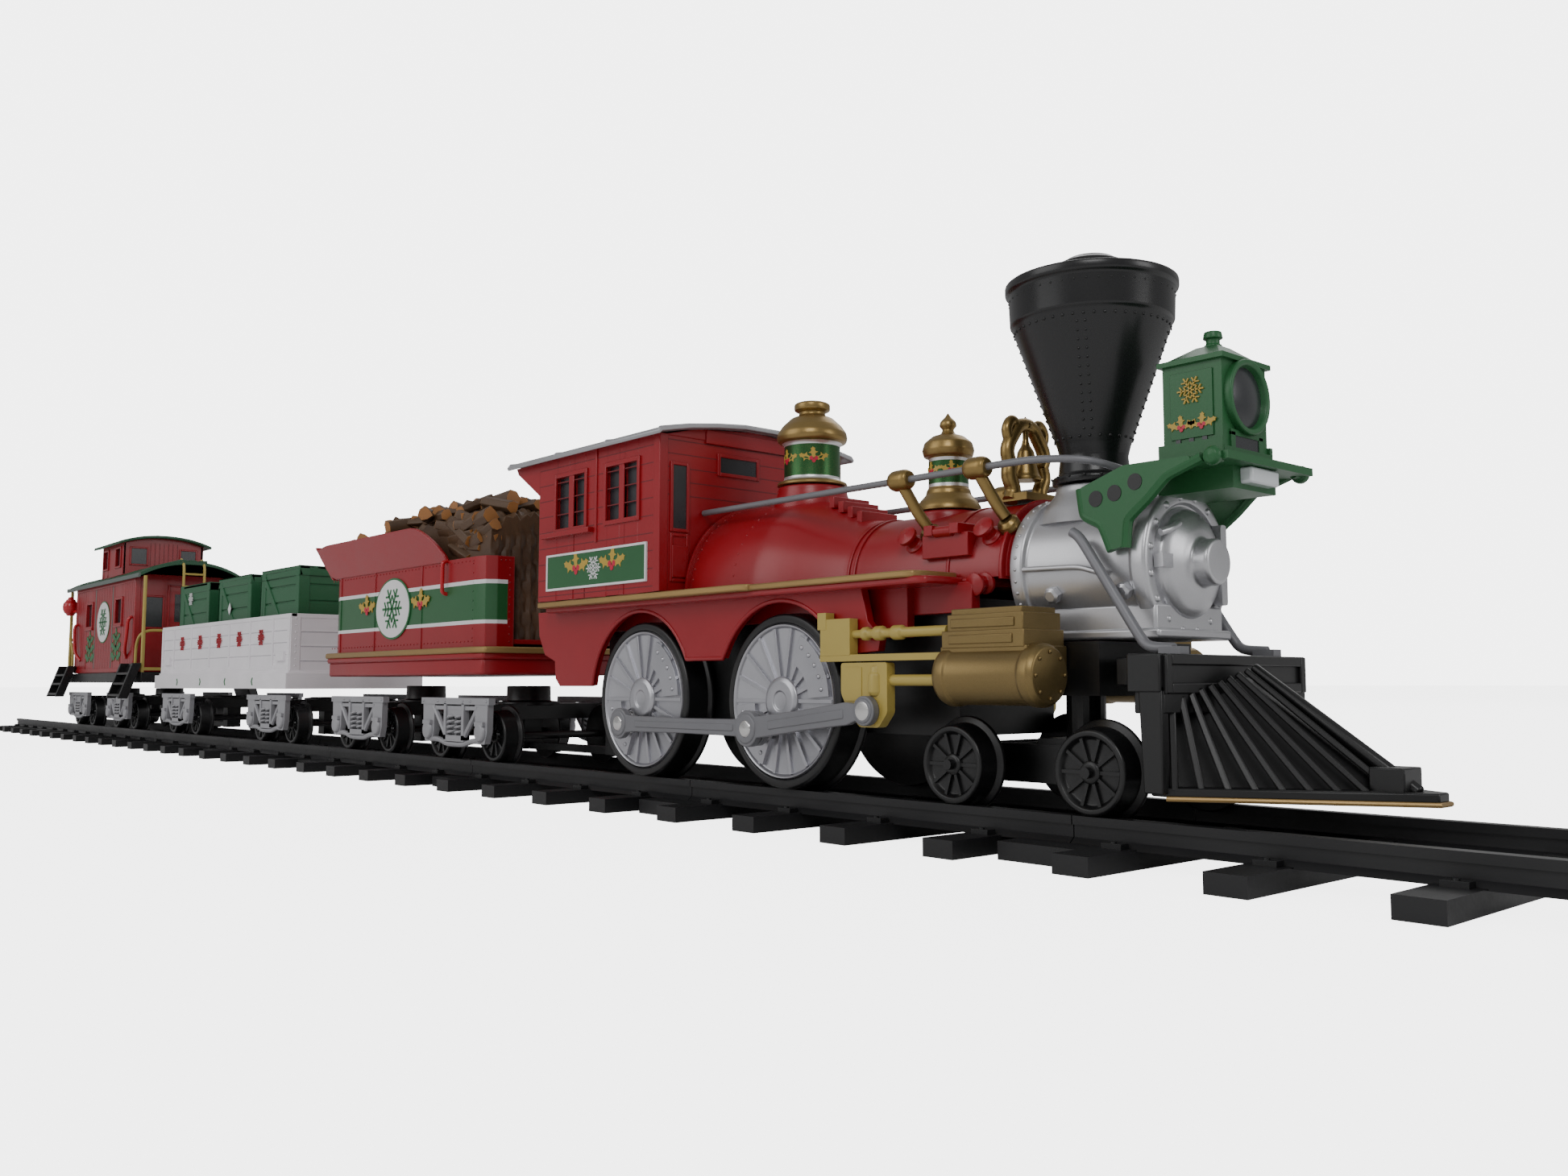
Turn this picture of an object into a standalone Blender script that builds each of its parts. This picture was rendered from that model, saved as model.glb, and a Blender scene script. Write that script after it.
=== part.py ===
"""Battery train set: a four-coupled locomotive, tender, gondola and caboose on nine straight tracks.

+X is the way the train faces, +Y is its left side and +Z is up. The model stands on z = 0 and its
length is centred on x = 0. Sizes are in millimetres and become metres in node().
"""

import math

import bmesh
import bpy
from mathutils import Matrix, Vector

MM = 0.001
GAP = 0.3                       # clearance between pieces that touch on the real set
RUNNING_GAP = 0.25              # clearance of a shaft in its bearing

# Track
SECTIONS_PER_NODE = 3
TRACK_NODES = 3
SECTION_LENGTH = 146.0
SLEEPERS_PER_SECTION = 4
SLEEPER_PITCH = 36.1
SLEEPER_START = 8.2
SLEEPER_WIDTH = 9.4
SLEEPER_HALF_LENGTH = 45.2
SLEEPER_HEIGHT = 4.4
RAIL_TOP = 10.5
RAIL_OUTER = 27.0
RAIL_HEAD_WIDTH = 3.4
RAIL_HEAD_DEPTH = 2.0
RAIL_WEB_WIDTH = 1.8
RAIL_FOOT_WIDTH = 5.4
RAIL_FOOT_DEPTH = 1.2
JOINER_BACK = 14.0
JOINER_HALF_WIDTH = 36.5
JOINER_HEIGHT = 3.9

# Running gear shared by the three cars
WHEEL_RADIUS = 9.7
FLANGE_RADIUS = 12.0
FLANGE_OUTER = 22.3
FLANGE_WIDTH = 1.6
WHEEL_FACE = 28.0
AXLE_RADIUS = 1.6
WHEEL_SEGMENTS = 12
TRUCK_WHEELBASE = 45.0
TRUCK_FRAME_LENGTH = 57.0
TRUCK_FRAME_INNER = 30.2
TRUCK_FRAME_OUTER = 33.4
TRUCK_FRAME_TOP = 34.8
TRUCK_FRAME_BOTTOM = 17.8
BOLSTER_LENGTH = 22.0
BOLSTER_BOTTOM = 26.0
BOLSTER_TOP = 33.0
BOLSTER_POST_RADIUS = 9.0
COUPLER_LENGTH_GAP = 1.2
COUPLER_HALF_WIDTH = 4.0
COUPLER_Z = (17.0, 22.0)

# Locomotive, measured along X from its front driving axle
LOCO_X = 419.8
DRIVER_RADIUS = 24.9
DRIVER_FLANGE_RADIUS = 26.8
DRIVER_DISC_RADIUS = 21.8
DRIVER_FACE = 30.0
DRIVER_SPACING = 70.0
DRIVER_HUB_RADIUS = 6.2
DRIVER_AXLE_RADIUS = 3.0
CRANK_RADIUS = 10.6
CRANK_ANGLE = math.radians(228)
CRANK_PIN_RADIUS = 2.6
SIDE_ROD_OUTER = 34.6
SIDE_ROD_THICKNESS = 2.4
MAIN_ROD_OUTER = 37.6
MAIN_ROD_THICKNESS = 2.4
CROSSHEAD_PIN = (40.8, 33.5)
CROSSHEAD_OUTER = MAIN_ROD_OUTER - MAIN_ROD_THICKNESS - GAP
GUIDE_Z = (46.4, 48.2)
VALVE_Z = 53.6
COLLAR_DEPTH = 3.1
PISTON_Y = 32.8
PISTON_Z = 41.4
PISTON_RADIUS = 1.5
PISTON_ROD_LENGTH = 24.0
PISTON_STROKE = 18.0
PONY_WHEELBASE = 41.4
PONY_PIVOT = 83.1
CYLINDER_X = (65.5, 95.2)
CYLINDER_Y = 31.0
CYLINDER_Z = 42.4
CYLINDER_RADIUS = 7.3
BOILER_Z = 68.7
BOILER_RADIUS = 18.6
FIREBOX_RADIUS = 29.4
SMOKEBOX_X = (74.4, 112.2)
SMOKEBOX_RADIUS = 17.6
SADDLE_Z = BOILER_Z - SMOKEBOX_RADIUS - 0.7
STACK_X = 86.9
STACK_Z = (90.5, 142.0)
SAND_DOME_X = -20.5
STEAM_DOME_X = 37.3
BELL_X = 65.0
CAB_X = (-123.1, -49.1)
CAB_HALF_WIDTH = 38.6
CAB_Z = (69.6, 119.6)
CAB_WALL = 2.4
ROOF_X = (-141.6, -44.7)
ROOF_HALF_WIDTH = 41.6
ROOF_EAVE_Z = 119.9
ROOF_RIDGE_Z = 125.0
ROOF_THICKNESS = 2.4
BOARD_Z = (66.9, 69.3)
BOARD_X = (-124.0, 74.1)
BOARD_HALF_WIDTH = 37.6
SKIRT_OUTER = 31.5
SKIRT_THICKNESS = 2.6
SKIRT_ARCH_RADIUS = 28.6
CHASSIS_HALF_WIDTH = 19.5
CHASSIS_X = (-106.0, 58.0)
DRAWBAR_END = -124.0
PILOT_X = 126.0
PILOT_HALF_WIDTH = 31.8
PILOT_TOP = 47.1
PILOT_TIP_X = 170.6
PILOT_BASE_Z = (15.5, 18.3)
LAMP_X = (113.5, 128.8)
LAMP_HALF_WIDTH = 9.7
LAMP_Z = (91.2, 114.6)

# Tender, measured from its middle
TENDER_X = 175.0
TENDER_TRUCK = 48.0
TENDER_HALF_LENGTH = 75.5
TENDER_HALF_WIDTH = 35.0
TENDER_LIP_HALF_LENGTH = 81.0
TENDER_LIP_HALF_WIDTH = 38.6
TENDER_LIP_Z = (52.4, 55.0)
TENDER_BASE_Z = 44.2
TENDER_TOP_Z = 90.2
TENDER_LEG_INNER = 22.5
FLARE_TOP_Z = 105.2
FLARE_OUT = 5.4
LOAD_TOP_Z = 118.0

# Gondola
GONDOLA_X = -69.0
GONDOLA_TRUCK = 78.5
GONDOLA_HALF_LENGTH = 111.0
GONDOLA_HALF_WIDTH = 33.0
GONDOLA_Z = (38.2, 76.5)
GONDOLA_SILL_OUT = 3.8
GONDOLA_SILL_HEIGHT = 8.2
GONDOLA_WALL = 3.0
GONDOLA_FLOOR = 4.0
CRATE_LENGTH = GONDOLA_HALF_LENGTH * 56.0 / 111.0
CRATE_PITCH = GONDOLA_HALF_LENGTH * 73.0 / 111.0
CRATE_HALF_WIDTH = 26.0
CRATE_TOP_Z = 102.4

# Caboose
CABOOSE_X = -338.5
CABOOSE_TRUCK = 56.0
CABOOSE_HALF_LENGTH = 82.5
CABOOSE_HALF_WIDTH = 31.0
CABOOSE_DECK_HALF_LENGTH = 106.0
CABOOSE_DECK_Z = (42.4, 49.0)
CABOOSE_ROOF_HALF_LENGTH = 101.0
CABOOSE_ROOF_HALF_WIDTH = 34.5
CABOOSE_EAVE_Z = 114.4
CABOOSE_CROWN_Z = 124.6
CUPOLA_X = (-28.5, 28.5)
CUPOLA_HALF_WIDTH = 27.0
CUPOLA_EAVE_Z = 142.4
CUPOLA_CROWN_Z = 149.2
CABOOSE_WINDOWS = (-41.0, 41.0)
STEP_LENGTH = 32.0
STEP_Z = (31.5, 55.0)

MATERIALS = {
    "track_black": ((0.020, 0.020, 0.022), 0.45, 0.0),
    "frame_black": ((0.018, 0.018, 0.019), 0.38, 0.0),
    "train_red": ((0.47, 0.025, 0.035), 0.33, 0.0),
    "train_green": ((0.045, 0.15, 0.055), 0.42, 0.0),
    "brass_paint": ((0.31, 0.22, 0.09), 0.36, 0.7),
    "gold_plastic": ((0.55, 0.45, 0.14), 0.34, 0.0),
    "silver_paint": ((0.60, 0.60, 0.62), 0.30, 0.55),
    "grey_plastic": ((0.30, 0.30, 0.32), 0.45, 0.0),
    "wheel_silver": ((0.50, 0.50, 0.52), 0.35, 0.3),
    "cab_roof_grey": ((0.42, 0.42, 0.44), 0.38, 0.2),
    "window_grey": ((0.045, 0.045, 0.048), 0.50, 0.0),
    "wood_load": ((0.16, 0.09, 0.035), 0.55, 0.0),
    "car_white": ((0.78, 0.76, 0.79), 0.42, 0.0),
}

# ---------------------------------------------------------------- shape helpers


def box(x, y, z):
    """A closed box between three (low, high) pairs."""
    shape = bmesh.new()
    bmesh.ops.create_cube(shape, size=1.0)
    low = Vector((x[0], y[0], z[0]))
    high = Vector((x[1], y[1], z[1]))
    size = high - low
    place = Matrix.Translation((low + high) / 2) @ Matrix.Diagonal(size.to_4d())
    bmesh.ops.transform(shape, matrix=place, verts=shape.verts)
    return shape


def side_pair(side, inner, outer):
    """A (low, high) Y pair on one side: side is +1 for left and -1 for right."""
    return (inner, outer) if side > 0 else (-outer, -inner)


def turned(profile, axis, centre, segments):
    """A closed solid of revolution. profile lists (distance along the axis, radius)."""
    shape = bmesh.new()
    rings = []
    for along, radius in profile:
        if radius <= 1e-6:
            rings.append([shape.verts.new(on_axis(axis, centre, along, 0.0, 0.0))])
            continue
        ring = []
        for step in range(segments):
            angle = 2 * math.pi * (step + 0.5) / segments
            point = on_axis(axis, centre, along, radius * math.cos(angle), radius * math.sin(angle))
            ring.append(shape.verts.new(point))
        rings.append(ring)
    for first, second in zip(rings, rings[1:]):
        join_rings(shape, first, second)
    for end in (rings[0], rings[-1]):
        if len(end) > 1:
            shape.faces.new(end)
    bmesh.ops.recalc_face_normals(shape, faces=shape.faces)
    return shape


def on_axis(axis, centre, along, across, up):
    """A point given by its distance along an axis and its two distances from it."""
    offsets = {"X": (along, across, up), "Y": (across, along, up), "Z": (across, up, along)}
    return Vector(centre) + Vector(offsets[axis])


def join_rings(shape, first, second):
    """Faces between two rings, either of which may be a single point."""
    count = max(len(first), len(second))
    for step in range(count):
        after = (step + 1) % count
        corners = [first[step % len(first)], first[after % len(first)]]
        corners += [second[after % len(second)], second[step % len(second)]]
        unique = list(dict.fromkeys(corners))
        if len(unique) > 2:
            shape.faces.new(unique)


def rod(axis, centre, radius, length, segments=16):
    """A plain cylinder from its centre point, half its length each way."""
    half = length / 2
    return turned([(-half, radius), (half, radius)], axis, centre, segments)


def bar(start, end, radius, segments=8):
    """A round bar between two points."""
    start = Vector(start)
    end = Vector(end)
    shape = rod("Z", (0, 0, 0), radius, (end - start).length, segments)
    turn = Vector((0, 0, 1)).rotation_difference(end - start).to_matrix().to_4x4()
    bmesh.ops.transform(shape, matrix=Matrix.Translation((start + end) / 2) @ turn, verts=shape.verts)
    return shape


def extruded(outline, axis, span):
    """A closed prism. outline lists the two coordinates other than the axis, in X, Y, Z order."""
    shape = bmesh.new()
    ends = []
    for along in span:
        ring = []
        for first, second in outline:
            point = {
                "X": (along, first, second),
                "Y": (first, along, second),
                "Z": (first, second, along),
            }[axis]
            ring.append(shape.verts.new(point))
        ends.append(ring)
    join_rings(shape, ends[0], ends[1])
    for end in ends:
        shape.faces.new(end)
    bmesh.ops.recalc_face_normals(shape, faces=shape.faces)
    return shape


def lofted(sections):
    """A closed skin through rings of points with the same count."""
    shape = bmesh.new()
    rings = [[shape.verts.new(point) for point in section] for section in sections]
    for first, second in zip(rings, rings[1:]):
        join_rings(shape, first, second)
    shape.faces.new(rings[0])
    shape.faces.new(rings[-1])
    bmesh.ops.recalc_face_normals(shape, faces=shape.faces)
    return shape


def arc(centre, radius, start_degrees, end_degrees, steps):
    """Points on a circle in two coordinates."""
    points = []
    for step in range(steps + 1):
        angle = math.radians(start_degrees + (end_degrees - start_degrees) * step / steps)
        points.append((centre[0] + radius * math.cos(angle), centre[1] + radius * math.sin(angle)))
    return points


def rounded_rectangle(x, y, radius, steps=4):
    """A rectangle's outline with round corners."""
    corners = [(x[1], y[1], 0), (x[0], y[1], 90), (x[0], y[0], 180), (x[1], y[0], 270)]
    points = []
    for corner_x, corner_y, start in corners:
        centre_x = corner_x - radius if corner_x == x[1] else corner_x + radius
        centre_y = corner_y - radius if corner_y == y[1] else corner_y + radius
        points += arc((centre_x, centre_y), radius, start, start + 90, steps)
    return points


def hidden_object(shape):
    """A short-lived object that carries a mesh of flat triangles into a Boolean."""
    mesh = bpy.data.meshes.new("working")
    bmesh.ops.triangulate(shape, faces=shape.faces)
    shape.to_mesh(mesh)
    working = bpy.data.objects.new("working", mesh)
    bpy.context.scene.collection.objects.link(working)
    working.hide_render = True
    working.display_type = "WIRE"
    return working


def boolean(base, others, operation):
    """Joins or cuts closed shapes with the exact Boolean solver."""
    base_object = hidden_object(base)
    tools = [hidden_object(other) for other in others]
    for tool in tools:
        modifier = base_object.modifiers.new("boolean", "BOOLEAN")
        modifier.operation = operation
        modifier.solver = "EXACT"
        modifier.object = tool
    result = bmesh.new()
    result.from_object(base_object, bpy.context.evaluated_depsgraph_get())
    for working in [base_object] + tools:
        mesh = working.data
        bpy.data.objects.remove(working)
        bpy.data.meshes.remove(mesh)
    return result


def fuse(base, *others):
    """One body from shapes that overlap."""
    return boolean(base, others, "UNION")


def cut(base, *others):
    """The first shape with the others taken out of it."""
    return boolean(base, others, "DIFFERENCE")


# ---------------------------------------------------------------- scene helpers


def clear_scene():
    """Starts from an empty scene."""
    for item in list(bpy.data.objects):
        bpy.data.objects.remove(item, do_unlink=True)


def make_material(name):
    """A Principled material from the table of finishes."""
    existing = bpy.data.materials.get(name)
    if existing:
        return existing
    colour, roughness, metallic = MATERIALS[name]
    material = bpy.data.materials.new(name)
    material.use_nodes = True
    shader = material.node_tree.nodes["Principled BSDF"]
    shader.inputs["Base Color"].default_value = (*colour, 1.0)
    shader.inputs["Roughness"].default_value = roughness
    shader.inputs["Metallic"].default_value = metallic
    material.diffuse_color = (*colour, 1.0)
    return material


def pivot(name, place, parent=None):
    """An empty on a joint's axis. place is in millimetres in the world."""
    empty = bpy.data.objects.new(name, None)
    bpy.context.scene.collection.objects.link(empty)
    empty["place"] = tuple(place)
    attach(empty, place, parent)
    return empty


def attach(item, place, parent):
    """Places an object in the world through its parent, which is never turned."""
    offset = Vector(place)
    if parent is not None:
        item.parent = parent
        offset = offset - Vector(parent["place"])
    item.location = offset * MM


def node(name, shape, material, parent):
    """One named sub-part with its origin on its parent's place."""
    place = Vector(parent["place"])
    bmesh.ops.remove_doubles(shape, verts=shape.verts, dist=0.0005)
    bmesh.ops.dissolve_limit(shape, angle_limit=math.radians(0.05), verts=shape.verts, edges=shape.edges)
    bmesh.ops.transform(shape, matrix=Matrix.Scale(MM, 4) @ Matrix.Translation(-place), verts=shape.verts)
    mesh = bpy.data.meshes.new(name)
    shape.to_mesh(mesh)
    shape.free()
    mesh.materials.append(make_material(material))
    mesh.shade_smooth()
    mesh.set_sharp_from_angle(angle=math.radians(35))
    item = bpy.data.objects.new(name, mesh)
    bpy.context.scene.collection.objects.link(item)
    attach(item, place, parent)
    return item


# ---------------------------------------------------------------- track

TRACK_LENGTH = TRACK_NODES * SECTIONS_PER_NODE * SECTION_LENGTH


def rail_outline():
    """A rail's section as (y, z) points, with its head, web and foot centred on y = 0."""
    head_z = RAIL_TOP - RAIL_HEAD_DEPTH
    foot_z = SLEEPER_HEIGHT + RAIL_FOOT_DEPTH
    right = [
        (RAIL_FOOT_WIDTH / 2, SLEEPER_HEIGHT - GAP),
        (RAIL_WEB_WIDTH / 2, foot_z),
        (RAIL_WEB_WIDTH / 2, head_z),
        (RAIL_HEAD_WIDTH / 2, head_z),
        (RAIL_HEAD_WIDTH / 2, RAIL_TOP),
    ]
    return right + [(-y, z) for y, z in reversed(right)]


def track_section(start_x):
    """The pieces of one moulded section: two rails, its sleepers and the joiner at its rear end."""
    pieces = []
    rail_y = RAIL_OUTER - RAIL_HEAD_WIDTH / 2
    for side in (-1, 1):
        outline = [(y + side * rail_y, z) for y, z in rail_outline()]
        pieces.append(extruded(outline, "X", (start_x + GAP / 2, start_x + SECTION_LENGTH - GAP / 2)))
    for index in range(SLEEPERS_PER_SECTION):
        rear = start_x + SLEEPER_START + index * SLEEPER_PITCH
        reach = (-SLEEPER_HALF_LENGTH, SLEEPER_HALF_LENGTH)
        pieces.append(box((rear, rear + SLEEPER_WIDTH), reach, (0, SLEEPER_HEIGHT)))
    return pieces


def joiner(start_x):
    """The flat plate that carries one section's rails into the next."""
    reach = (-JOINER_HALF_WIDTH, JOINER_HALF_WIDTH)
    return box((start_x - JOINER_BACK, start_x + SLEEPER_START + 1.0), reach, (0, JOINER_HEIGHT))


def inner_joiner(start_x):
    """A joiner inside a run of sections, raised so that it holds the rails before and after it."""
    reach = (-JOINER_HALF_WIDTH, JOINER_HALF_WIDTH)
    top = SLEEPER_HEIGHT - GAP / 4
    return box((start_x - JOINER_BACK, start_x + SLEEPER_START + 1.0), reach, (0, top))


def build_track(root):
    """Straight sections, joined in threes."""
    for index in range(TRACK_NODES):
        first_x = (JOINER_BACK - TRACK_LENGTH) / 2 + index * SECTIONS_PER_NODE * SECTION_LENGTH
        pieces = []
        for section in range(SECTIONS_PER_NODE):
            start_x = first_x + section * SECTION_LENGTH
            pieces += track_section(start_x)
            pieces.append(joiner(start_x) if section == 0 else inner_joiner(start_x))
        node(f"track_{index + 1}", fuse(*pieces), "track_black", root)


# ---------------------------------------------------------------- wheels and trucks


def symmetric(half_profile):
    """A full profile from its positive half, which is listed from the middle outwards."""
    return [(-along, radius) for along, radius in reversed(half_profile)] + half_profile


def small_wheelset(centre, axle_end):
    """Two dished, flanged wheels and their axle, turned as one. The axle may stand out past them."""
    inner = FLANGE_OUTER - FLANGE_WIDTH
    radius = WHEEL_RADIUS
    half = [
        (inner, AXLE_RADIUS),
        (inner, FLANGE_RADIUS),
        (FLANGE_OUTER, FLANGE_RADIUS - 0.4),
        (FLANGE_OUTER, radius + 0.15),
        (WHEEL_FACE, radius),
        (WHEEL_FACE - 1.2, radius - 1.9),
    ]
    if axle_end > WHEEL_FACE:
        half += [(WHEEL_FACE - 0.8, AXLE_RADIUS), (axle_end, AXLE_RADIUS), (axle_end, 0)]
    else:
        half += [(WHEEL_FACE - 0.8, 0)]
    return turned(symmetric(half), "Y", centre, WHEEL_SEGMENTS)


def build_small_wheelset(name, x, material, parent, axle_end=0.0):
    """A car's or pony truck's wheelset, with its pivot on the axle."""
    centre = (x, 0, RAIL_TOP + RUNNING_GAP + WHEEL_RADIUS)
    axle = pivot(f"{name}_axis", centre, parent)
    node(name, small_wheelset(centre, axle_end), material, axle)


def truck_side(side, centre_x):
    """An arch-bar side frame: top bar, two pedestals, a spring plank and a sagging bottom bar."""
    half = TRUCK_FRAME_LENGTH / 2
    reach = side_pair(side, TRUCK_FRAME_INNER, TRUCK_FRAME_OUTER)
    top = TRUCK_FRAME_TOP
    low = TRUCK_FRAME_BOTTOM
    outline = [
        (-half, low + 3.0), (-half * 0.55, low + 3.0), (-half * 0.3, low), (half * 0.3, low),
        (half * 0.55, low + 3.0), (half, low + 3.0), (half, top), (-half, top),
    ]
    plate = extruded([(centre_x + x, z) for x, z in outline], "Y", reach)
    holes = []
    through = (reach[0] - 1, reach[1] + 1)
    for end in (-1, 1):
        window = [(end * 6.5, low + 7.0), (end * 15.0, top - 4.5), (end * 6.5, top - 4.5)]
        holes.append(extruded([(centre_x + x, z) for x, z in window], "Y", through))
        recess_outer = TRUCK_FRAME_OUTER - 1.2
        middle = side * (TRUCK_FRAME_INNER - 1 + recess_outer) / 2
        depth = recess_outer - TRUCK_FRAME_INNER + 1
        axle_z = RAIL_TOP + RUNNING_GAP + WHEEL_RADIUS
        bearing = (centre_x + end * TRUCK_WHEELBASE / 2, middle, axle_z)
        holes.append(rod("Y", bearing, AXLE_RADIUS + RUNNING_GAP, depth, 8))
    return cut(plate, *holes)


def build_truck(name, car_x, offset, post_top, couple_to, parent):
    """A four-wheel truck that swivels under a car. couple_to is where its coupler ends, or None."""
    centre_x = car_x + offset
    swivel = pivot(f"{name}_swivel", (centre_x, 0, BOLSTER_TOP), parent)
    reach = (-TRUCK_FRAME_INNER - 1, TRUCK_FRAME_INNER + 1)
    half = BOLSTER_LENGTH / 2
    parts = [truck_side(side, centre_x) for side in (-1, 1)]
    shape = box((centre_x - half, centre_x + half), reach, (BOLSTER_BOTTOM, BOLSTER_TOP))
    parts.append(rod("Z", (centre_x, 0, (BOLSTER_TOP + post_top) / 2 - 0.5), BOLSTER_POST_RADIUS,
                     post_top - BOLSTER_TOP + 1, 12))
    if couple_to is not None:
        parts += coupler(centre_x, couple_to)
    node(name, fuse(shape, *parts), "frame_black", swivel)
    axle_end = TRUCK_FRAME_OUTER - 1.2 - RUNNING_GAP
    for index, end in enumerate((-1, 1)):
        axle_x = centre_x + end * TRUCK_WHEELBASE / 2
        build_small_wheelset(f"{name}_wheelset_{index + 1}", axle_x, "frame_black", swivel, axle_end)


def coupler(centre_x, end_x):
    """A drawbar that dips below the bolster, passes under the axle and rises to a flat head."""
    direction = 1 if end_x > centre_x else -1
    low, high = COUPLER_Z
    axle_clear = WHEEL_RADIUS + RAIL_TOP - AXLE_RADIUS - 1.5
    arm_top = min(high, axle_clear)
    arm = sorted((centre_x, end_x))
    drop = sorted((centre_x - direction * 4, centre_x + direction * 4))
    head = sorted((end_x - direction * 7, end_x))
    return [
        box(drop, (-COUPLER_HALF_WIDTH, COUPLER_HALF_WIDTH), (arm_top - 3, BOLSTER_BOTTOM + 0.5)),
        box(arm, (-COUPLER_HALF_WIDTH / 2, COUPLER_HALF_WIDTH / 2), (arm_top - 3, arm_top)),
        box(head, (-COUPLER_HALF_WIDTH, COUPLER_HALF_WIDTH), (arm_top - 3, high + 3)),
    ]


# ---------------------------------------------------------------- locomotive


def loco(x):
    """A locomotive distance as a world X."""
    return LOCO_X + x


def loco_span(pair):
    """A pair of locomotive distances as world X values."""
    return (loco(pair[0]), loco(pair[1]))


def driver_centre(index):
    """The middle of a driving axle: 0 is the front one."""
    return (loco(-index * DRIVER_SPACING), 0, RAIL_TOP + RUNNING_GAP + DRIVER_RADIUS)


def crank_pin(index):
    """World X and Z of a driving wheel's crank pin."""
    centre = driver_centre(index)
    return (centre[0] + CRANK_RADIUS * math.cos(CRANK_ANGLE),
            centre[2] + CRANK_RADIUS * math.sin(CRANK_ANGLE))


def driving_wheelset(centre):
    """Two big wheels with black tyres, sunk faces and hubs, and their axle, turned as one."""
    inner = FLANGE_OUTER - FLANGE_WIDTH
    half = [
        (inner, DRIVER_AXLE_RADIUS),
        (inner, DRIVER_FLANGE_RADIUS),
        (FLANGE_OUTER, DRIVER_FLANGE_RADIUS - 0.4),
        (FLANGE_OUTER, DRIVER_RADIUS + 0.1),
        (DRIVER_FACE, DRIVER_RADIUS),
        (DRIVER_FACE, DRIVER_DISC_RADIUS),
        (DRIVER_FACE - 2.0, DRIVER_DISC_RADIUS - 1.0),
        (DRIVER_FACE - 2.4, DRIVER_HUB_RADIUS + 1.0),
        (DRIVER_FACE + 0.6, DRIVER_HUB_RADIUS),
        (DRIVER_FACE + 0.6, 0),
    ]
    return turned(symmetric(half), "Y", centre, 20)


def build_driver(index, name, parent):
    """A driving wheelset with the crank pins that carry the rods."""
    centre = driver_centre(index)
    axle = pivot(f"{name}_axis", centre, parent)
    pin_x, pin_z = crank_pin(index)
    pin_end = MAIN_ROD_OUTER + 0.5 if index == 0 else SIDE_ROD_OUTER + 0.5
    parts = []
    for side in (-1, 1):
        reach = side_pair(side, DRIVER_FACE - 3.0, pin_end)
        pin_centre = (pin_x, sum(reach) / 2, pin_z)
        parts.append(rod("Y", pin_centre, CRANK_PIN_RADIUS, reach[1] - reach[0], 12))
        boss_reach = side_pair(side, DRIVER_FACE - 3.0, DRIVER_FACE + 0.6)
        boss_centre = (pin_x, sum(boss_reach) / 2, pin_z)
        parts.append(rod("Y", boss_centre, CRANK_PIN_RADIUS + 1.6, boss_reach[1] - boss_reach[0], 12))
    node(name, fuse(driving_wheelset(centre), *parts), "wheel_silver", axle)
    return axle


def rod_outline(start, end, end_radius, waist):
    """A flat rod's outline in (x, z): round ends and a thinner waist."""
    start = Vector(start)
    end = Vector(end)
    along = (end - start).normalized()
    up = Vector((-along.y, along.x))
    points = []
    for centre, direction in ((start, -1), (end, 1)):
        for step in range(9):
            angle = math.radians(-60 + 120 * step / 8) + (math.pi if direction < 0 else 0)
            points.append(centre + end_radius * (along * math.cos(angle) + up * math.sin(angle)))
        if direction < 0:
            points.append(start + along * end_radius * 1.8 - up * waist)
            points.append(end - along * end_radius * 1.8 - up * waist)
    points.append(end - along * end_radius * 1.8 + up * waist)
    points.append(start + along * end_radius * 1.8 + up * waist)
    return [tuple(point) for point in points]


def build_rod(name, side, pins, outer, thickness, end_radius, waist, open_pins, parent):
    """A flat rod on its crank pins. open_pins are the pins that get a hole."""
    reach = side_pair(side, outer - thickness, outer)
    shape = extruded(rod_outline(pins[0], pins[1], end_radius, waist), "Y", reach)
    hole_radius = CRANK_PIN_RADIUS + RUNNING_GAP
    holes = [rod("Y", (x, sum(reach) / 2, z), hole_radius, thickness + 2, 16) for x, z in open_pins]
    axis = pivot(f"{name}_axis", (pins[0][0], 0, pins[0][1]), parent)
    node(name, cut(shape, *holes), "grey_plastic", axis)


def build_crosshead(name, side, parent):
    """The hanging plate that slides along the guide bar and pushes the piston rod."""
    pin_x, pin_z = loco(CROSSHEAD_PIN[0]), CROSSHEAD_PIN[1]
    rail = pivot(f"{name}_slide", (pin_x, 0, PISTON_Z), parent)
    reach = side_pair(side, CROSSHEAD_OUTER - 3.0, CROSSHEAD_OUTER)
    middle = sum(reach) / 2
    plate = box((pin_x - 10.5, pin_x + 6.4), reach, (pin_z + 2, GUIDE_Z[0] - GAP))
    boss = rod("Y", (pin_x, middle, pin_z), 4.6, 3.0, 12)
    cup = rod("Z", (pin_x - 2.0, side * (CROSSHEAD_OUTER - 1.5), PISTON_Z), 1.5, 8.0, 8)
    piston = rod("X", (pin_x + 5.0 + PISTON_ROD_LENGTH / 2, side * PISTON_Y, PISTON_Z), PISTON_RADIUS,
                 PISTON_ROD_LENGTH, 10)
    node(name, fuse(plate, boss, cup, piston), "gold_plastic", rail)


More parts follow.
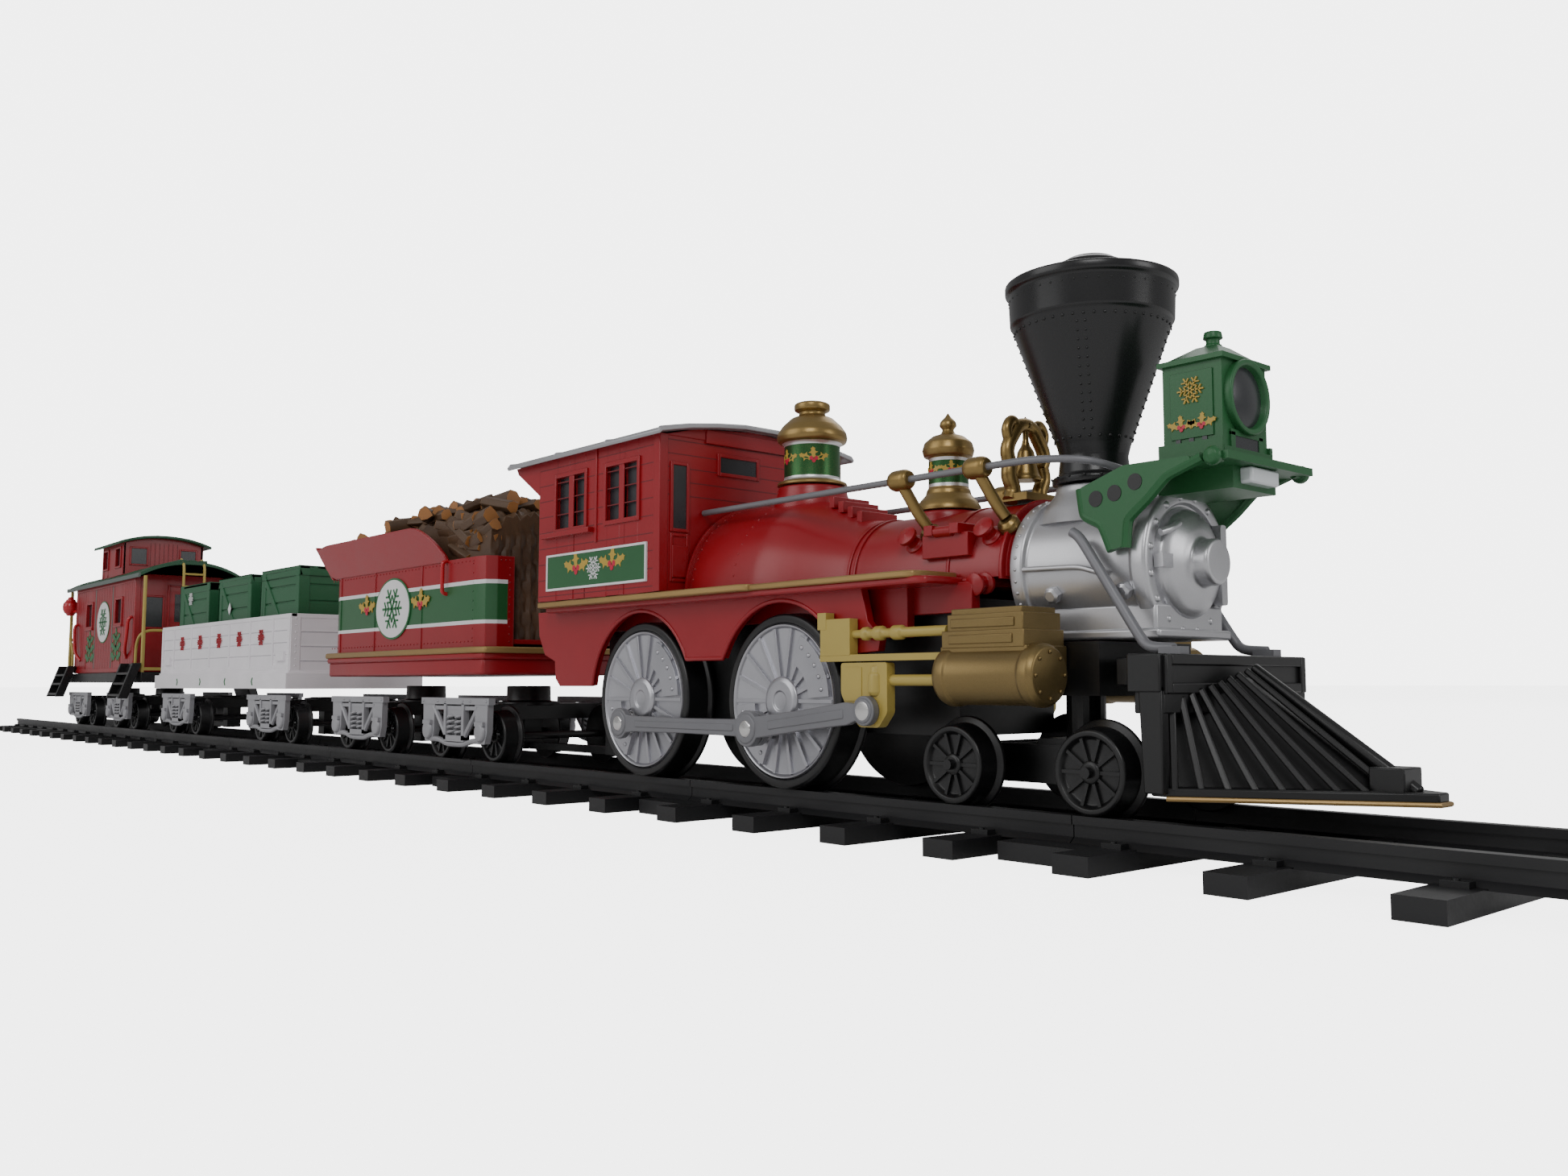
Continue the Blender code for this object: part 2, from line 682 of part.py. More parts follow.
def build_guide(name, side, parent):
    """The guide bar under the valve rod, with the rod's collars and its square end block."""
    reach = side_pair(side, SKIRT_OUTER + GAP, CROSSHEAD_OUTER)
    bar_top = box(loco_span((21.6, CYLINDER_X[0] - GAP)), reach, GUIDE_Z)
    block_reach = side_pair(side, SKIRT_OUTER + GAP, CROSSHEAD_OUTER)
    block = box(loco_span((21.6, 33.2)), block_reach, (GUIDE_Z[1] - 0.5, 57.8))
    centre_y = side * (CROSSHEAD_OUTER - COLLAR_DEPTH / 2)
    valve_rod = bar((loco(30), centre_y, VALVE_Z), (loco(CYLINDER_X[0] - GAP), centre_y, VALVE_Z), 1.25, 12)
    collars = []
    for place in (40.6, 49.6):
        collars.append(rod("X", (loco(place), centre_y, VALVE_Z), COLLAR_DEPTH / 2, 5.0, 12))
    node(name, fuse(bar_top, block, valve_rod, *collars), "gold_plastic", parent)


def build_cylinder(name, side, parent):
    """A cylinder under a stepped steam chest, one casting."""
    inner = CHASSIS_HALF_WIDTH + GAP
    barrel = rod("X", (loco(sum(CYLINDER_X) / 2), side * CYLINDER_Y, CYLINDER_Z), CYLINDER_RADIUS,
                 CYLINDER_X[1] - CYLINDER_X[0], 24)
    tiers = []
    for grow, low, high in ((0.0, 38.0, 49.2), (-1.0, 48.0, 53.3), (-2.6, 52.0, 58.4)):
        reach = side_pair(side, inner, CYLINDER_Y + 4.6 + grow)
        rear = CYLINDER_X[0] - grow
        front = CYLINDER_X[1] + grow - 1.0
        tiers.append(box(loco_span((rear, front)), reach, (low, high)))
    bore_end = loco(CROSSHEAD_PIN[0]) + 5.0 + PISTON_ROD_LENGTH + PISTON_STROKE + 1.0
    bore_start = loco(CYLINDER_X[0]) - 1.0
    bore = rod("X", ((bore_start + bore_end) / 2, side * PISTON_Y, PISTON_Z), PISTON_RADIUS + RUNNING_GAP,
               bore_end - bore_start, 10)
    node(name, cut(fuse(barrel, *tiers), bore), "brass_paint", parent)


def build_boiler(parent):
    """The boiler with its firebox, running boards, wheel skirts and rear wall."""
    profile = [
        (loco(CAB_X[1] + GAP), FIREBOX_RADIUS),
        (loco(-12.0), FIREBOX_RADIUS),
        (loco(16.0), BOILER_RADIUS + 0.6),
        (loco(20.0), BOILER_RADIUS),
        (loco(SMOKEBOX_X[0] - GAP), BOILER_RADIUS),
    ]
    barrel = turned(profile, "X", (0, 0, BOILER_Z), 22)
    below = box(loco_span((CAB_X[1] - 1, 20)), (-60, 60), (20, BOARD_Z[0]))
    barrel = cut(barrel, below)
    boards = extruded(board_outline(), "Z", BOARD_Z)
    skirts = [skirt(side) for side in (-1, 1)]
    bridge = box(loco_span((CAB_X[0] + 1.5, 20)), (-SKIRT_OUTER + 1, SKIRT_OUTER - 1),
                 (BOARD_Z[0] - 2.4, BOARD_Z[0] + 0.5))
    walls = []
    for side in (-1, 1):
        reach = side_pair(side, CHASSIS_HALF_WIDTH + GAP + 2.4, SKIRT_OUTER - SKIRT_THICKNESS - 3.4)
        walls.append(box(loco_span((29.5, 44.0)), reach, (50.0, BOARD_Z[1] - 0.5)))
    bases = []
    for place, radius, top in ((SAND_DOME_X, 11.2, 102.4), (STEAM_DOME_X, 8.0, 88.6)):
        height = top - BOILER_Z
        bases.append(rod("Z", (loco(place), 0, BOILER_Z + height / 2), radius, height, 24))
    shape = fuse(barrel, boards, bridge, *skirts, *bases, *walls)
    shape = cut(shape, motor_space())
    node("boiler", shape, "train_red", parent)


def motor_space():
    """The room under the boiler that the chassis and its motor fill."""
    reach = (-CHASSIS_HALF_WIDTH - GAP, CHASSIS_HALF_WIDTH + GAP)
    return box(loco_span((CAB_X[0] - 5, SMOKEBOX_X[0] - 6)), reach, (30, MOTOR_TOP + GAP))


MOTOR_TOP = 76.0


def board_outline():
    """Both running boards and the floor between them, seen from above."""
    rear, front = loco_span(BOARD_X)
    width = BOARD_HALF_WIDTH
    taper = 13.0
    right = [(front, -BOILER_RADIUS + 1.5), (front - 2, -BOILER_RADIUS - 3), (front - taper, -width + 1.2)]
    right += [(loco(-6.0), -width + 1.2), (loco(-7.0), -width), (rear + 3, -width), (rear, -width + 3)]
    return right + [(x, -y) for x, y in reversed(right)]


def skirt(side):
    """The side plate with an arch over each driving wheel and a tongue behind the last."""
    rear = loco(CAB_X[0] + 1.5)
    front = loco(34.0)
    low = 48.0
    tongue = 39.8
    top = BOARD_Z[0] + 0.5
    outline = [
        (rear, top), (rear, tongue + 4), (rear + 3, tongue), (loco(-100.8), tongue),
        (loco(-100.8), low), (front - 6, low), (front, low + 3), (front, top),
    ]
    reach = side_pair(side, SKIRT_OUTER - SKIRT_THICKNESS, SKIRT_OUTER)
    plate = extruded(outline, "Y", reach)
    arches = []
    for index in (0, 1):
        centre = driver_centre(index)
        arches.append(rod("Y", (centre[0], sum(reach) / 2, centre[2]), SKIRT_ARCH_RADIUS, 8, 24))
    return cut(plate, *arches)


def build_chassis(parent):
    """The black frame between the wheels, with axle slots, the motor hump and the rear drawbar."""
    width = (-CHASSIS_HALF_WIDTH, CHASSIS_HALF_WIDTH)
    low = RAIL_TOP + RUNNING_GAP + WHEEL_RADIUS + 6.55
    frame = box(loco_span(CHASSIS_X), width, (low, BOARD_Z[0] - 4.0))
    neck = box(loco_span((56.0, CYLINDER_X[1] + 6.0)), width, (37.6, SADDLE_Z - 0.8))
    post = box(loco_span((CYLINDER_X[1] - 4, CYLINDER_X[1] + 6.0)), width, (37.6, SADDLE_Z))
    hump = box(loco_span((-96.0, 8.0)), (-14.0, 14.0), (BOARD_Z[0] - 6.0, MOTOR_TOP))
    drawbar = box(loco_span((DRAWBAR_END, -100.0)), (-7.0, 7.0), (18.0, low + 1.0))
    slots = []
    for index in (0, 1):
        centre = driver_centre(index)
        slots.append(box((centre[0] - 3.4, centre[0] + 3.4), (-40, 40), (20.0, centre[2] + 3.4)))
    pony_room = box(loco_span((PONY_PIVOT - 7, PONY_PIVOT + 7)), (-7, 7), (30, 42.0))
    shape = fuse(frame, neck, post, hump, drawbar)
    node("chassis", cut(shape, *slots, pony_room), "frame_black", parent)


def build_smokebox(parent):
    """The silver smokebox with its door, hub cap and saddle block."""
    radius = SMOKEBOX_RADIUS
    rear, front = SMOKEBOX_X
    profile = [
        (loco(rear), 0), (loco(rear), radius + 1.5), (loco(rear + 3.5), radius + 1.5),
        (loco(rear + 3.5), radius - 0.4), (loco(front - 3.0), radius - 0.4),
        (loco(front - 3.0), radius), (loco(front), radius), (loco(front + 0.6), radius - 0.8),
        (loco(front + 0.6), 12.0), (loco(front + 2.6), 10.6), (loco(front + 4.4), 6.2),
        (loco(front + 6.0), 5.4), (loco(front + 8.7), 5.2), (loco(front + 8.7), 0),
    ]
    shell = turned(profile, "X", (0, 0, BOILER_Z), 18)
    reach = (-14.0, 14.0)
    saddle = box(loco_span((rear + 6.0, front + 3.0)), reach, (SADDLE_Z + GAP, BOILER_Z - 10.0))
    step = box(loco_span((rear + 5.0, front + 4.0)), (-15.0, 15.0), (SADDLE_Z + GAP, SADDLE_Z + 3.2))
    flare = turned([(BOILER_Z, 9.6), (88.0, 9.6), (STACK_Z[0] - GAP, 8.6)], "Z", (loco(STACK_X), 0, 0), 24)
    node("smokebox", fuse(shell, saddle, step, flare), "silver_paint", parent)


def build_stack(parent):
    """The funnel stack: flange, neck, cone, band, rim and the spark cap inside the rim."""
    low, high = STACK_Z
    profile = [
        (low, 0), (low, 10.4), (low + 2.4, 10.2), (low + 3.6, 8.6), (low + 7.4, 8.3), (low + 9.6, 9.1),
        (131.6, 20.3), (140.2, 20.7), (140.2, 21.6), (high, 21.6), (high, 19.4), (high - 1.6, 18.6),
        (high + 1.6, 11.0), (high + 3.4, 8.4), (high + 5.6, 8.2), (high + 7.6, 6.4), (high + 7.6, 0),
    ]
    node("stack", turned(profile, "Z", (loco(STACK_X), 0, 0), 18), "frame_black", parent)


def build_domes(parent):
    """The sand dome and the steam dome, turned on their own centres."""
    base = 102.4 + GAP
    sand = [
        (base, 0), (base, 11.0), (base + 1.5, 10.6), (base + 2.2, 9.4), (104.9, 9.0), (115.6, 8.7),
        (116.4, 10.6), (118.6, 11.1), (120.8, 9.6), (124.0, 6.8), (125.6, 4.6), (126.6, 5.6), (129.0, 5.4),
        (129.8, 3.6), (129.8, 0),
    ]
    node("sand_dome", turned(sand, "Z", (loco(SAND_DOME_X), 0, 0), 16), "brass_paint", parent)
    low = 88.6 + GAP
    steam = [
        (low, 0), (low, 9.2), (low + 3.2, 8.4), (94.0, 6.0), (96.2, 6.4), (97.0, 5.6), (103.6, 5.5),
        (104.4, 7.0), (107.6, 7.2), (110.4, 5.6), (111.2, 2.0), (113.0, 1.6), (114.6, 2.4), (117.2, 0),
    ]
    node("steam_dome", turned(steam, "Z", (loco(STEAM_DOME_X), 0, 0), 14), "brass_paint", parent)


def build_bell(parent):
    """The bell in its arched frame, on a saddle foot across the boiler."""
    centre_x = loco(BELL_X)
    foot_z = BOILER_Z + BOILER_RADIUS + GAP
    outer = [(-7.5, foot_z), (7.5, foot_z)] + arc((0, 102.6), 7.6, 0, 180, 10)
    frame = extruded([(y, z) for y, z in outer], "X", (centre_x - 2.2, centre_x + 2.2))
    inner = [(-4.4, foot_z + 4.2), (4.4, foot_z + 4.2)] + arc((0, 102.4), 5.2, 0, 180, 8)
    frame = cut(frame, extruded(inner, "X", (centre_x - 4, centre_x + 4)))
    foot = box((centre_x - 6.0, centre_x + 6.0), (-6.5, 6.5), (foot_z, foot_z + 2.0))
    bell = turned([(94.6, 4.0), (96.0, 3.6), (100.6, 2.2), (102.6, 1.4), (108.6, 1.2)], "Z",
                  (centre_x, 0, 0), 16)
    finial = turned([(109.0, 1.8), (110.6, 1.4), (111.6, 0)], "Z", (centre_x, 0, 0), 10)
    node("bell", fuse(frame, foot, bell, finial), "brass_paint", parent)


def build_lamp(parent):
    """The square headlamp on its bracket with two side arms."""
    rear, front = loco_span(LAMP_X)
    low, high = LAMP_Z
    middle = (rear + front) / 2
    reach = (-LAMP_HALF_WIDTH, LAMP_HALF_WIDTH)
    body = box((rear, front), reach, (low, high))
    roof = lofted([
        [(x, y, high - 0.5) for x, y in rounded_rectangle((rear - 0.8, front + 0.8),
                                                          (reach[0] - 0.8, reach[1] + 0.8), 0.6, 1)],
        [(x, y, high + 1.2) for x, y in rounded_rectangle((rear - 0.8, front + 0.8),
                                                          (reach[0] - 0.8, reach[1] + 0.8), 0.6, 1)],
        [(x, y, high + 4.2) for x, y in rounded_rectangle((middle - 3.0, middle + 3.0), (-3.4, 3.4), 0.6, 1)],
    ])
    chimney = turned([(high + 3, 2.0), (high + 4.4, 2.0), (high + 4.8, 2.8), (high + 6.4, 2.8),
                      (high + 7.0, 1.6), (high + 7.6, 0)], "Z", (middle, 0, 0), 16)
    lens_z = 106.6
    bezel = turned([(front - 1, 8.8), (front + 1.4, 8.8), (front + 1.4, 7.4), (front + 0.4, 6.6)], "X",
                   (0, 0, lens_z), 28)
    node("headlamp", fuse(body, roof, chimney, bezel), "train_green", parent)

    floor_z = low - GAP
    platform = box((rear - 3.0, front + 6.0), (-LAMP_HALF_WIDTH - 8.5, LAMP_HALF_WIDTH + 8.5),
                   (floor_z - 2.0, floor_z))
    neck = box((rear - 1.0, front + 2.0), (-9.5, 9.5), (BOILER_Z + 15.0, floor_z - 1.0))
    arms = []
    for side in (-1, 1):
        reach = side_pair(side, SMOKEBOX_RADIUS + 0.8, SMOKEBOX_RADIUS + 2.8)
        outline = [(loco(SMOKEBOX_X[1] - 13.5), 79.5), (loco(SMOKEBOX_X[1] - 6), 70.5),
                   (loco(SMOKEBOX_X[1] + 4.6), 76.5), (loco(SMOKEBOX_X[1] + 4.6), floor_z - 0.5),
                   (loco(SMOKEBOX_X[1] - 8), floor_z - 0.5)]
        arms.append(extruded(outline, "Y", reach))
    back = box(loco_span((SMOKEBOX_X[1] + 1.4, SMOKEBOX_X[1] + 4.6)),
               (-SMOKEBOX_RADIUS - 1.5, SMOKEBOX_RADIUS + 1.5), (83.0, floor_z - 1.0))
    shape = fuse(platform, neck, back, *arms)
    door = rod("X", (loco(SMOKEBOX_X[1] + 4), 0, BOILER_Z), 14.0, 12.0, 28)
    ring = rod("X", (loco(SMOKEBOX_X[1] - 4), 0, BOILER_Z), SMOKEBOX_RADIUS + GAP, 10.6, 32)
    node("lamp_bracket", cut(shape, door, ring), "train_green", parent)


def build_cab(parent):
    """The cab shell, its dark glazing and its grey roof."""
    x = loco_span(CAB_X)
    outer = (-CAB_HALF_WIDTH, CAB_HALF_WIDTH)
    shell = box(x, outer, CAB_Z)
    inside = box((x[0] - 5, x[1] - CAB_WALL), (outer[0] + CAB_WALL, outer[1] - CAB_WALL),
                 (CAB_Z[0] - 1, CAB_Z[1] - 2.0))
    windows = []
    through = CAB_HALF_WIDTH + 3
    for low, high in ((14.0, 21.6), (25.2, 32.6), (45.4, 53.2), (56.4, 63.8)):
        windows.append(box((x[0] + low, x[0] + high), (-through, through), (94.4, 112.4)))
    rear_wall = box((x[0], x[0] + CAB_WALL), (outer[0] + 1, outer[1] - 1), (CAB_Z[0], CAB_Z[1] - 1.0))
    doorway = box((x[0] - 2, x[0] + 5), (-15.0, 15.0), (CAB_Z[0] - 1, 108.0))
    shape = cut(shell, inside, *windows)
    shape = cut(fuse(shape, rear_wall), doorway, motor_space())
    node("cab", shape, "train_red", parent)

    liner_x = (x[0] + CAB_WALL + GAP, x[1] - CAB_WALL - GAP)
    edge = CAB_HALF_WIDTH - CAB_WALL - GAP
    liner = box(liner_x, (-edge, edge), (MOTOR_TOP + 4.0, CAB_Z[1] - 2.0 - GAP))
    hollow = box((liner_x[0] + 2, liner_x[1] - 2), (-edge + 2, edge - 2), (MOTOR_TOP, CAB_Z[1] - 5.0))
    node("cab_windows", cut(liner, hollow), "window_grey", parent)

    low = ROOF_EAVE_Z
    half = ROOF_HALF_WIDTH
    outline = [(-half, low - 0.8), (-half + 2, low - 0.2 + GAP), (-CAB_HALF_WIDTH, CAB_Z[1] + GAP),
               (CAB_HALF_WIDTH, CAB_Z[1] + GAP), (half - 2, low - 0.2 + GAP), (half, low - 0.8),
               (half, low + ROOF_THICKNESS - 1.0)]
    outline += [(half * 0.62, ROOF_RIDGE_Z - 1.3), (half * 0.25, ROOF_RIDGE_Z), (-half * 0.25, ROOF_RIDGE_Z),
                (-half * 0.62, ROOF_RIDGE_Z - 1.3), (-half, low + ROOF_THICKNESS - 1.0)]
    node("cab_roof", extruded(outline, "X", loco_span(ROOF_X)), "cab_roof_grey", parent)


def build_handrail(parent):
    """The rail from the cab along both sides, round the stack, on two posts a side."""
    radius = 0.9
    side_y = 21.6
    height = 95.2
    parts = []
    posts = (37.2, 66.2)
    front = loco(STACK_X - 2)
    turn_x = loco(STACK_X + 15.5)
    for side in (-1, 1):
        y = side * side_y
        parts.append(bar((loco(CAB_X[1] + GAP), y, height), (front, y, height), radius, 5))
        parts.append(bar((front - 0.3, y, height), (turn_x - 2.0, side * 14.0, height - 2.0), radius, 5))
        parts.append(bar((turn_x - 2.4, side * 14.4, height - 1.9), (turn_x, side * 5.0, height - 4.2), radius, 5))
        for place in posts:
            parts.append(rod("X", (loco(place), y, height), 2.3, 6.4, 8))
            foot_y = side * 13.6
            foot_z = BOILER_Z + math.sqrt(BOILER_RADIUS ** 2 - 13.6 ** 2) + 1.3
            parts.append(bar((loco(place + 2), foot_y, foot_z), (loco(place), y, height), 1.2, 5))
    parts.append(bar((turn_x, -5.6, height - 4.1), (turn_x, 5.6, height - 4.1), radius, 5))
    node("handrail", fuse(*parts), "brass_paint", parent)


def build_pilot(parent):
    """The beam with its recess, the ribbed cowcatcher wedge, its base plate and the nose block."""
    beam_x = (PILOT_X - 9.0, PILOT_X)
    width = (-PILOT_HALF_WIDTH, PILOT_HALF_WIDTH)
    beam = box(loco_span(beam_x), width, (38.6, PILOT_TOP))
    skirt_box = box(loco_span((PILOT_X - 8.0, PILOT_X - 0.6)), (width[0] + 1, width[1] - 1), (33.9, 40.0))
    deck_rear = CYLINDER_X[1] + 6.0 + GAP
    deck = box(loco_span((deck_rear, PILOT_X - 8.0)), (-17.0, 17.0), (40.0, PILOT_TOP - 0.6))
    base = extruded(
        [(loco(PILOT_X - 3), -27.0), (loco(PILOT_X - 3), 27.0), (loco(PILOT_TIP_X), 2.2),
         (loco(PILOT_TIP_X), -2.2)], "Z", PILOT_BASE_Z)
    core = lofted([
        [(loco(PILOT_X - 5), -17, 44.0), (loco(PILOT_X + 2.5), -3, 44.0),
         (loco(PILOT_X + 2.5), 3, 44.0), (loco(PILOT_X - 5), 17, 44.0)],
        [(loco(PILOT_X - 5), -22, 16.0), (loco(PILOT_TIP_X - 6), -1.5, 16.0),
         (loco(PILOT_TIP_X - 6), 1.5, 16.0), (loco(PILOT_X - 5), 22, 16.0)],
    ])
    ribs = []
    rib_count = 4
    for side in (-1, 1):
        for index in range(rib_count):
            share = (index + 0.5) / rib_count
            foot = Vector((loco(PILOT_X - 2), side * 26.0, PILOT_BASE_Z[1] - 0.6))
            nose = Vector((loco(PILOT_TIP_X - 3), 0, PILOT_BASE_Z[1] - 0.6))
            low = foot.lerp(nose, share)
            high_start = Vector((loco(PILOT_X - 3.5), side * 24.0, 37.5))
            high_end = Vector((loco(PILOT_X + 2.5), 0, 43.0))
            high = high_start.lerp(high_end, share)
            ribs.append(bar(low, high, 1.6, 5))
    ridge = bar((loco(PILOT_X + 2.8), 0, 43.0), (loco(PILOT_TIP_X - 3.5), 0, 17.6), 2.0, 6)
    block = box(loco_span((PILOT_TIP_X - 13.5, PILOT_TIP_X - 6.5)), (-4.5, 4.5), (17.5, 23.4))
    recess = box(loco_span((PILOT_X - 0.8, PILOT_X + 1)), (-PILOT_HALF_WIDTH + 4, PILOT_HALF_WIDTH - 4),
                 (41.2, PILOT_TOP - 2.6))
    shape = cut(fuse(beam, skirt_box, deck), recess)
    shape = fuse(shape, base, core, ridge, block, *ribs, *brace(-1), *brace(1))
    node("pilot", shape, "frame_black", parent)


def brace(side):
    """A rod from the smokebox side down to the pilot deck, with its foot on the beam."""
    y = side * 19.9
    top = (loco(SMOKEBOX_X[1] - 15.0), y, 74.5)
    middle = (loco(SMOKEBOX_X[1] + 1.0), y, 50.2)
    end = (loco(PILOT_X - 3.0), y, 48.7)
    foot = (loco(PILOT_X - 4.0), y, PILOT_TOP - 2.0)
    return [bar(top, middle, 1.25, 7), rod("Y", middle, 1.6, 2.6, 8), bar(middle, end, 1.25, 7),
            bar((foot[0], y, 49.0), foot, 2.0, 7)]


def build_pony(parent):
    """The pony truck under the smokebox: an inside frame on one post, with two wheelsets."""
    centre_x = loco(PONY_PIVOT)
    swivel = pivot("pony_swivel", (centre_x, 0, 36.0), parent)
    half = PONY_WHEELBASE / 2
    axle_z = RAIL_TOP + RUNNING_GAP + WHEEL_RADIUS
    frame = box((centre_x - half - 6, centre_x + half + 6), (-13.0, 13.0), (axle_z - 4.5, axle_z + 5.0))
    window = box((centre_x - half + 8, centre_x + half - 8), (-8.0, 8.0), (axle_z - 8, axle_z + 8))
    cross = box((centre_x - 6, centre_x + 6), (-12.0, 12.0), (axle_z + 1.0, axle_z + 6.5))
    post = rod("Z", (centre_x, 0, (axle_z + 6 + 41.4) / 2), 5.0, 41.4 - axle_z - 6, 20)
    holes = []
    for end in (-1, 1):
        holes.append(rod("Y", (centre_x + end * half, 0, axle_z), AXLE_RADIUS + RUNNING_GAP, 60, 10))
        reach = (centre_x + end * half - 3.4, centre_x + end * half + 3.4)
        holes.append(box(reach, (-9.0, 9.0), (axle_z - 8, axle_z + 8)))
    shape = fuse(cut(frame, window), cross, post)
    node("pony_truck", cut(shape, *holes), "frame_black", swivel)
    for index, end in enumerate((-1, 1)):
        build_small_wheelset(f"pony_wheelset_{index + 1}", centre_x + end * half, "frame_black", swivel)


def build_locomotive():
    """Everything that rolls on the locomotive's own wheels."""
    origin = pivot("locomotive_origin", (LOCO_X, 0, 0))
    build_chassis(origin)
    build_boiler(origin)
    build_smokebox(origin)
    build_stack(origin)
    build_domes(origin)
    build_bell(origin)
    build_lamp(origin)
    build_cab(origin)
    build_handrail(origin)
    build_pilot(origin)
    for side, word in ((-1, "right"), (1, "left")):
        build_cylinder(f"cylinder_{word}", side, origin)
        build_guide(f"guide_{word}", side, origin)
        build_crosshead(f"crosshead_{word}", side, origin)
    front = build_driver(0, "driver_front", origin)
    build_driver(1, "driver_rear", origin)
    for side, word in ((-1, "right"), (1, "left")):
        pins = (crank_pin(0), crank_pin(1))
        build_rod(f"side_rod_{word}", side, pins, SIDE_ROD_OUTER, SIDE_ROD_THICKNESS, 4.6, 2.2, pins, front)
        main_pins = (crank_pin(0), (loco(CROSSHEAD_PIN[0]), CROSSHEAD_PIN[1]))
        build_rod(f"main_rod_{word}", side, main_pins, MAIN_ROD_OUTER, MAIN_ROD_THICKNESS, 4.8, 1.9,
                  main_pins[:1], front)
    build_pony(origin)


# ---------------------------------------------------------------- tender


def tender_outline(half_length, half_width, radius):
    """The tank seen from above, with round front corners and square rear ones."""
    x0 = TENDER_X - half_length
    x1 = TENDER_X + half_length
    front = arc((x1 - radius, -half_width + radius), radius, 270, 360, 5)
    rear = [(x0, half_width), (x0, -half_width)]
    return front + [(x, -y) for x, y in reversed(front)] + rear


def build_tender_body(parent):
    """The tank with its stepped base and flared boards, open at the front for the wood."""
    lip = extruded(tender_outline(TENDER_LIP_HALF_LENGTH, TENDER_LIP_HALF_WIDTH, 5.0), "Z", TENDER_LIP_Z)
    base = extruded(tender_outline(TENDER_LIP_HALF_LENGTH - 2.4, TENDER_LIP_HALF_WIDTH - 1.6, 4.4), "Z",
                    (TENDER_BASE_Z + 4.0, TENDER_LIP_Z[0] + 0.5))
    foot = extruded(tender_outline(TENDER_LIP_HALF_LENGTH - 5.0, TENDER_LIP_HALF_WIDTH - 2.6, 4.0), "Z",
                    (TENDER_BASE_Z, TENDER_BASE_Z + 4.5))
    tank = extruded(tender_outline(TENDER_HALF_LENGTH, TENDER_HALF_WIDTH, 8.0), "Z",
                    (TENDER_LIP_Z[1] - 0.5, TENDER_TOP_Z))
    wall = 2.6
    pocket = box((TENDER_X - TENDER_HALF_LENGTH + wall, TENDER_X + TENDER_HALF_LENGTH + 2),
                 (-TENDER_LEG_INNER, TENDER_LEG_INNER), (TENDER_LIP_Z[1] + 1.2, TENDER_TOP_Z + 4))
    shelf = box((TENDER_X - TENDER_HALF_LENGTH + wall, TENDER_X + 30.0),
                (-TENDER_HALF_WIDTH + wall, TENDER_HALF_WIDTH - wall), (TENDER_TOP_Z - 12.0, TENDER_TOP_Z + 4))
    shape = cut(fuse(lip, base, foot, tank), pocket, shelf)
    node("tender_body", fuse(shape, flared_boards(), *bolster_seats(TENDER_X, TENDER_TRUCK, TENDER_BASE_Z)),
         "train_red", parent)


def bolster_seats(car_x, offset, base_z):
    """Round seats under a car that rest on its trucks' posts."""
    seats = []
    for end in (-1, 1):
        low = base_z - SEAT_HEIGHT
        seats.append(rod("Z", (car_x + end * offset, 0, low + (SEAT_HEIGHT + 0.5) / 2), 13.0,
                         SEAT_HEIGHT + 0.5, 24))
    return seats


SEAT_HEIGHT = 4.0


def flared_boards():
    """A U of boards that lean out at the sides and the rear, with rounded front ends."""
    wall = 2.2
    low_z = TENDER_TOP_Z - 0.5
    x0 = TENDER_X - TENDER_HALF_LENGTH
    front_low = TENDER_X + 43.5
    front_high = TENDER_X + 31.5
    half = TENDER_HALF_WIDTH
    outer_low = [(front_low, -half), (x0, -half), (x0, half), (front_low, half)]
    out = FLARE_OUT
    outer_high = [(front_high, -half - out), (x0 - out * 0.9, -half - out),
                  (x0 - out * 0.9, half + out), (front_high, half + out)]
    outside = lofted([[(x, y, low_z) for x, y in outer_low], [(x, y, FLARE_TOP_Z) for x, y in outer_high]])
    inner_low = [(front_low + 6, -half + wall), (x0 + wall, -half + wall),
                 (x0 + wall, half - wall), (front_low + 6, half - wall)]
    inner_high = [(front_low + 6, -half - out + wall), (x0 - out * 0.9 + wall, -half - out + wall),
                  (x0 - out * 0.9 + wall, half + out - wall), (front_low + 6, half + out - wall)]
    inside = lofted([[(x, y, low_z - 0.01) for x, y in inner_low],
                     [(x, y, FLARE_TOP_Z + 0.01) for x, y in inner_high]])
    return cut(outside, inside)


def build_tender_load(parent):
    """The heap of cut wood, one moulding that fills the tank's pocket and rises to the front."""
    wall = 2.6 + GAP
    x0 = TENDER_X - TENDER_HALF_LENGTH + wall
    x1 = TENDER_X + TENDER_HALF_LENGTH - 2.0
    inner = TENDER_LEG_INNER - GAP
    trunk = box((x0 + 1, x1), (-inner, inner), (TENDER_LIP_Z[1] + 1.2 + GAP, TENDER_TOP_Z))
    wide = TENDER_HALF_WIDTH - wall
    sections = []
    stations = ((x0, 104.0, 0.93), (x0 + 22, 110.0, 0.98), (TENDER_X, 115.0, 1.0),
                (TENDER_X + 34.0, LOAD_TOP_Z, 1.0), (TENDER_X + 58.0, LOAD_TOP_Z - 1, 0.97), (x1, 110.5, 0.8))
    for x, top, share in stations:
        half = wide * share
        low = TENDER_TOP_Z + GAP
        shoulder = low + (top - low) * 0.55
        sections.append([(x, -half, low), (x, half, low), (x, half, shoulder), (x, half * 0.55, top - 1.5),
                         (x, 0, top), (x, -half * 0.55, top - 1.5), (x, -half, shoulder)])
    heap = lofted(sections)
    link = box((x0 + 1, x1 - 1), (-inner, inner), (TENDER_TOP_Z - 1, TENDER_TOP_Z + 4))
    node("tender_load", fuse(heap, trunk, link), "wood_load", parent)


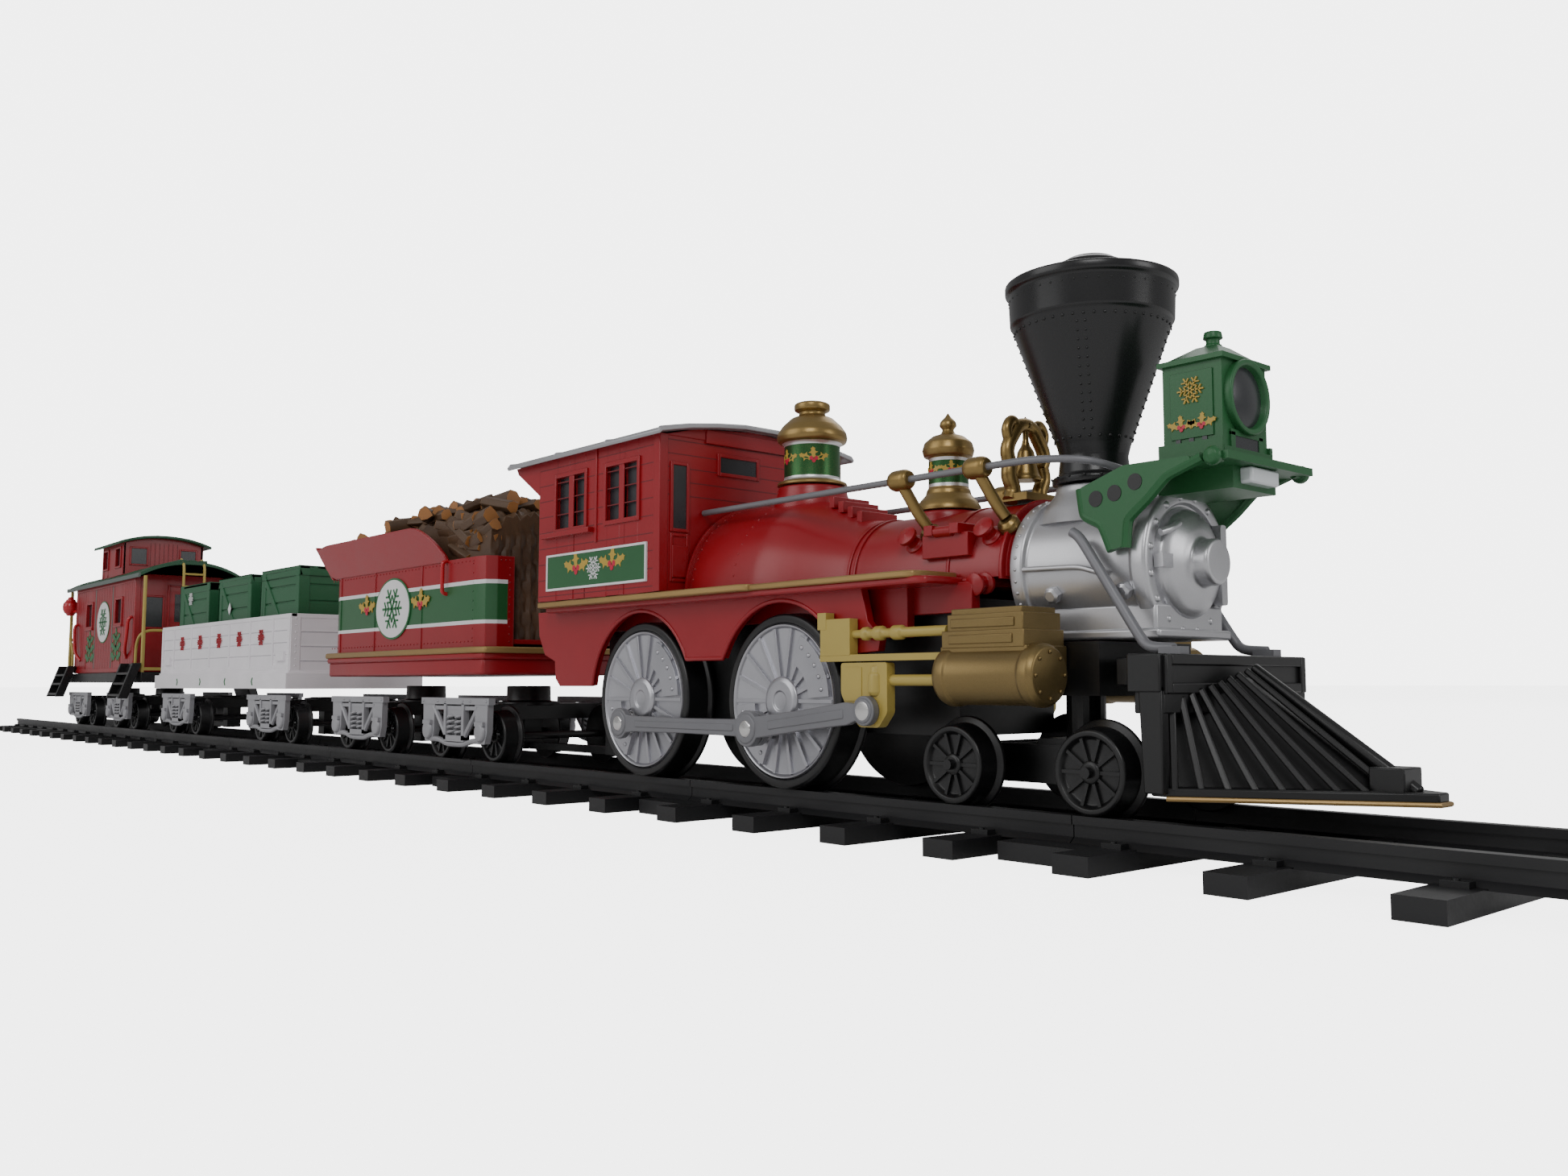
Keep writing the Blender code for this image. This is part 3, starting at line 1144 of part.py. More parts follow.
def build_tender():
    """The tender on two trucks, with a drawbar to the locomotive."""
    origin = pivot("tender_origin", (TENDER_X, 0, 0))
    build_tender_body(origin)
    build_tender_load(origin)
    post_top = TENDER_BASE_Z - SEAT_HEIGHT - GAP
    front_end = loco(DRAWBAR_END) - COUPLER_LENGTH_GAP
    rear_end = middle_of_gap(TENDER_X - TENDER_LIP_HALF_LENGTH, GONDOLA_X + GONDOLA_HALF_LENGTH)
    build_truck("tender_truck_front", TENDER_X, TENDER_TRUCK, post_top, front_end, origin)
    build_truck("tender_truck_rear", TENDER_X, -TENDER_TRUCK, post_top, rear_end + COUPLER_LENGTH_GAP / 2,
                origin)


def middle_of_gap(rear_of_front_car, front_of_rear_car):
    """Where two cars' couplers meet."""
    return (rear_of_front_car + front_of_rear_car) / 2


# ---------------------------------------------------------------- gondola


def build_gondola():
    """The white gondola, its three crates and its trucks."""
    origin = pivot("gondola_origin", (GONDOLA_X, 0, 0))
    x = (GONDOLA_X - GONDOLA_HALF_LENGTH, GONDOLA_X + GONDOLA_HALF_LENGTH)
    y = (-GONDOLA_HALF_WIDTH, GONDOLA_HALF_WIDTH)
    low, high = GONDOLA_Z
    out = GONDOLA_SILL_OUT
    body = box(x, y, (low + 1.0, high))
    sill = box((x[0] - out, x[1] + out), (y[0] - 1.0, y[1] + 1.0), (low, low + GONDOLA_SILL_HEIGHT))
    ribs = []
    rib_count = 9
    for index in range(rib_count):
        rib_x = x[0] + 6.0 + (x[1] - x[0] - 12.0) * index / (rib_count - 1)
        for side in (-1, 1):
            reach = side_pair(side, GONDOLA_HALF_WIDTH - 1, GONDOLA_HALF_WIDTH + 0.8)
            ribs.append(box((rib_x - 2.4, rib_x + 2.4), reach, (low + GONDOLA_SILL_HEIGHT - 1, high - 3.0)))
    wall = GONDOLA_WALL
    floor_z = low + GONDOLA_FLOOR
    hollow = box((x[0] + wall, x[1] - wall), (y[0] + wall, y[1] - wall), (floor_z, high + 2))
    shape = cut(fuse(body, sill, *ribs), hollow)
    seats = bolster_seats(GONDOLA_X, GONDOLA_TRUCK, low)
    node("gondola_body", fuse(shape, *seats), "car_white", origin)

    crates = []
    for index in (-1, 0, 1):
        centre = GONDOLA_X + index * CRATE_PITCH
        crates.append(box((centre - CRATE_LENGTH / 2, centre + CRATE_LENGTH / 2),
                          (-CRATE_HALF_WIDTH, CRATE_HALF_WIDTH), (floor_z + GAP, CRATE_TOP_Z)))
    tray = box((x[0] + wall + 1, x[1] - wall - 1), (-CRATE_HALF_WIDTH + 4, CRATE_HALF_WIDTH - 4),
               (floor_z + GAP, floor_z + 3.0))
    node("crates", fuse(tray, *crates), "train_green", origin)

    post_top = low - SEAT_HEIGHT - GAP
    front_end = middle_of_gap(TENDER_X - TENDER_LIP_HALF_LENGTH, GONDOLA_X + GONDOLA_HALF_LENGTH)
    rear_end = middle_of_gap(GONDOLA_X - GONDOLA_HALF_LENGTH, CABOOSE_X + CABOOSE_DECK_HALF_LENGTH)
    build_truck("gondola_truck_front", GONDOLA_X, GONDOLA_TRUCK, post_top,
                front_end - COUPLER_LENGTH_GAP / 2, origin)
    build_truck("gondola_truck_rear", GONDOLA_X, -GONDOLA_TRUCK, post_top,
                rear_end + COUPLER_LENGTH_GAP / 2, origin)


# ---------------------------------------------------------------- caboose


def roof_arc(half_width, eave_z, crown_z, grow):
    """The (y, z) points of a roof's arc across the car, grown outwards by a clearance."""
    rise = crown_z - eave_z
    radius = (half_width ** 2 + rise ** 2) / (2 * rise)
    spread = math.degrees(math.asin(half_width / radius))
    return arc((0, crown_z - radius), radius + grow, 90 - spread, 90 + spread, 10)


def curved_roof(x, half_width, eave_z, crown_z, thickness):
    """A curved plate the length of a car."""
    top = roof_arc(half_width, eave_z, crown_z, 0.0)
    return extruded(top + [(y, z - thickness) for y, z in reversed(top)], "X", x)


def build_caboose():
    """The caboose: body with end platforms, roof with cupola, railings and trucks."""
    origin = pivot("caboose_origin", (CABOOSE_X, 0, 0))
    x = (CABOOSE_X - CABOOSE_HALF_LENGTH, CABOOSE_X + CABOOSE_HALF_LENGTH)
    y = (-CABOOSE_HALF_WIDTH, CABOOSE_HALF_WIDTH)
    deck_low, deck_high = CABOOSE_DECK_Z
    ceiling = CABOOSE_EAVE_Z - ROOF_PLATE - GAP
    under = roof_arc(CABOOSE_ROOF_HALF_WIDTH, CABOOSE_EAVE_Z, CABOOSE_CROWN_Z, -ROOF_PLATE - GAP)
    crown = [(across, up) for across, up in under if abs(across) < CABOOSE_HALF_WIDTH]
    outline = [(y[0], deck_high + GAP), (y[1], deck_high + GAP), (y[1], ceiling + 0.5)]
    outline += crown + [(y[0], ceiling + 0.5)]
    body = extruded(outline, "X", x)
    room = box((x[0] + 3, x[1] - 3), (y[0] + 3, y[1] - 3), (deck_high - 2, ceiling - 6.0))
    windows = []
    for place in CABOOSE_WINDOWS:
        centre = CABOOSE_X + place
        windows.append(box((centre - 8.0, centre + 8.0), (y[0] - 2, y[1] + 2), (84.0, 100.5)))
    doors = box((x[0] - 2, x[1] + 2), (-8.0, 8.0), (deck_high + 4, 104.0))
    node("caboose_body", cut(body, room, doors, *windows), "train_red", origin)

    deck = box((CABOOSE_X - CABOOSE_DECK_HALF_LENGTH, CABOOSE_X + CABOOSE_DECK_HALF_LENGTH),
               (y[0] - 1.0, y[1] + 1.0), CABOOSE_DECK_Z)
    parts = bolster_seats(CABOOSE_X, CABOOSE_TRUCK, deck_low)
    for end in (-1, 1):
        for side in (-1, 1):
            parts.append(platform_step(end, side))
    node("caboose_deck", fuse(deck, *parts), "frame_black", origin)
    build_caboose_roof(origin)
    build_railings(origin)

    post_top = deck_low - SEAT_HEIGHT - GAP
    front_end = middle_of_gap(GONDOLA_X - GONDOLA_HALF_LENGTH, CABOOSE_X + CABOOSE_DECK_HALF_LENGTH)
    build_truck("caboose_truck_front", CABOOSE_X, CABOOSE_TRUCK, post_top,
                front_end - COUPLER_LENGTH_GAP / 2, origin)
    build_truck("caboose_truck_rear", CABOOSE_X, -CABOOSE_TRUCK, post_top,
                CABOOSE_X - CABOOSE_DECK_HALF_LENGTH - 6.0, origin)


ROOF_PLATE = 2.4


def platform_step(end, side):
    """A step box that hangs from a platform's end and leans out."""
    outer_x = CABOOSE_X + end * CABOOSE_DECK_HALF_LENGTH
    inner_x = outer_x - end * STEP_LENGTH
    rings = []
    for z, inner, outer in ((STEP_Z[0], 4.2, 9.0), (44.0, 0.4, 6.6), (STEP_Z[1], 0.4, 4.6)):
        near = side * (CABOOSE_HALF_WIDTH + inner)
        far = side * (CABOOSE_HALF_WIDTH + outer)
        rings.append([(inner_x, near, z), (outer_x, near, z), (outer_x, far, z), (inner_x, far, z)])
    return lofted(rings)


def build_caboose_roof(parent):
    """The main roof and the cupola under its own roof."""
    half = CABOOSE_ROOF_HALF_LENGTH
    main = curved_roof((CABOOSE_X - half, CABOOSE_X + half), CABOOSE_ROOF_HALF_WIDTH, CABOOSE_EAVE_Z,
                       CABOOSE_CROWN_Z, ROOF_PLATE)
    walk = box((CABOOSE_X - half - 1.0, CABOOSE_X + half + 1.0), (-9.0, 9.0),
               (CABOOSE_CROWN_Z - 2.0, CABOOSE_CROWN_Z + 1.4))
    node("caboose_roof", fuse(main, walk), "train_green", parent)

    x = (CABOOSE_X + CUPOLA_X[0], CABOOSE_X + CUPOLA_X[1])
    low = CABOOSE_CROWN_Z + 1.4 + GAP
    walls = box(x, (-CUPOLA_HALF_WIDTH, CUPOLA_HALF_WIDTH), (CABOOSE_EAVE_Z, CUPOLA_EAVE_Z + 2.0))
    top = roof_arc(CABOOSE_ROOF_HALF_WIDTH, CABOOSE_EAVE_Z, CABOOSE_CROWN_Z, GAP)
    saddle = extruded(top + [(-50, CABOOSE_EAVE_Z - 9), (50, CABOOSE_EAVE_Z - 9)], "X", (x[0] - 3, x[1] + 3))
    hall = box((x[0] - 3, x[1] + 3), (-9.0 - GAP, 9.0 + GAP), (CABOOSE_CROWN_Z - 4, low))
    room = box((x[0] + 3, x[1] - 3), (-CUPOLA_HALF_WIDTH + 3, CUPOLA_HALF_WIDTH - 3),
               (CABOOSE_EAVE_Z - 4, CUPOLA_EAVE_Z - 1.0))
    windows = []
    for centre in (x[0] + 14.0, x[1] - 14.0):
        windows.append(box((centre - 5.0, centre + 5.0), (-40, 40), (128.5, 139.5)))
    for centre in (-16.0, 16.0):
        windows.append(box((x[0] - 2, x[1] + 2), (centre - 6.0, centre + 6.0), (127.5, 139.5)))
    shape = cut(walls, saddle, hall, room, *windows)
    roof = curved_roof((x[0] - 9.0, x[1] + 6.0), CUPOLA_HALF_WIDTH + 4.0, CUPOLA_EAVE_Z, CUPOLA_CROWN_Z, 2.0)
    node("cupola", fuse(shape, roof), "train_red", parent)


def build_railings(parent):
    """The gold end railing on each platform: posts, a bent top rail, a ladder and a brake wheel."""
    for end, word in ((-1, "rear"), (1, "front")):
        deck_x = CABOOSE_X + end * (CABOOSE_DECK_HALF_LENGTH - 3.5)
        floor_z = CABOOSE_DECK_Z[1] + GAP
        post_top = CABOOSE_EAVE_Z - ROOF_PLATE - GAP
        parts = [box((deck_x - 1.0, deck_x + 1.0), (-27.5, 27.5), (floor_z, floor_z + 2.6))]
        for side in (-1, 1):
            parts.append(box((deck_x - 1.2, deck_x + 1.2), side_pair(side, 25.2, 28.0), (floor_z, post_top)))
            parts.append(box((deck_x - 0.9, deck_x + 0.9), side_pair(side, 8.0, 26.0), (77.0, 79.4)))
            ladder_top = CABOOSE_CROWN_Z - ROOF_PLATE - 4.0
            parts.append(box((deck_x - 1.0, deck_x + 1.0), side_pair(side, 6.2, 8.6), (floor_z, ladder_top)))
        for z in (66.0, 79.0, 92.0, 105.0):
            parts.append(box((deck_x - 0.8, deck_x + 0.8), (-7.5, 7.5), (z, z + 1.8)))
        parts.append(bar((deck_x, -17.0, floor_z + 1), (deck_x, -17.0, 84.0), 1.0, 8))
        parts.append(rod("Z", (deck_x, -17.0, 84.4), 7.0, 1.6, 20))
        node(f"railing_{word}", fuse(*parts), "gold_plastic", parent)


# ---------------------------------------------------------------- the whole set


def build():
    """Builds the set from nothing."""
    clear_scene()
    build_track(pivot("track_origin", (0, 0, 0)))
    build_locomotive()
    build_tender()
    build_gondola()
    build_caboose()
    bpy.context.view_layer.update()


build()
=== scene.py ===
# %% [markdown]
# # A battery train set
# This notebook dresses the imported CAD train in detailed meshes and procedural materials. Every shape
# below is a formula on a grid of points, worked out in millimetres and turned into metres at the end.

# %% Load the frame
import math

import bmesh
import bpy
import numpy as np
from mathutils import Matrix, Vector


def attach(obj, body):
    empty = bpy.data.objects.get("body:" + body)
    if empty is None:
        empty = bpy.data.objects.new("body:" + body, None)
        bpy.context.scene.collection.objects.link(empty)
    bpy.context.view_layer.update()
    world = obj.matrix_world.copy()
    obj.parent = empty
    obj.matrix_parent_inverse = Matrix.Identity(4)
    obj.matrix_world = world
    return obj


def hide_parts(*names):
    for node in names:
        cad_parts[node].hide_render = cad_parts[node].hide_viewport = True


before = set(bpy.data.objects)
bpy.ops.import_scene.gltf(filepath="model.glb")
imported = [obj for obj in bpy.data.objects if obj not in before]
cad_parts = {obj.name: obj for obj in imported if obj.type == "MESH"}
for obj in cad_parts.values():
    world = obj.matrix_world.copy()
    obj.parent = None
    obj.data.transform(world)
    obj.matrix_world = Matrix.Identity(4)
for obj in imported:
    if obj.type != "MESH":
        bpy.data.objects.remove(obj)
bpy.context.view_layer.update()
MM = 0.001

# %% [markdown]
# ## Shapes
# A `Shape` is points and faces. Shapes add up with `+`, and can be copied to many places at once.

# %% Shape class


class Shape:
    """Points in millimetres, and faces as arrays with one row per face."""

    def __init__(self, points, faces):
        self.points = np.asarray(points, float).reshape(-1, 3)
        self.faces = faces

    def __add__(self, other):
        shift = len(self.points)
        return Shape(np.vstack([self.points, other.points]), self.faces + [f + shift for f in other.faces])

    def __radd__(self, other):
        return self if other == 0 else other + self

    def moved(self, x=0.0, y=0.0, z=0.0):
        """The shape in another place."""
        return Shape(self.points + np.array([x, y, z]), self.faces)

    def scaled(self, x=1.0, y=1.0, z=1.0):
        """The shape stretched about the origin."""
        return Shape(self.points * np.array([x, y, z]), self.faces)

    def turned(self, axis, degrees, centre=(0, 0, 0)):
        """The shape turned about an axis through a centre."""
        matrix = np.array(Matrix.Rotation(math.radians(degrees), 3, axis))
        return Shape((self.points - centre) @ matrix.T + centre, self.faces)

    def other_side(self):
        """The mirror image across the middle plane."""
        return Shape(self.points * np.array([1, -1, 1]), self.faces)

    def both(self):
        """The shape and its mirror image."""
        return self + self.other_side()

    def at(self, offsets, turns=None):
        """Copies at many offsets, each turned by its own 3 by 3 matrix if given."""
        offsets = np.asarray(offsets, float).reshape(-1, 3)
        count = len(offsets)
        if turns is None:
            turns = np.broadcast_to(np.eye(3), (count, 3, 3))
        points = np.einsum("nij,pj->npi", turns, self.points) + offsets[:, None]
        shift = (np.arange(count) * len(self.points))[:, None, None]
        faces = [(f[None] + shift).reshape(-1, f.shape[1]) for f in self.faces]
        return Shape(points, faces)


def grid(points, wrap=False, caps=False):
    """Quads over a grid of points (rows, columns, 3). Wrap joins the last column to the first."""
    rows, columns = points.shape[:2]
    index = np.arange(rows * columns).reshape(rows, columns)
    here = index if wrap else index[:, :-1]
    after = np.roll(index, -1, axis=1) if wrap else index[:, 1:]
    quads = np.stack([here[:-1], after[:-1], after[1:], here[1:]], axis=-1).reshape(-1, 4)
    faces = [quads]
    if caps:
        faces += [index[0][::-1][None], index[-1][None]]
    return Shape(points, faces)


def fillet(corners, radius, closed=False):
    """Rounds each corner P with the curve 1/4 A + 1/2 P + 1/4 B between points A and B beside it."""
    p = np.asarray(corners, float)
    before, after = np.roll(p, 1, axis=0), np.roll(p, -1, axis=0)
    if not closed:
        before[0], after[-1] = p[0], p[-1]

    def toward(q):
        gap = q - p
        length = np.linalg.norm(gap, axis=1, keepdims=True)
        return p + gap * np.minimum(radius / np.maximum(length, 1e-9), 0.42)

    a, b = toward(before), toward(after)
    return np.stack([a, (a + 2 * p + b) / 4, b], axis=1).reshape(-1, p.shape[1])


AXES = {"X": (0, 1, 2), "Y": (1, 0, 2), "Z": (2, 0, 1)}


def lathe(profile, axis="Z", centre=(0, 0, 0), segments=64, soften=0.25):
    """Turns (along, radius) points: (a, r cos t, r sin t) for t round the axis."""
    line = fillet(profile, soften) if soften else np.asarray(profile, float)
    t = np.linspace(0, 2 * np.pi, segments, endpoint=False)
    along, radius = line[:, 0][:, None], line[:, 1][:, None]
    out = np.zeros((len(line), segments, 3))
    main, first, second = AXES[axis]
    out[..., main] = along + 0 * t
    out[..., first] = radius * np.cos(t)
    out[..., second] = radius * np.sin(t)
    return grid(out + np.array(centre), wrap=True, caps=True)


def prism(outline, axis, low, high, soften=0.0):
    """A flat outline in the two other axes, in X, Y, Z order, carried from low to high."""
    edge = fillet(outline, soften, closed=True) if soften else np.asarray(outline, float)
    out = np.zeros((2, len(edge), 3))
    main, first, second = AXES[axis]
    out[0, :, main], out[1, :, main] = low, high
    out[..., first], out[..., second] = edge[:, 0], edge[:, 1]
    return grid(out, wrap=True, caps=True)


def block(x, y, z):
    """A box between three (low, high) pairs."""
    return prism([(x[0], y[0]), (x[1], y[0]), (x[1], y[1]), (x[0], y[1])], "Z", z[0], z[1])


def loft(sections):
    """A skin through rings of points, closed at both ends."""
    return grid(np.asarray(sections, float), wrap=True, caps=True)


def tube(path, radius, segments=12, soften=0.0):
    """A round tube: each ring is c + r (n cos t + b sin t) about a point c of the path."""
    line = np.asarray(path, float)
    for _ in range(3 if soften else 0):
        line = np.vstack([line[:1], fillet(line, soften)[1:-1], line[-1:]])
    keep = np.r_[True, np.linalg.norm(np.diff(line, axis=0), axis=1) > 1e-4]
    line = line[keep]
    tangent = np.gradient(line, axis=0)
    tangent /= np.linalg.norm(tangent, axis=1, keepdims=True)
    overall = np.abs(line[-1] - line[0]) + np.abs(tangent).sum(axis=0) * 1e-3
    reference = np.eye(3)[np.argmin(overall + np.abs(tangent).sum(axis=0))]
    normal = np.cross(tangent, reference)
    normal /= np.linalg.norm(normal, axis=1, keepdims=True)
    binormal = np.cross(tangent, normal)
    t = np.linspace(0, 2 * np.pi, segments, endpoint=False)
    size = np.broadcast_to(radius, (len(line),))[:, None, None]
    ring = normal[:, None] * np.cos(t)[None, :, None] + binormal[:, None] * np.sin(t)[None, :, None]
    return grid(line[:, None] + size * ring, wrap=True, caps=True)


def facing(normals):
    """Rotation matrices that carry +Z onto each normal."""
    n = np.asarray(normals, float)
    n = n / np.linalg.norm(n, axis=1, keepdims=True)
    helper = np.where(np.abs(n[:, 2:3]) > 0.9, [[1.0, 0, 0]], [[0, 0, 1.0]])
    a = np.cross(helper, n)
    a /= np.linalg.norm(a, axis=1, keepdims=True)
    return np.stack([a, np.cross(n, a), n], axis=-1)


def rivets(places, normals, radius=0.45, height=0.3):
    """Small domes: (r cos u cos t, r cos u sin t, h sin u) on each place."""
    u = np.linspace(0, np.pi / 2 * 0.96, 4)[:, None]
    t = np.linspace(0, 2 * np.pi, 8, endpoint=False)
    ring = np.stack([radius * np.cos(u) * np.cos(t), radius * np.cos(u) * np.sin(t),
                     height * np.sin(u) - 0.05 + 0 * t], axis=-1)
    places = np.asarray(places, float).reshape(-1, 3)
    normals = np.broadcast_to(np.asarray(normals, float), places.shape)
    return grid(ring, wrap=True, caps=True).at(places, facing(normals))


def line_of(start, end, count):
    """Evenly spaced points between two ends."""
    return np.linspace(start, end, count)


def ring_of(axis, centre, radius, count, phase=0.0, start=0.0, stop=360.0):
    """Points round a circle and the directions that point out from its axis."""
    t = np.radians(phase + np.linspace(start, stop, count, endpoint=stop - start < 359.9))
    _, first, second = AXES[axis]
    out = np.zeros((count, 3))
    out[:, first], out[:, second] = np.cos(t), np.sin(t)
    return out * radius + np.array(centre), out


# %% [markdown]
# ## Shader arithmetic
# `Value` wraps a socket, so that a shader formula reads like ordinary arithmetic.

# %% Value class


class Value:
    """A socket that can be added, multiplied and compared."""

    def __init__(self, socket):
        self.socket = socket

    def node(self, kind, settings, inputs, output=0):
        """A new node of any kind: settings first, then its sockets by number or name."""
        new = self.socket.id_data.nodes.new(kind)
        for key, value in settings.items():
            setattr(new, key, value)
        for key, value in inputs.items():
            if isinstance(value, Value):
                self.socket.id_data.links.new(value.socket, new.inputs[key])
            else:
                new.inputs[key].default_value = value
        return Value(new.outputs[output])

    def math(self, operation, first, second=0.0):
        """One Math node."""
        return self.node("ShaderNodeMath", {"operation": operation}, {0: first, 1: second})

    def __add__(self, other):
        return self.math("ADD", self, other)

    __radd__ = __add__

    def __mul__(self, other):
        return self.math("MULTIPLY", self, other)

    __rmul__ = __mul__

    def __sub__(self, other):
        return self.math("SUBTRACT", self, other)

    def __rsub__(self, other):
        return self.math("SUBTRACT", other, self)

    def __truediv__(self, other):
        return self.math("DIVIDE", self, other)

    def __rtruediv__(self, other):
        return self.math("DIVIDE", other, self)

    def __gt__(self, other):
        return self.math("GREATER_THAN", self, other)

    def __lt__(self, other):
        return self.math("LESS_THAN", self, other)

    def between(self, low, high):
        """1 inside the range, 0 outside."""
        return (self > low) * (self < high)

    def blend(self, first, second):
        """Mixes two colours, with this value as the share of the second."""
        settings = {"data_type": "RGBA"}
        return self.node("ShaderNodeMix", settings, {0: self, 6: first, 7: second}, output=2)


def rgba(colour):
    """A colour with its alpha."""
    return (*colour, 1.0)


def noise(space, scale, detail=3.0, roughness=0.55):
    """Fractal noise about 0.5, at a scale per millimetre."""
    return space.node("ShaderNodeTexNoise", {}, {"Vector": space, "Scale": scale, "Detail": detail,
                                                 "Roughness": roughness})


def material(name, colour, roughness, metallic=0.0, coat=0.0, variation=0.10, grain=0.04, grain_scale=2.2,
             flake=0.0, streak=(1, 1, 1), paint=None):
    """A Principled material whose colour, roughness and bump vary over the object's own coordinates."""
    made = bpy.data.materials.new(name)
    made.use_nodes = True
    tree = made.node_tree
    shader = tree.nodes["Principled BSDF"]
    source = Value(tree.nodes.new("ShaderNodeTexCoord").outputs["Object"])
    space = source.node("ShaderNodeVectorMath", {"operation": "SCALE"}, {0: source, "Scale": 1000.0})
    stretched = space.node("ShaderNodeVectorMath", {"operation": "MULTIPLY"}, {0: space, 1: streak})
    broad = noise(stretched, 0.06, 4.0)
    fine = noise(stretched, grain_scale, 3.0)
    dark = tuple(c * (1 - variation) for c in colour)
    light = tuple(min(1.0, c * (1 + variation) + variation * 0.012) for c in colour)
    base = broad.blend(rgba(dark), rgba(light))
    rough = roughness + (broad - 0.5) * 0.16 + (fine - 0.5) * 0.12
    if paint:
        base = paint(space, base)
    height = fine * grain
    if flake:
        cells = space.node("ShaderNodeTexVoronoi", {}, {"Vector": space, "Scale": 5.5}, output=0)
        sparkle = cells.math("POWER", 1.0 - cells, 3.0)
        base = (sparkle * flake).blend(base, rgba(tuple(min(1.0, c * 1.7 + 0.05) for c in colour)))
        height = height + cells * 0.02
    bump = space.node("ShaderNodeBump", {}, {"Strength": 0.35, "Distance": 0.0002, "Height": height})
    links = tree.links
    links.new(base.socket, shader.inputs["Base Color"])
    links.new(rough.socket, shader.inputs["Roughness"])
    links.new(bump.socket, shader.inputs["Normal"])
    shader.inputs["Metallic"].default_value = metallic
    shader.inputs["Coat Weight"].default_value = coat
    shader.inputs["Coat Roughness"].default_value = 0.2
    made.diffuse_color = rgba(colour)
    return made


# %% [markdown]
# ## Finishes
# Moulded plastics get a fine grain. Metallic paints get flakes. Striped pieces paint their bands by
# height, so a stripe stays level all round.

# %% Colours and materials
RED = (0.31, 0.004, 0.010)
GREEN = (0.018, 0.115, 0.035)
WHITE = (0.80, 0.79, 0.80)
BLACK = (0.0055, 0.0055, 0.006)
BRONZE = (0.235, 0.165, 0.065)


def axis_of(space, number):
    """One coordinate of a vector, in millimetres."""
    return space.node("ShaderNodeSeparateXYZ", {}, {0: space}, output=number)


def bands(*stripes):
    """A paint job: each stripe is (low z, high z, colour), later ones on top."""
    def paint(space, base):
        z = axis_of(space, 2)
        for low, high, colour in stripes:
            base = z.between(low, high).blend(base, rgba(colour))
        return base
    return paint


def tender_paint(space, base):
    """Green between two white lines, round the sides and a little way onto the front."""
    z, y = axis_of(space, 2), axis_of(space, 1)
    width = y.math("ABSOLUTE", y) > 25.4
    white = z.between(63.9, 81.0) * width
    green = z.between(65.4, 79.4) * width
    return green.blend(white.blend(base, rgba(WHITE)), rgba(GREEN))


red = material("red_plastic", RED, 0.34, coat=0.15)
red_tender = material("red_tender", RED, 0.34, coat=0.15, paint=tender_paint)
bright_red = material("bright_red", (0.48, 0.006, 0.014), 0.28, coat=0.3)
green = material("green_plastic", GREEN, 0.40, grain=0.07)
green_roof = material("green_roof", (0.016, 0.085, 0.038), 0.5, grain=0.12, grain_scale=1.4)
crate_green = material("crate_green", (0.018, 0.115, 0.045), 0.45, grain=0.10, streak=(0.2, 1, 1))
black = material("black_plastic", BLACK, 0.36, coat=0.08)
track_black = material("track_plastic", (0.010, 0.010, 0.011), 0.42, grain=0.08, grain_scale=1.2)
stack_black = material("stack_black", (0.008, 0.008, 0.009), 0.30, coat=0.12)
silver = material("silver_paint", (0.55, 0.55, 0.57), 0.34, metallic=0.75, flake=0.25)
wheel_silver = material("wheel_silver", (0.46, 0.46, 0.49), 0.32, metallic=0.85, flake=0.2)
light_grey = material("light_grey", (0.36, 0.36, 0.38), 0.42, metallic=0.15)
rod_grey = material("rod_grey", (0.20, 0.20, 0.215), 0.42, metallic=0.25)
roof_grey = material("roof_grey", (0.42, 0.42, 0.44), 0.40, metallic=0.4, flake=0.15)
bronze = material("bronze_paint", BRONZE, 0.38, metallic=0.8, flake=0.35)
dome_bronze = material("dome_bronze", (0.30, 0.20, 0.07), 0.34, metallic=0.85, flake=0.3)
gold = material("gold_plastic", (0.46, 0.35, 0.085), 0.36, coat=0.1)
gold_edge = material("gold_edge", (0.36, 0.23, 0.085), 0.40, metallic=0.5)
chrome = material("chrome_pin", (0.70, 0.69, 0.68), 0.22, metallic=1.0, grain=0.02)
dark_pane = material("dark_pane", (0.022, 0.024, 0.028), 0.30, coat=0.2)
white = material("white_plastic", (0.86, 0.83, 0.86), 0.45, grain=0.06)
white_paint = material("white_paint", WHITE, 0.42)
leaf_gold = material("leaf_gold", (0.50, 0.33, 0.05), 0.4)
leaf_green = material("leaf_green", (0.02, 0.16, 0.05), 0.42)
berry_red = material("berry_red", (0.55, 0.015, 0.05), 0.35)
wood = material("wood_bark", (0.085, 0.042, 0.016), 0.55, variation=0.7, grain=0.5, grain_scale=0.9,
                streak=(0.15, 1, 1), coat=0.1)
wood_cut = material("wood_cut", (0.34, 0.14, 0.035), 0.5, variation=0.45, grain=0.4, grain_scale=1.2,
                    streak=(1, 1, 1))
lamp_clear = material("lamp_clear", (0.75, 0.78, 0.80), 0.08, coat=0.6, variation=0.05)

sand_paint = material("sand_dome_paint", (0.30, 0.20, 0.07), 0.34, metallic=0.75, flake=0.3,
                      paint=bands((104.2, 116.2, WHITE), (105.3, 115.1, GREEN)))
steam_paint = material("steam_dome_paint", (0.30, 0.20, 0.07), 0.34, metallic=0.75, flake=0.3,
                       paint=bands((95.6, 103.8, WHITE), (96.5, 102.9, GREEN)))

# %% [markdown]
# ## Making a piece
# A piece turns its shape into a mesh in metres, rounds its edges, and rides on a CAD body.

# %% Piece maker


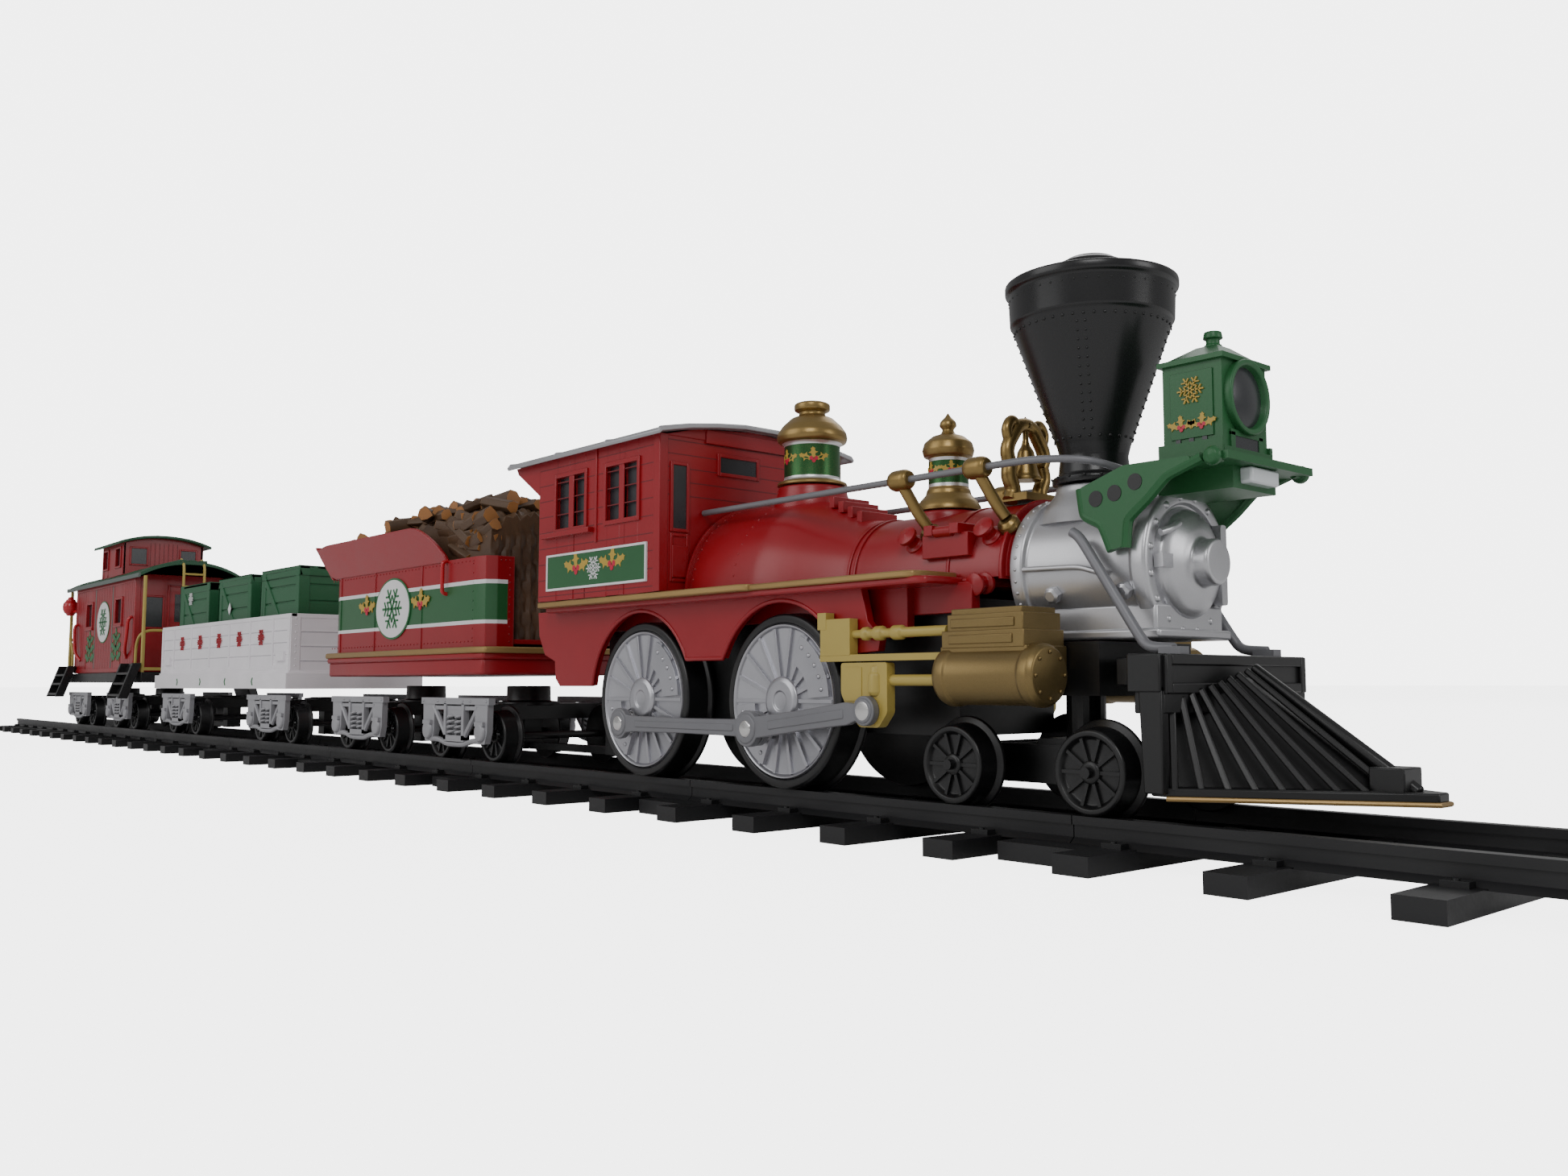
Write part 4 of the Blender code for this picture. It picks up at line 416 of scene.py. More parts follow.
def piece(name, shape, finish, body, nodes=(), bevel=0.0, steps=2, angle=38.0):
    """One finished object at the origin that stands for some CAD nodes."""
    mesh = bpy.data.meshes.new(name)
    faces = [row for part in shape.faces for row in part.tolist()]
    mesh.from_pydata((shape.points * MM).tolist(), [], faces)
    working = bmesh.new()
    working.from_mesh(mesh)
    bmesh.ops.remove_doubles(working, verts=working.verts, dist=2e-6)
    bmesh.ops.recalc_face_normals(working, faces=working.faces)
    working.to_mesh(mesh)
    working.free()
    mesh.materials.append(finish)
    mesh.shade_smooth()
    mesh.set_sharp_from_angle(angle=math.radians(angle))
    item = bpy.data.objects.new(name, mesh)
    bpy.context.scene.collection.objects.link(item)
    if bevel:
        modifier = item.modifiers.new("edges", "BEVEL")
        modifier.width = bevel * MM
        modifier.segments = steps
        modifier.limit_method = "ANGLE"
        modifier.angle_limit = math.radians(angle)
        modifier.harden_normals = False
    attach(item, body)
    if nodes:
        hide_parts(*nodes)
    print(f"made {name}: {len(mesh.polygons)} faces on {body}")
    return item


# %% [markdown]
# ## Holly and emblems
# Flat decals stand a tenth of a millimetre off their panel. A sprig is two spiky leaves and three berries.

# %% Decals


def holly_leaf(length):
    """A leaf outline: half width 0.2 L sin(pi s) with three spikes a side."""
    s = np.linspace(0, 1, 13)
    spikes = 1 + 0.75 * np.where(np.arange(13) % 4 == 2, 1.0, -0.25)
    half = 0.19 * length * np.sin(np.pi * s) * spikes
    top = np.stack([s * length, half], axis=1)
    return np.vstack([top, top[-2:0:-1] * [1, -1]])


def on_side(shape, x, y, z, side=-1):
    """Stands a flat shape drawn in X and Y upright against a side wall."""
    flat = shape.points
    upright = np.stack([flat[:, 0], side * flat[:, 2], flat[:, 1]], axis=1)
    return Shape(upright + np.array([x, y, z]), shape.faces)


def flat_disc(radius, height, segments=20):
    """A low round plate in the XY plane."""
    return lathe([(-0.2, radius), (height, radius)], "Z", segments=segments, soften=0)


def sprig_leaves(size):
    """Leaves of a sprig about the origin, in the XY plane."""
    leaf = prism(holly_leaf(size), "Z", -0.2, 0.12).moved(x=size * 0.12)
    turns = (20, 95, 160)
    return sum(leaf.scaled(1 if a != 95 else 0.8, 1, 1).turned("Z", a) for a in turns)


def sprig_berries(size):
    """Three berries where the leaves meet."""
    places = [(0.0, -0.08, 0.0), (0.17, 0.1, 0.0), (-0.17, 0.1, 0.0)]
    return flat_disc(size * 0.13, 0.18, 14).at(np.array(places) * size)


def oval(width, height, thick=0.15, segments=64):
    """An elliptic plate in the XY plane."""
    return lathe([(-0.3, 1), (thick, 1)], "Z", segments=segments, soften=0).scaled(width, height, 1)


def snowflake(size):
    """Six arms with two pairs of twigs each, in the XY plane."""
    arm = block((0, size), (-size * 0.05, size * 0.05), (-0.2, 0.3))
    twig = block((0, size * 0.36), (-size * 0.04, size * 0.04), (-0.2, 0.3))
    twigs = sum(twig.turned("Z", a).moved(x=size * d) for a in (60, -60) for d in (0.34, 0.62))
    return sum((arm + twigs).turned("Z", a) for a in range(0, 360, 60))


# %% [markdown]
# ## Track
# The CAD rails keep their shape. Small chairs clip each rail to its sleepers.

# %% Track
TRACK_START, SECTION, PITCH = -650.0, 146.0, 36.1
for number in (1, 2, 3):
    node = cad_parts[f"track_{number}"]
    node.data.materials.clear()
    node.data.materials.append(track_black)
    first = TRACK_START + (number - 1) * 3 * SECTION
    seams, ties = np.meshgrid(first + SECTION * np.arange(3), 8.2 + 4.7 + PITCH * np.arange(4))
    sleeper_x = (seams + ties).ravel()
    chair = block((-2.6, 2.6), (-30.4, -27.4), (4.2, 5.6)) + block((-2.6, 2.6), (-23.2, -20.6), (4.2, 5.4))
    bolt = lathe([(5.0, 0.8), (6.0, 0.7)], "Z", (0, -29.4, 0), 10)
    offsets = np.stack([sleeper_x, 0 * sleeper_x, 0 * sleeper_x], axis=1)
    piece(f"rail_chairs_{number}", (chair + bolt).both().at(offsets), track_black, "track",
          bevel=0.2)

# %% [markdown]
# ## Locomotive
# Distances along the locomotive start at its front driving axle, as in the CAD.

# %% Smokebox, stack and lamp
L = 419.8
AXIS_Z = 68.7
LOCO = "locomotive"


def from_axle(x):
    """A locomotive distance as a world x."""
    return L + x


def add_smokebox():
    """The silver drum with its riveted ring, door, hinges, bolts and saddle."""
    x0, x1 = from_axle(74.4), from_axle(112.2)
    centre = (0, 0, AXIS_Z)
    drum = lathe([(x0, 0), (x0, 19.0), (x0 + 3.6, 19.0), (x0 + 4.2, 17.5), (x1 - 3.4, 17.5),
                  (x1 - 3.0, 18.2), (x1 + 0.4, 18.2), (x1 + 1.0, 17.4), (x1 + 1.0, 14.6), (x1 - 0.2, 14.2),
                  (x1 - 0.2, 13.4), (x1 + 1.4, 13.0), (x1 + 2.0, 12.6), (x1 + 3.0, 11.2), (x1 + 4.4, 8.0),
                  (x1 + 5.0, 6.0), (x1 + 5.6, 5.6), (x1 + 8.6, 5.5), (x1 + 9.2, 4.9), (x1 + 9.2, 0)],
                 "X", centre, 96, soften=0.5)
    places, out = ring_of("X", (x0 + 1.8, 0, AXIS_Z), 18.95, 40)
    studs = rivets(places, out, 0.5, 0.45)
    rim, _ = ring_of("X", (x1 + 0.9, 0, AXIS_Z), 16.0, 16, phase=11)
    bolts = rivets(rim, (1, 0, 0), 1.0, 0.8)
    pipe = tube([(x0 + 4, -18.4, 68.6), (x1 - 17, -18.4, 68.2), (x1 - 10, -18.2, 66.0)], 0.7, 10, 2.0)
    hexes = [(x0 + 12, -16.9, 62.0), (x1 - 5.5, -16.9, 62.0)]
    hexagon = lathe([(-0.6, 2.1), (1.2, 2.1), (1.7, 1.4), (1.7, 0)], "Z", segments=6, soften=0)
    nuts = hexagon.at(hexes, facing([(0, -1, -0.35)] * 2)).both()
    strap = prism([(-1.3, -10.5), (1.3, -10.5), (1.3, 9.0), (-1.3, 9.0)], "X", x1 + 1.2, x1 + 3.6, 0.8)
    straps = strap.moved(y=11.6, z=AXIS_Z + 1) + block((x1 + 1, x1 + 3.4), (-14.5, -9.5),
                                                       (AXIS_Z - 1.6, AXIS_Z + 1.6))
    latch = tube([(x1 + 2.6, -14, AXIS_Z + 6.4), (x1 + 3.6, -11, AXIS_Z + 7.4), (x1 + 3.0, -7, AXIS_Z + 9)],
                 0.9, 10, 1.0)
    flare = lathe([(80.0, 15.2), (84.0, 13.2), (86.6, 11.0), (88.2, 9.9), (90.1, 9.5), (90.1, 0)], "Z",
                  (from_axle(86.9), 0, 0), 64, 0.6)
    saddle = block((x0 + 6, x1 + 1.2), (-14.4, 14.4), (50.9, 59.0)) + \
        block((x0 + 4.6, x1 + 2.8), (-15.6, 15.6), (50.8, 53.2))
    trim = piece("smokebox_shell", drum + studs + bolts + nuts + straps + latch + flare + pipe, silver, LOCO,
                 ["smokebox"])
    piece("smokebox_saddle", saddle, silver, LOCO, bevel=0.7)
    return trim


def add_stack():
    """The black funnel: two rivet rings, four rivet seams, a rolled rim and the cap inside it."""
    x = from_axle(86.9)
    body = lathe([(90.6, 0), (90.6, 10.6), (92.2, 10.6), (93.0, 9.0), (97.6, 8.5), (100.4, 9.2),
                  (131.4, 20.1), (132.0, 20.7), (139.8, 21.0), (140.4, 21.9), (142.4, 21.9), (142.8, 20.9),
                  (141.4, 19.6), (140.6, 17.4), (142.0, 14.6), (144.6, 12.4), (146.0, 9.6), (147.6, 8.8),
                  (148.4, 7.0), (149.2, 6.0), (149.4, 0)], "Z", (x, 0, 0), 96, 0.4)
    studs = []
    for z, radius, count in ((130.0, 19.65, 48), (101.8, 9.75, 24), (92.0, 10.65, 16)):
        places, out = ring_of("Z", (x, 0, z), radius, count)
        studs.append(rivets(places, out, 0.42, 0.36))
    for turn in (-62, 28, 118, 208):
        direction = np.array([math.cos(math.radians(turn)), math.sin(math.radians(turn)), 0])
        z = np.linspace(103.5, 128.2, 13)
        radius = 9.2 + (z - 100.4) / 31.0 * 10.9
        for shift in (-1.0, 1.0):
            around = np.array([-direction[1], direction[0], 0]) * shift
            places = direction * radius[:, None] + around + np.stack([0 * z + x, 0 * z, z], axis=1)
            studs.append(rivets(places, direction - [0, 0, 0.33], 0.36, 0.34))
    neck, out = ring_of("Z", (x, 0, 138.2), 20.95, 44)
    piece("stack_funnel", body + sum(studs) + rivets(neck, out, 0.3, 0.25), stack_black, LOCO, ["stack"])


def add_lamp():
    """The square lamp: pyramid roof, chimney, lens bezel, window, vents, and its bracket."""
    x0, x1 = from_axle(113.5), from_axle(128.8)
    half, low, high = 9.7, 91.2, 114.6
    middle = (x0 + x1) / 2
    case = block((x0, x1), (-half, half), (low + 2, high)) + \
        block((x0 - 0.7, x1 + 0.7), (-half - 0.7, half + 0.7), (low, low + 2.6))
    square = np.array([(-1, -1), (1, -1), (1, 1), (-1, 1)])
    rings = []
    for z, ax, ay in ((high - 0.6, 8.6, 10.7), (high + 0.6, 8.6, 10.7), (high + 0.8, 7.2, 9.4),
                      (high + 4.6, 2.6, 3.0)):
        rings.append([(middle + ax * u, ay * v, z) for u, v in square])
    roof = loft(rings)
    chimney = lathe([(high + 4, 2.1), (high + 5.2, 2.1), (high + 5.4, 1.6), (high + 6.6, 1.6),
                     (high + 6.8, 2.3), (high + 8.4, 2.0), (high + 8.8, 0)], "Z", (middle, 0, 0), 32, 0.2)
    panel = block((x0 + 2.2, x1 - 2.2), (-half - 0.4, -half + 1), (low + 5.4, high - 2.6)).both()
    frame_strip = block((x1 - 0.5, x1 + 0.4), (-6.6, 6.6), (89.9, 90.2)) + \
        block((x1 - 0.6, x1 + 0.5), (-7, -5.2), (low + 1, low + 6.2)).both() + \
        block((x1 - 0.6, x1 + 0.5), (-7, 7), (low + 5.4, low + 6.8))
    bezel = lathe([(x1 - 0.5, 8.9), (x1 + 1.5, 8.9), (x1 + 1.9, 8.3), (x1 + 1.5, 7.4), (x1 - 0.4, 6.9),
                   (x1 - 1.2, 6.6)], "X", (0, 0, 106.0), 64, 0.3)
    slots = block((-0.6, 0.6), (-half - 0.25, -half + 0.5), (0, 2.4))
    vents = slots.at([(x0 + 4 + 3.4 * k, 0, low + 3.4) for k in range(3)]).both()
    piece("lamp_case", case + roof + chimney + panel + frame_strip + bezel, green, LOCO, ["headlamp"],
          bevel=0.35)
    lens = lathe([(x1 + 0.1, 7.3), (x1 + 0.4, 6.4), (x1 + 1.1, 4.0), (x1 + 1.4, 1.5), (x1 + 1.45, 0)], "X",
                 (0, 0, 106.0), 48, 0)
    piece("lamp_lens", lens, dark_pane, LOCO)
    piece("lamp_vents", vents + block((x1 - 0.4, x1 + 0.3), (-5.2, 5.2), (low + 1.6, low + 5.4)), dark_pane,
          LOCO)

    floor_z = low - 0.3
    plate = block((x0 - 3.0, x1 + 6.4), (-18.8, 18.8), (floor_z - 1.8, floor_z)) + \
        block((x0 - 2, x1 + 2), (-9.4, 9.4), (AXIS_Z + 15.4, floor_z))
    lugs = block((x0 - 0.6, x1 + 0.6), (-half - 1.4, -half - 0.1), (floor_z - 0.2, floor_z + 4.6)).both()
    xm = from_axle(112.2)
    outer = [(-15.5, 86.5), (-14.6, 79.8), (-9.6, 77.6), (-7.0, 71.2), (-3.4, 71.8), (-2.6, 78.2),
             (3.0, 82.4), (8.0, 87.0), (14.4, 89.0), (14.4, 90.6), (-3.0, 90.6), (-9.0, 88.6)]
    web = prism([(xm + u, v) for u, v in outer], "Y", -20.2, -18.2, 0.9)
    rim_path = [(xm + u, -19.2, v) for u, v in [(-15.5, 86.5), (-14.6, 79.8), (-9.6, 77.6), (-7.0, 71.2)]]
    front_path = [(xm - 3.2, -19.2, 71.6), (xm - 2.6, -19.2, 78.2), (xm + 3, -19.2, 82.4),
                  (xm + 8, -19.2, 87.0), (xm + 17, -19.2, 90.0)]
    ribs = tube(rim_path, 1.25, 8, 1.2) + tube(front_path, 1.25, 8, 1.2)
    arch = lathe([(xm - 9.4, 19.7), (xm - 9.4, 18.3), (xm - 5.0, 18.3), (xm - 5.0, 19.7), (xm - 9.4, 19.7)],
                 "X", (0, 0, AXIS_Z), 64, 0)
    arch.points[:, 2] = np.maximum(arch.points[:, 2], AXIS_Z + 9.0)
    knobs = lathe([(-3.2, 1.2), (-1.2, 1.2), (-0.8, 2.0), (0.6, 2.2), (1.6, 1.6), (2.0, 0)], "Y",
                  (x1 + 3.0, 19.2, floor_z - 1.0), 20).both()
    piece("lamp_bracket_arms", plate + lugs + (web + ribs).both() + knobs, green, LOCO, ["lamp_bracket"],
          bevel=0.3)
    holes = lathe([(-20.35, 1.9), (-19.0, 1.9)], "Y", segments=28, soften=0)
    spots = [(xm - 10.6, 0, 83.6), (xm - 5.4, 0, 84.4), (xm + 0.2, 0, 86.4)]
    piece("bracket_holes", holes.at(spots).both(), black, LOCO)
    glass = block((x1 - 4.5, x1 + 4.8), (-6.2, 6.2), (floor_z - 5.6, floor_z - 1.9))
    piece("lamp_under_glass", glass, lamp_clear, LOCO, bevel=0.6)


add_smokebox()
add_stack()
add_lamp()

# %% [markdown]
# ## Boiler
# The boiler tapers from the firebox to the barrel. The running boards and the wheel skirts hang on it.

# %% Boiler, boards and skirts
DRIVER_Z = 35.65
DRIVER_SPACING = 70.0


def add_boiler():
    """The barrel with bands, plugs and louvres, and the pads and dome feet on it."""
    x0 = from_axle(-48.8)
    barrel = lathe([(x0, 0), (x0, 29.2), (from_axle(-20), 29.2), (from_axle(-10), 28.6), (from_axle(4), 22.6),
                    (from_axle(12), 19.8), (from_axle(16), 19.2), (from_axle(74), 19.2),
                    (from_axle(74), 0)], "X", (0, 0, AXIS_Z), 96, 5.0)
    barrel.points[:, 2] = np.maximum(barrel.points[:, 2], 67.4)
    hoops = [lathe([(from_axle(x) - 0.5, 18.6), (from_axle(x) - 0.5, r), (from_axle(x) + 0.5, r),
                    (from_axle(x) + 0.5, 18.6)], "X", (0, 0, AXIS_Z), 96, 0.15)
             for x, r in ((16.2, 19.7), (18.6, 19.7), (54.0, 19.6), (72.0, 19.8), (-47.5, 29.6))]
    for hoop in hoops:
        hoop.points[:, 2] = np.maximum(hoop.points[:, 2], 66.8)
    places, out = ring_of("X", (from_axle(-44.4), 0, AXIS_Z), 29.2, 27, start=2, stop=178)
    seam, seam_out = ring_of("X", (from_axle(-24.0), 0, AXIS_Z), 29.2, 27, start=2, stop=178)
    studs = rivets(places, out, 0.4, 0.3) + rivets(seam, seam_out, 0.4, 0.3)
    steps = [block((from_axle(x), from_axle(x) + 2.2), (-7.5, 7.5), (top - 3.5, top))
             for x, top in ((-4.5, 97.0), (-0.5, 95.2), (3.5, 93.2), (7.5, 91.4))]
    plug = lathe([(-0.5, 2.9), (0.4, 2.9), (0.8, 1.9), (3.0, 1.8), (3.3, 2.9), (4.4, 2.9), (4.7, 1.6),
                  (5.0, 0)], "Z", segments=24, soften=0.15)
    spots = [(from_axle(40.1), -16.6, 78.2), (from_axle(67.0), -16.6, 78.2), (from_axle(66.4), -18.8, 66.0)]
    plugs = plug.at(spots, facing([(0, -0.86, 0.5), (0, -0.86, 0.5), (0, -1, -0.14)])).both()
    pad = block((from_axle(46), from_axle(62)), (-20.4, -14.0), (73.4, 79.6)) + \
        block((from_axle(48), from_axle(51)), (-22.0, -14.0), (79.2, 82.0)) + \
        block((from_axle(57), from_axle(60)), (-22.0, -14.0), (79.2, 82.0)) + \
        lathe([(from_axle(51), 1.5), (from_axle(57), 1.5)], "X", (0, -20.4, 80.2), 16, 0)
    base = lathe([(90.0, 12.6), (97.0, 12.2), (100.4, 11.0), (102.3, 10.8), (102.3, 0)], "Z",
                 (from_axle(-20.5), 0, 0), 64, 1.2)
    foot = lathe([(80.0, 11.0), (86.0, 9.6), (88.5, 9.2), (88.5, 0)], "Z", (from_axle(37.3), 0, 0), 48, 0.8)
    piece("boiler_barrel", barrel + sum(hoops) + studs + plugs, red, LOCO, ["boiler"])
    piece("boiler_steps", sum(steps) + pad.both() + base + foot, red, LOCO, bevel=0.6)


def board_edge(width, rear, front):
    """One side of a running board seen from above, with its rounded front end."""
    return [(from_axle(rear), -20.0), (from_axle(rear), -width), (from_axle(front - 4), -width),
            (from_axle(front - 1.2), -width + 1.4), (from_axle(front), -width + 5), (from_axle(front), -20.0)]


def add_boards():
    """Thin gold-edged boards on a red plate, the skirts with their arches and the slide bar plates."""
    plate = prism(board_edge(35.6, -123, 61.5), "Z", 65.6, 67.6) + \
        block((from_axle(-122), from_axle(66)), (-22, 22), (65.4, 67.4))
    rear = prism(board_edge(38.7, -123.4, -6), "Z", 67.2, 69.2)
    front = prism(board_edge(36.6, -8, 58), "Z", 67.3, 69.1)
    piece("running_boards", plate.both(), red, LOCO, bevel=0.6)
    piece("board_edges", (rear + front).both(), gold_edge, LOCO, bevel=0.45)

    top, low, opening = 66.4, 48.2, 28.7

    def arch(centre, start, stop):
        t = np.radians(np.linspace(start, stop, 25))
        return np.stack([from_axle(centre) + opening * np.cos(t), DRIVER_Z + opening * np.sin(t)], axis=1)

    reach = math.degrees(math.asin((low - DRIVER_Z) / opening))
    arches = [arch(-70, 171, reach), arch(0, 180 - reach, reach)]
    rear_edge = [(from_axle(-135), top), (from_axle(-134.2), 58.0), (from_axle(-130), 51.0),
                 (from_axle(-123), 48.6), (from_axle(-122.4), 42.5), (from_axle(-119.4), 39.8),
                 (from_axle(-101.5), 39.8)]
    front_edge = [(from_axle(40.5), 49.0), (from_axle(41.2), 52.5), (from_axle(36.5), 57.0),
                  (from_axle(34.0), top)]
    sheet = prism(np.vstack([rear_edge, *arches, front_edge]), "Y", -31.5, -29.0)
    rim = tube(np.insert(np.vstack(arches), 1, -31.2, axis=1), 0.75, 8)
    inner = block((from_axle(24), from_axle(46)), (-26.2, -23.4), (52.6, 66.5)) + \
        block((from_axle(-116), from_axle(66)), (-23.6, -20.4), (58.5, 66.2))
    piece("wheel_skirts", (sheet + rim + inner).both(), red, LOCO, bevel=0.5)


def add_domes_and_bell():
    """Two banded domes on the boiler, and a bell in its scrolled yoke."""
    sand = lathe([(102.6, 0), (102.6, 11.2), (103.6, 11.0), (104.2, 9.3), (105.0, 8.9), (115.4, 8.8),
                  (116.2, 9.4), (116.6, 10.8), (118.0, 11.2), (119.6, 10.9), (121.8, 9.4), (124.4, 6.6),
                  (125.2, 4.3), (126.4, 4.1), (127.0, 5.7), (129.0, 5.7), (129.6, 4.4), (129.8, 0)], "Z",
                 (from_axle(-20.5), 0, 0), 72, 0.45)
    piece("sand_dome_body", sand, sand_paint, LOCO, ["sand_dome"])
    steam = lathe([(88.8, 0), (88.8, 9.4), (90.2, 9.0), (91.6, 8.2), (93.6, 6.4), (94.8, 6.2), (95.4, 5.7),
                   (104.0, 5.6), (104.4, 6.9), (106.2, 7.4), (108.4, 6.8), (110.2, 4.6), (111.0, 2.2),
                   (112.2, 1.5), (113.4, 2.5), (114.6, 2.2), (115.8, 1.0), (117.2, 0)], "Z",
                  (from_axle(37.3), 0, 0), 56, 0.35)
    piece("steam_dome_body", steam, steam_paint, LOCO, ["steam_dome"])
    x, z0 = from_axle(65.0), 88.4
    t = np.linspace(-0.42, np.pi + 0.42, 33)
    outline = np.stack([7.0 * np.cos(t) * (1 + 0.10 * np.cos(4 * t)), 101.4 + 8.0 * np.sin(t)], axis=1)
    hoop = tube(np.column_stack([np.full(33, x), outline]), 1.9, 14)
    legs = tube([(x, -6.4, 98.6), (x, -7.6, 95.0), (x, -5.0, 91.5), (x, -6.8, z0)], 2.1, 14, 2.0).both()
    curls = tube([(x, -6.6, 104), (x, -8.2, 107.5), (x, -5.6, 110.6), (x, -3.4, 108.2)], 1.5, 12, 1.5).both()
    foot = block((x - 6.0, x + 6.0), (-7.4, 7.4), (z0 - 0.2, z0 + 1.8))
    cup = lathe([(94.4, 3.9), (95.0, 4.1), (96.0, 3.5), (99.4, 2.7), (102.2, 2.2), (103.8, 1.2), (105.4, 0.8),
                 (108.6, 0.8)], "Z", (x, 0, 0), 40, 0.3)
    tip = lathe([(108.4, 1.9), (109.6, 2.1), (110.6, 1.1), (111.8, 0)], "Z", (x, 0, 0), 24, 0.3)
    piece("bell_and_yoke", hoop + legs + curls + foot + cup + tip, dome_bronze, LOCO, ["bell"],
          bevel=0.3)


def add_handrail():
    """The rail round the stack, carried on two bronze posts a side with ball heads."""
    y, z = 21.6, 95.2
    side = [(from_axle(-48.5), y, z), (from_axle(84), y, z), (from_axle(97), 17.5, z - 1.0),
            (from_axle(101.5), 10.0, z - 3.2), (from_axle(102.0), 0, z - 4.4)]
    path = side + [(a, -b, c) for a, b, c in side[-2::-1]]
    piece("hand_rail", tube(path, 0.95, 12, 5.0), rod_grey, LOCO, ["handrail"])
    parts = []
    for place in (39.6, 66.6):
        x = from_axle(place)
        parts.append(lathe([(x - 3.4, 1.2), (x - 3.4, 2.3), (x - 2.0, 2.9), (x + 2.0, 2.9), (x + 3.4, 2.3),
                            (x + 3.4, 1.2)], "X", (0, -y, z), 24, 0.5))
        stay_line = [(x + 0.3, -y, z - 1), (x + 3.2, -18.2, 86.0), (x + 4.6, -16.2, 82.6)]
        parts.append(tube(stay_line, 1.6, 14, 1.5))
        parts.append(lathe([(-1.4, 2.9), (0.4, 2.9), (1.2, 1.9)], "Z", segments=20).at(
            [(x + 4.8, -15.6, 81.2)], facing([(0, -0.75, 0.66)])))
    piece("rail_posts", sum(parts).both(), dome_bronze, LOCO)


add_boiler()
add_boards()
add_domes_and_bell()
add_handrail()

# %% [markdown]
# ## Cab
# The cab is four walls with window frames that stand proud, a sign with holly, and a shallow grey roof.

# %% Cab
CAB_X = (from_axle(-123.1), from_axle(-49.1))
CAB_Y = 38.6


def wall_with_holes(x, z, y, thick, holes):
    """A wall cut into upright and level strips round its windows, listed as (x0, x1, z0, z1)."""
    parts = []
    edge = x[0]
    for x0, x1, z0, z1 in holes:
        parts.append(block((edge, x0), (y, y + thick), z))
        parts.append(block((x0, x1), (y, y + thick), (z[0], z0)))
        parts.append(block((x0, x1), (y, y + thick), (z1, z[1])))
        edge = x1
    parts.append(block((edge, x[1]), (y, y + thick), z))
    return sum(parts)


def picture_frame(x, z, y, width, depth):
    """Four bars round an opening on a right-hand wall."""
    side = block((x[0] - width, x[0]), (y - depth, y + 0.6), (z[0] - width, z[1] + width))
    other = block((x[1], x[1] + width), (y - depth, y + 0.6), (z[0] - width, z[1] + width))
    low = block((x[0] - 0.1, x[1] + 0.1), (y - depth, y + 0.6), (z[0] - width, z[0]))
    high = block((x[0] - 0.1, x[1] + 0.1), (y - depth, y + 0.6), (z[1], z[1] + width))
    return side + other + low + high


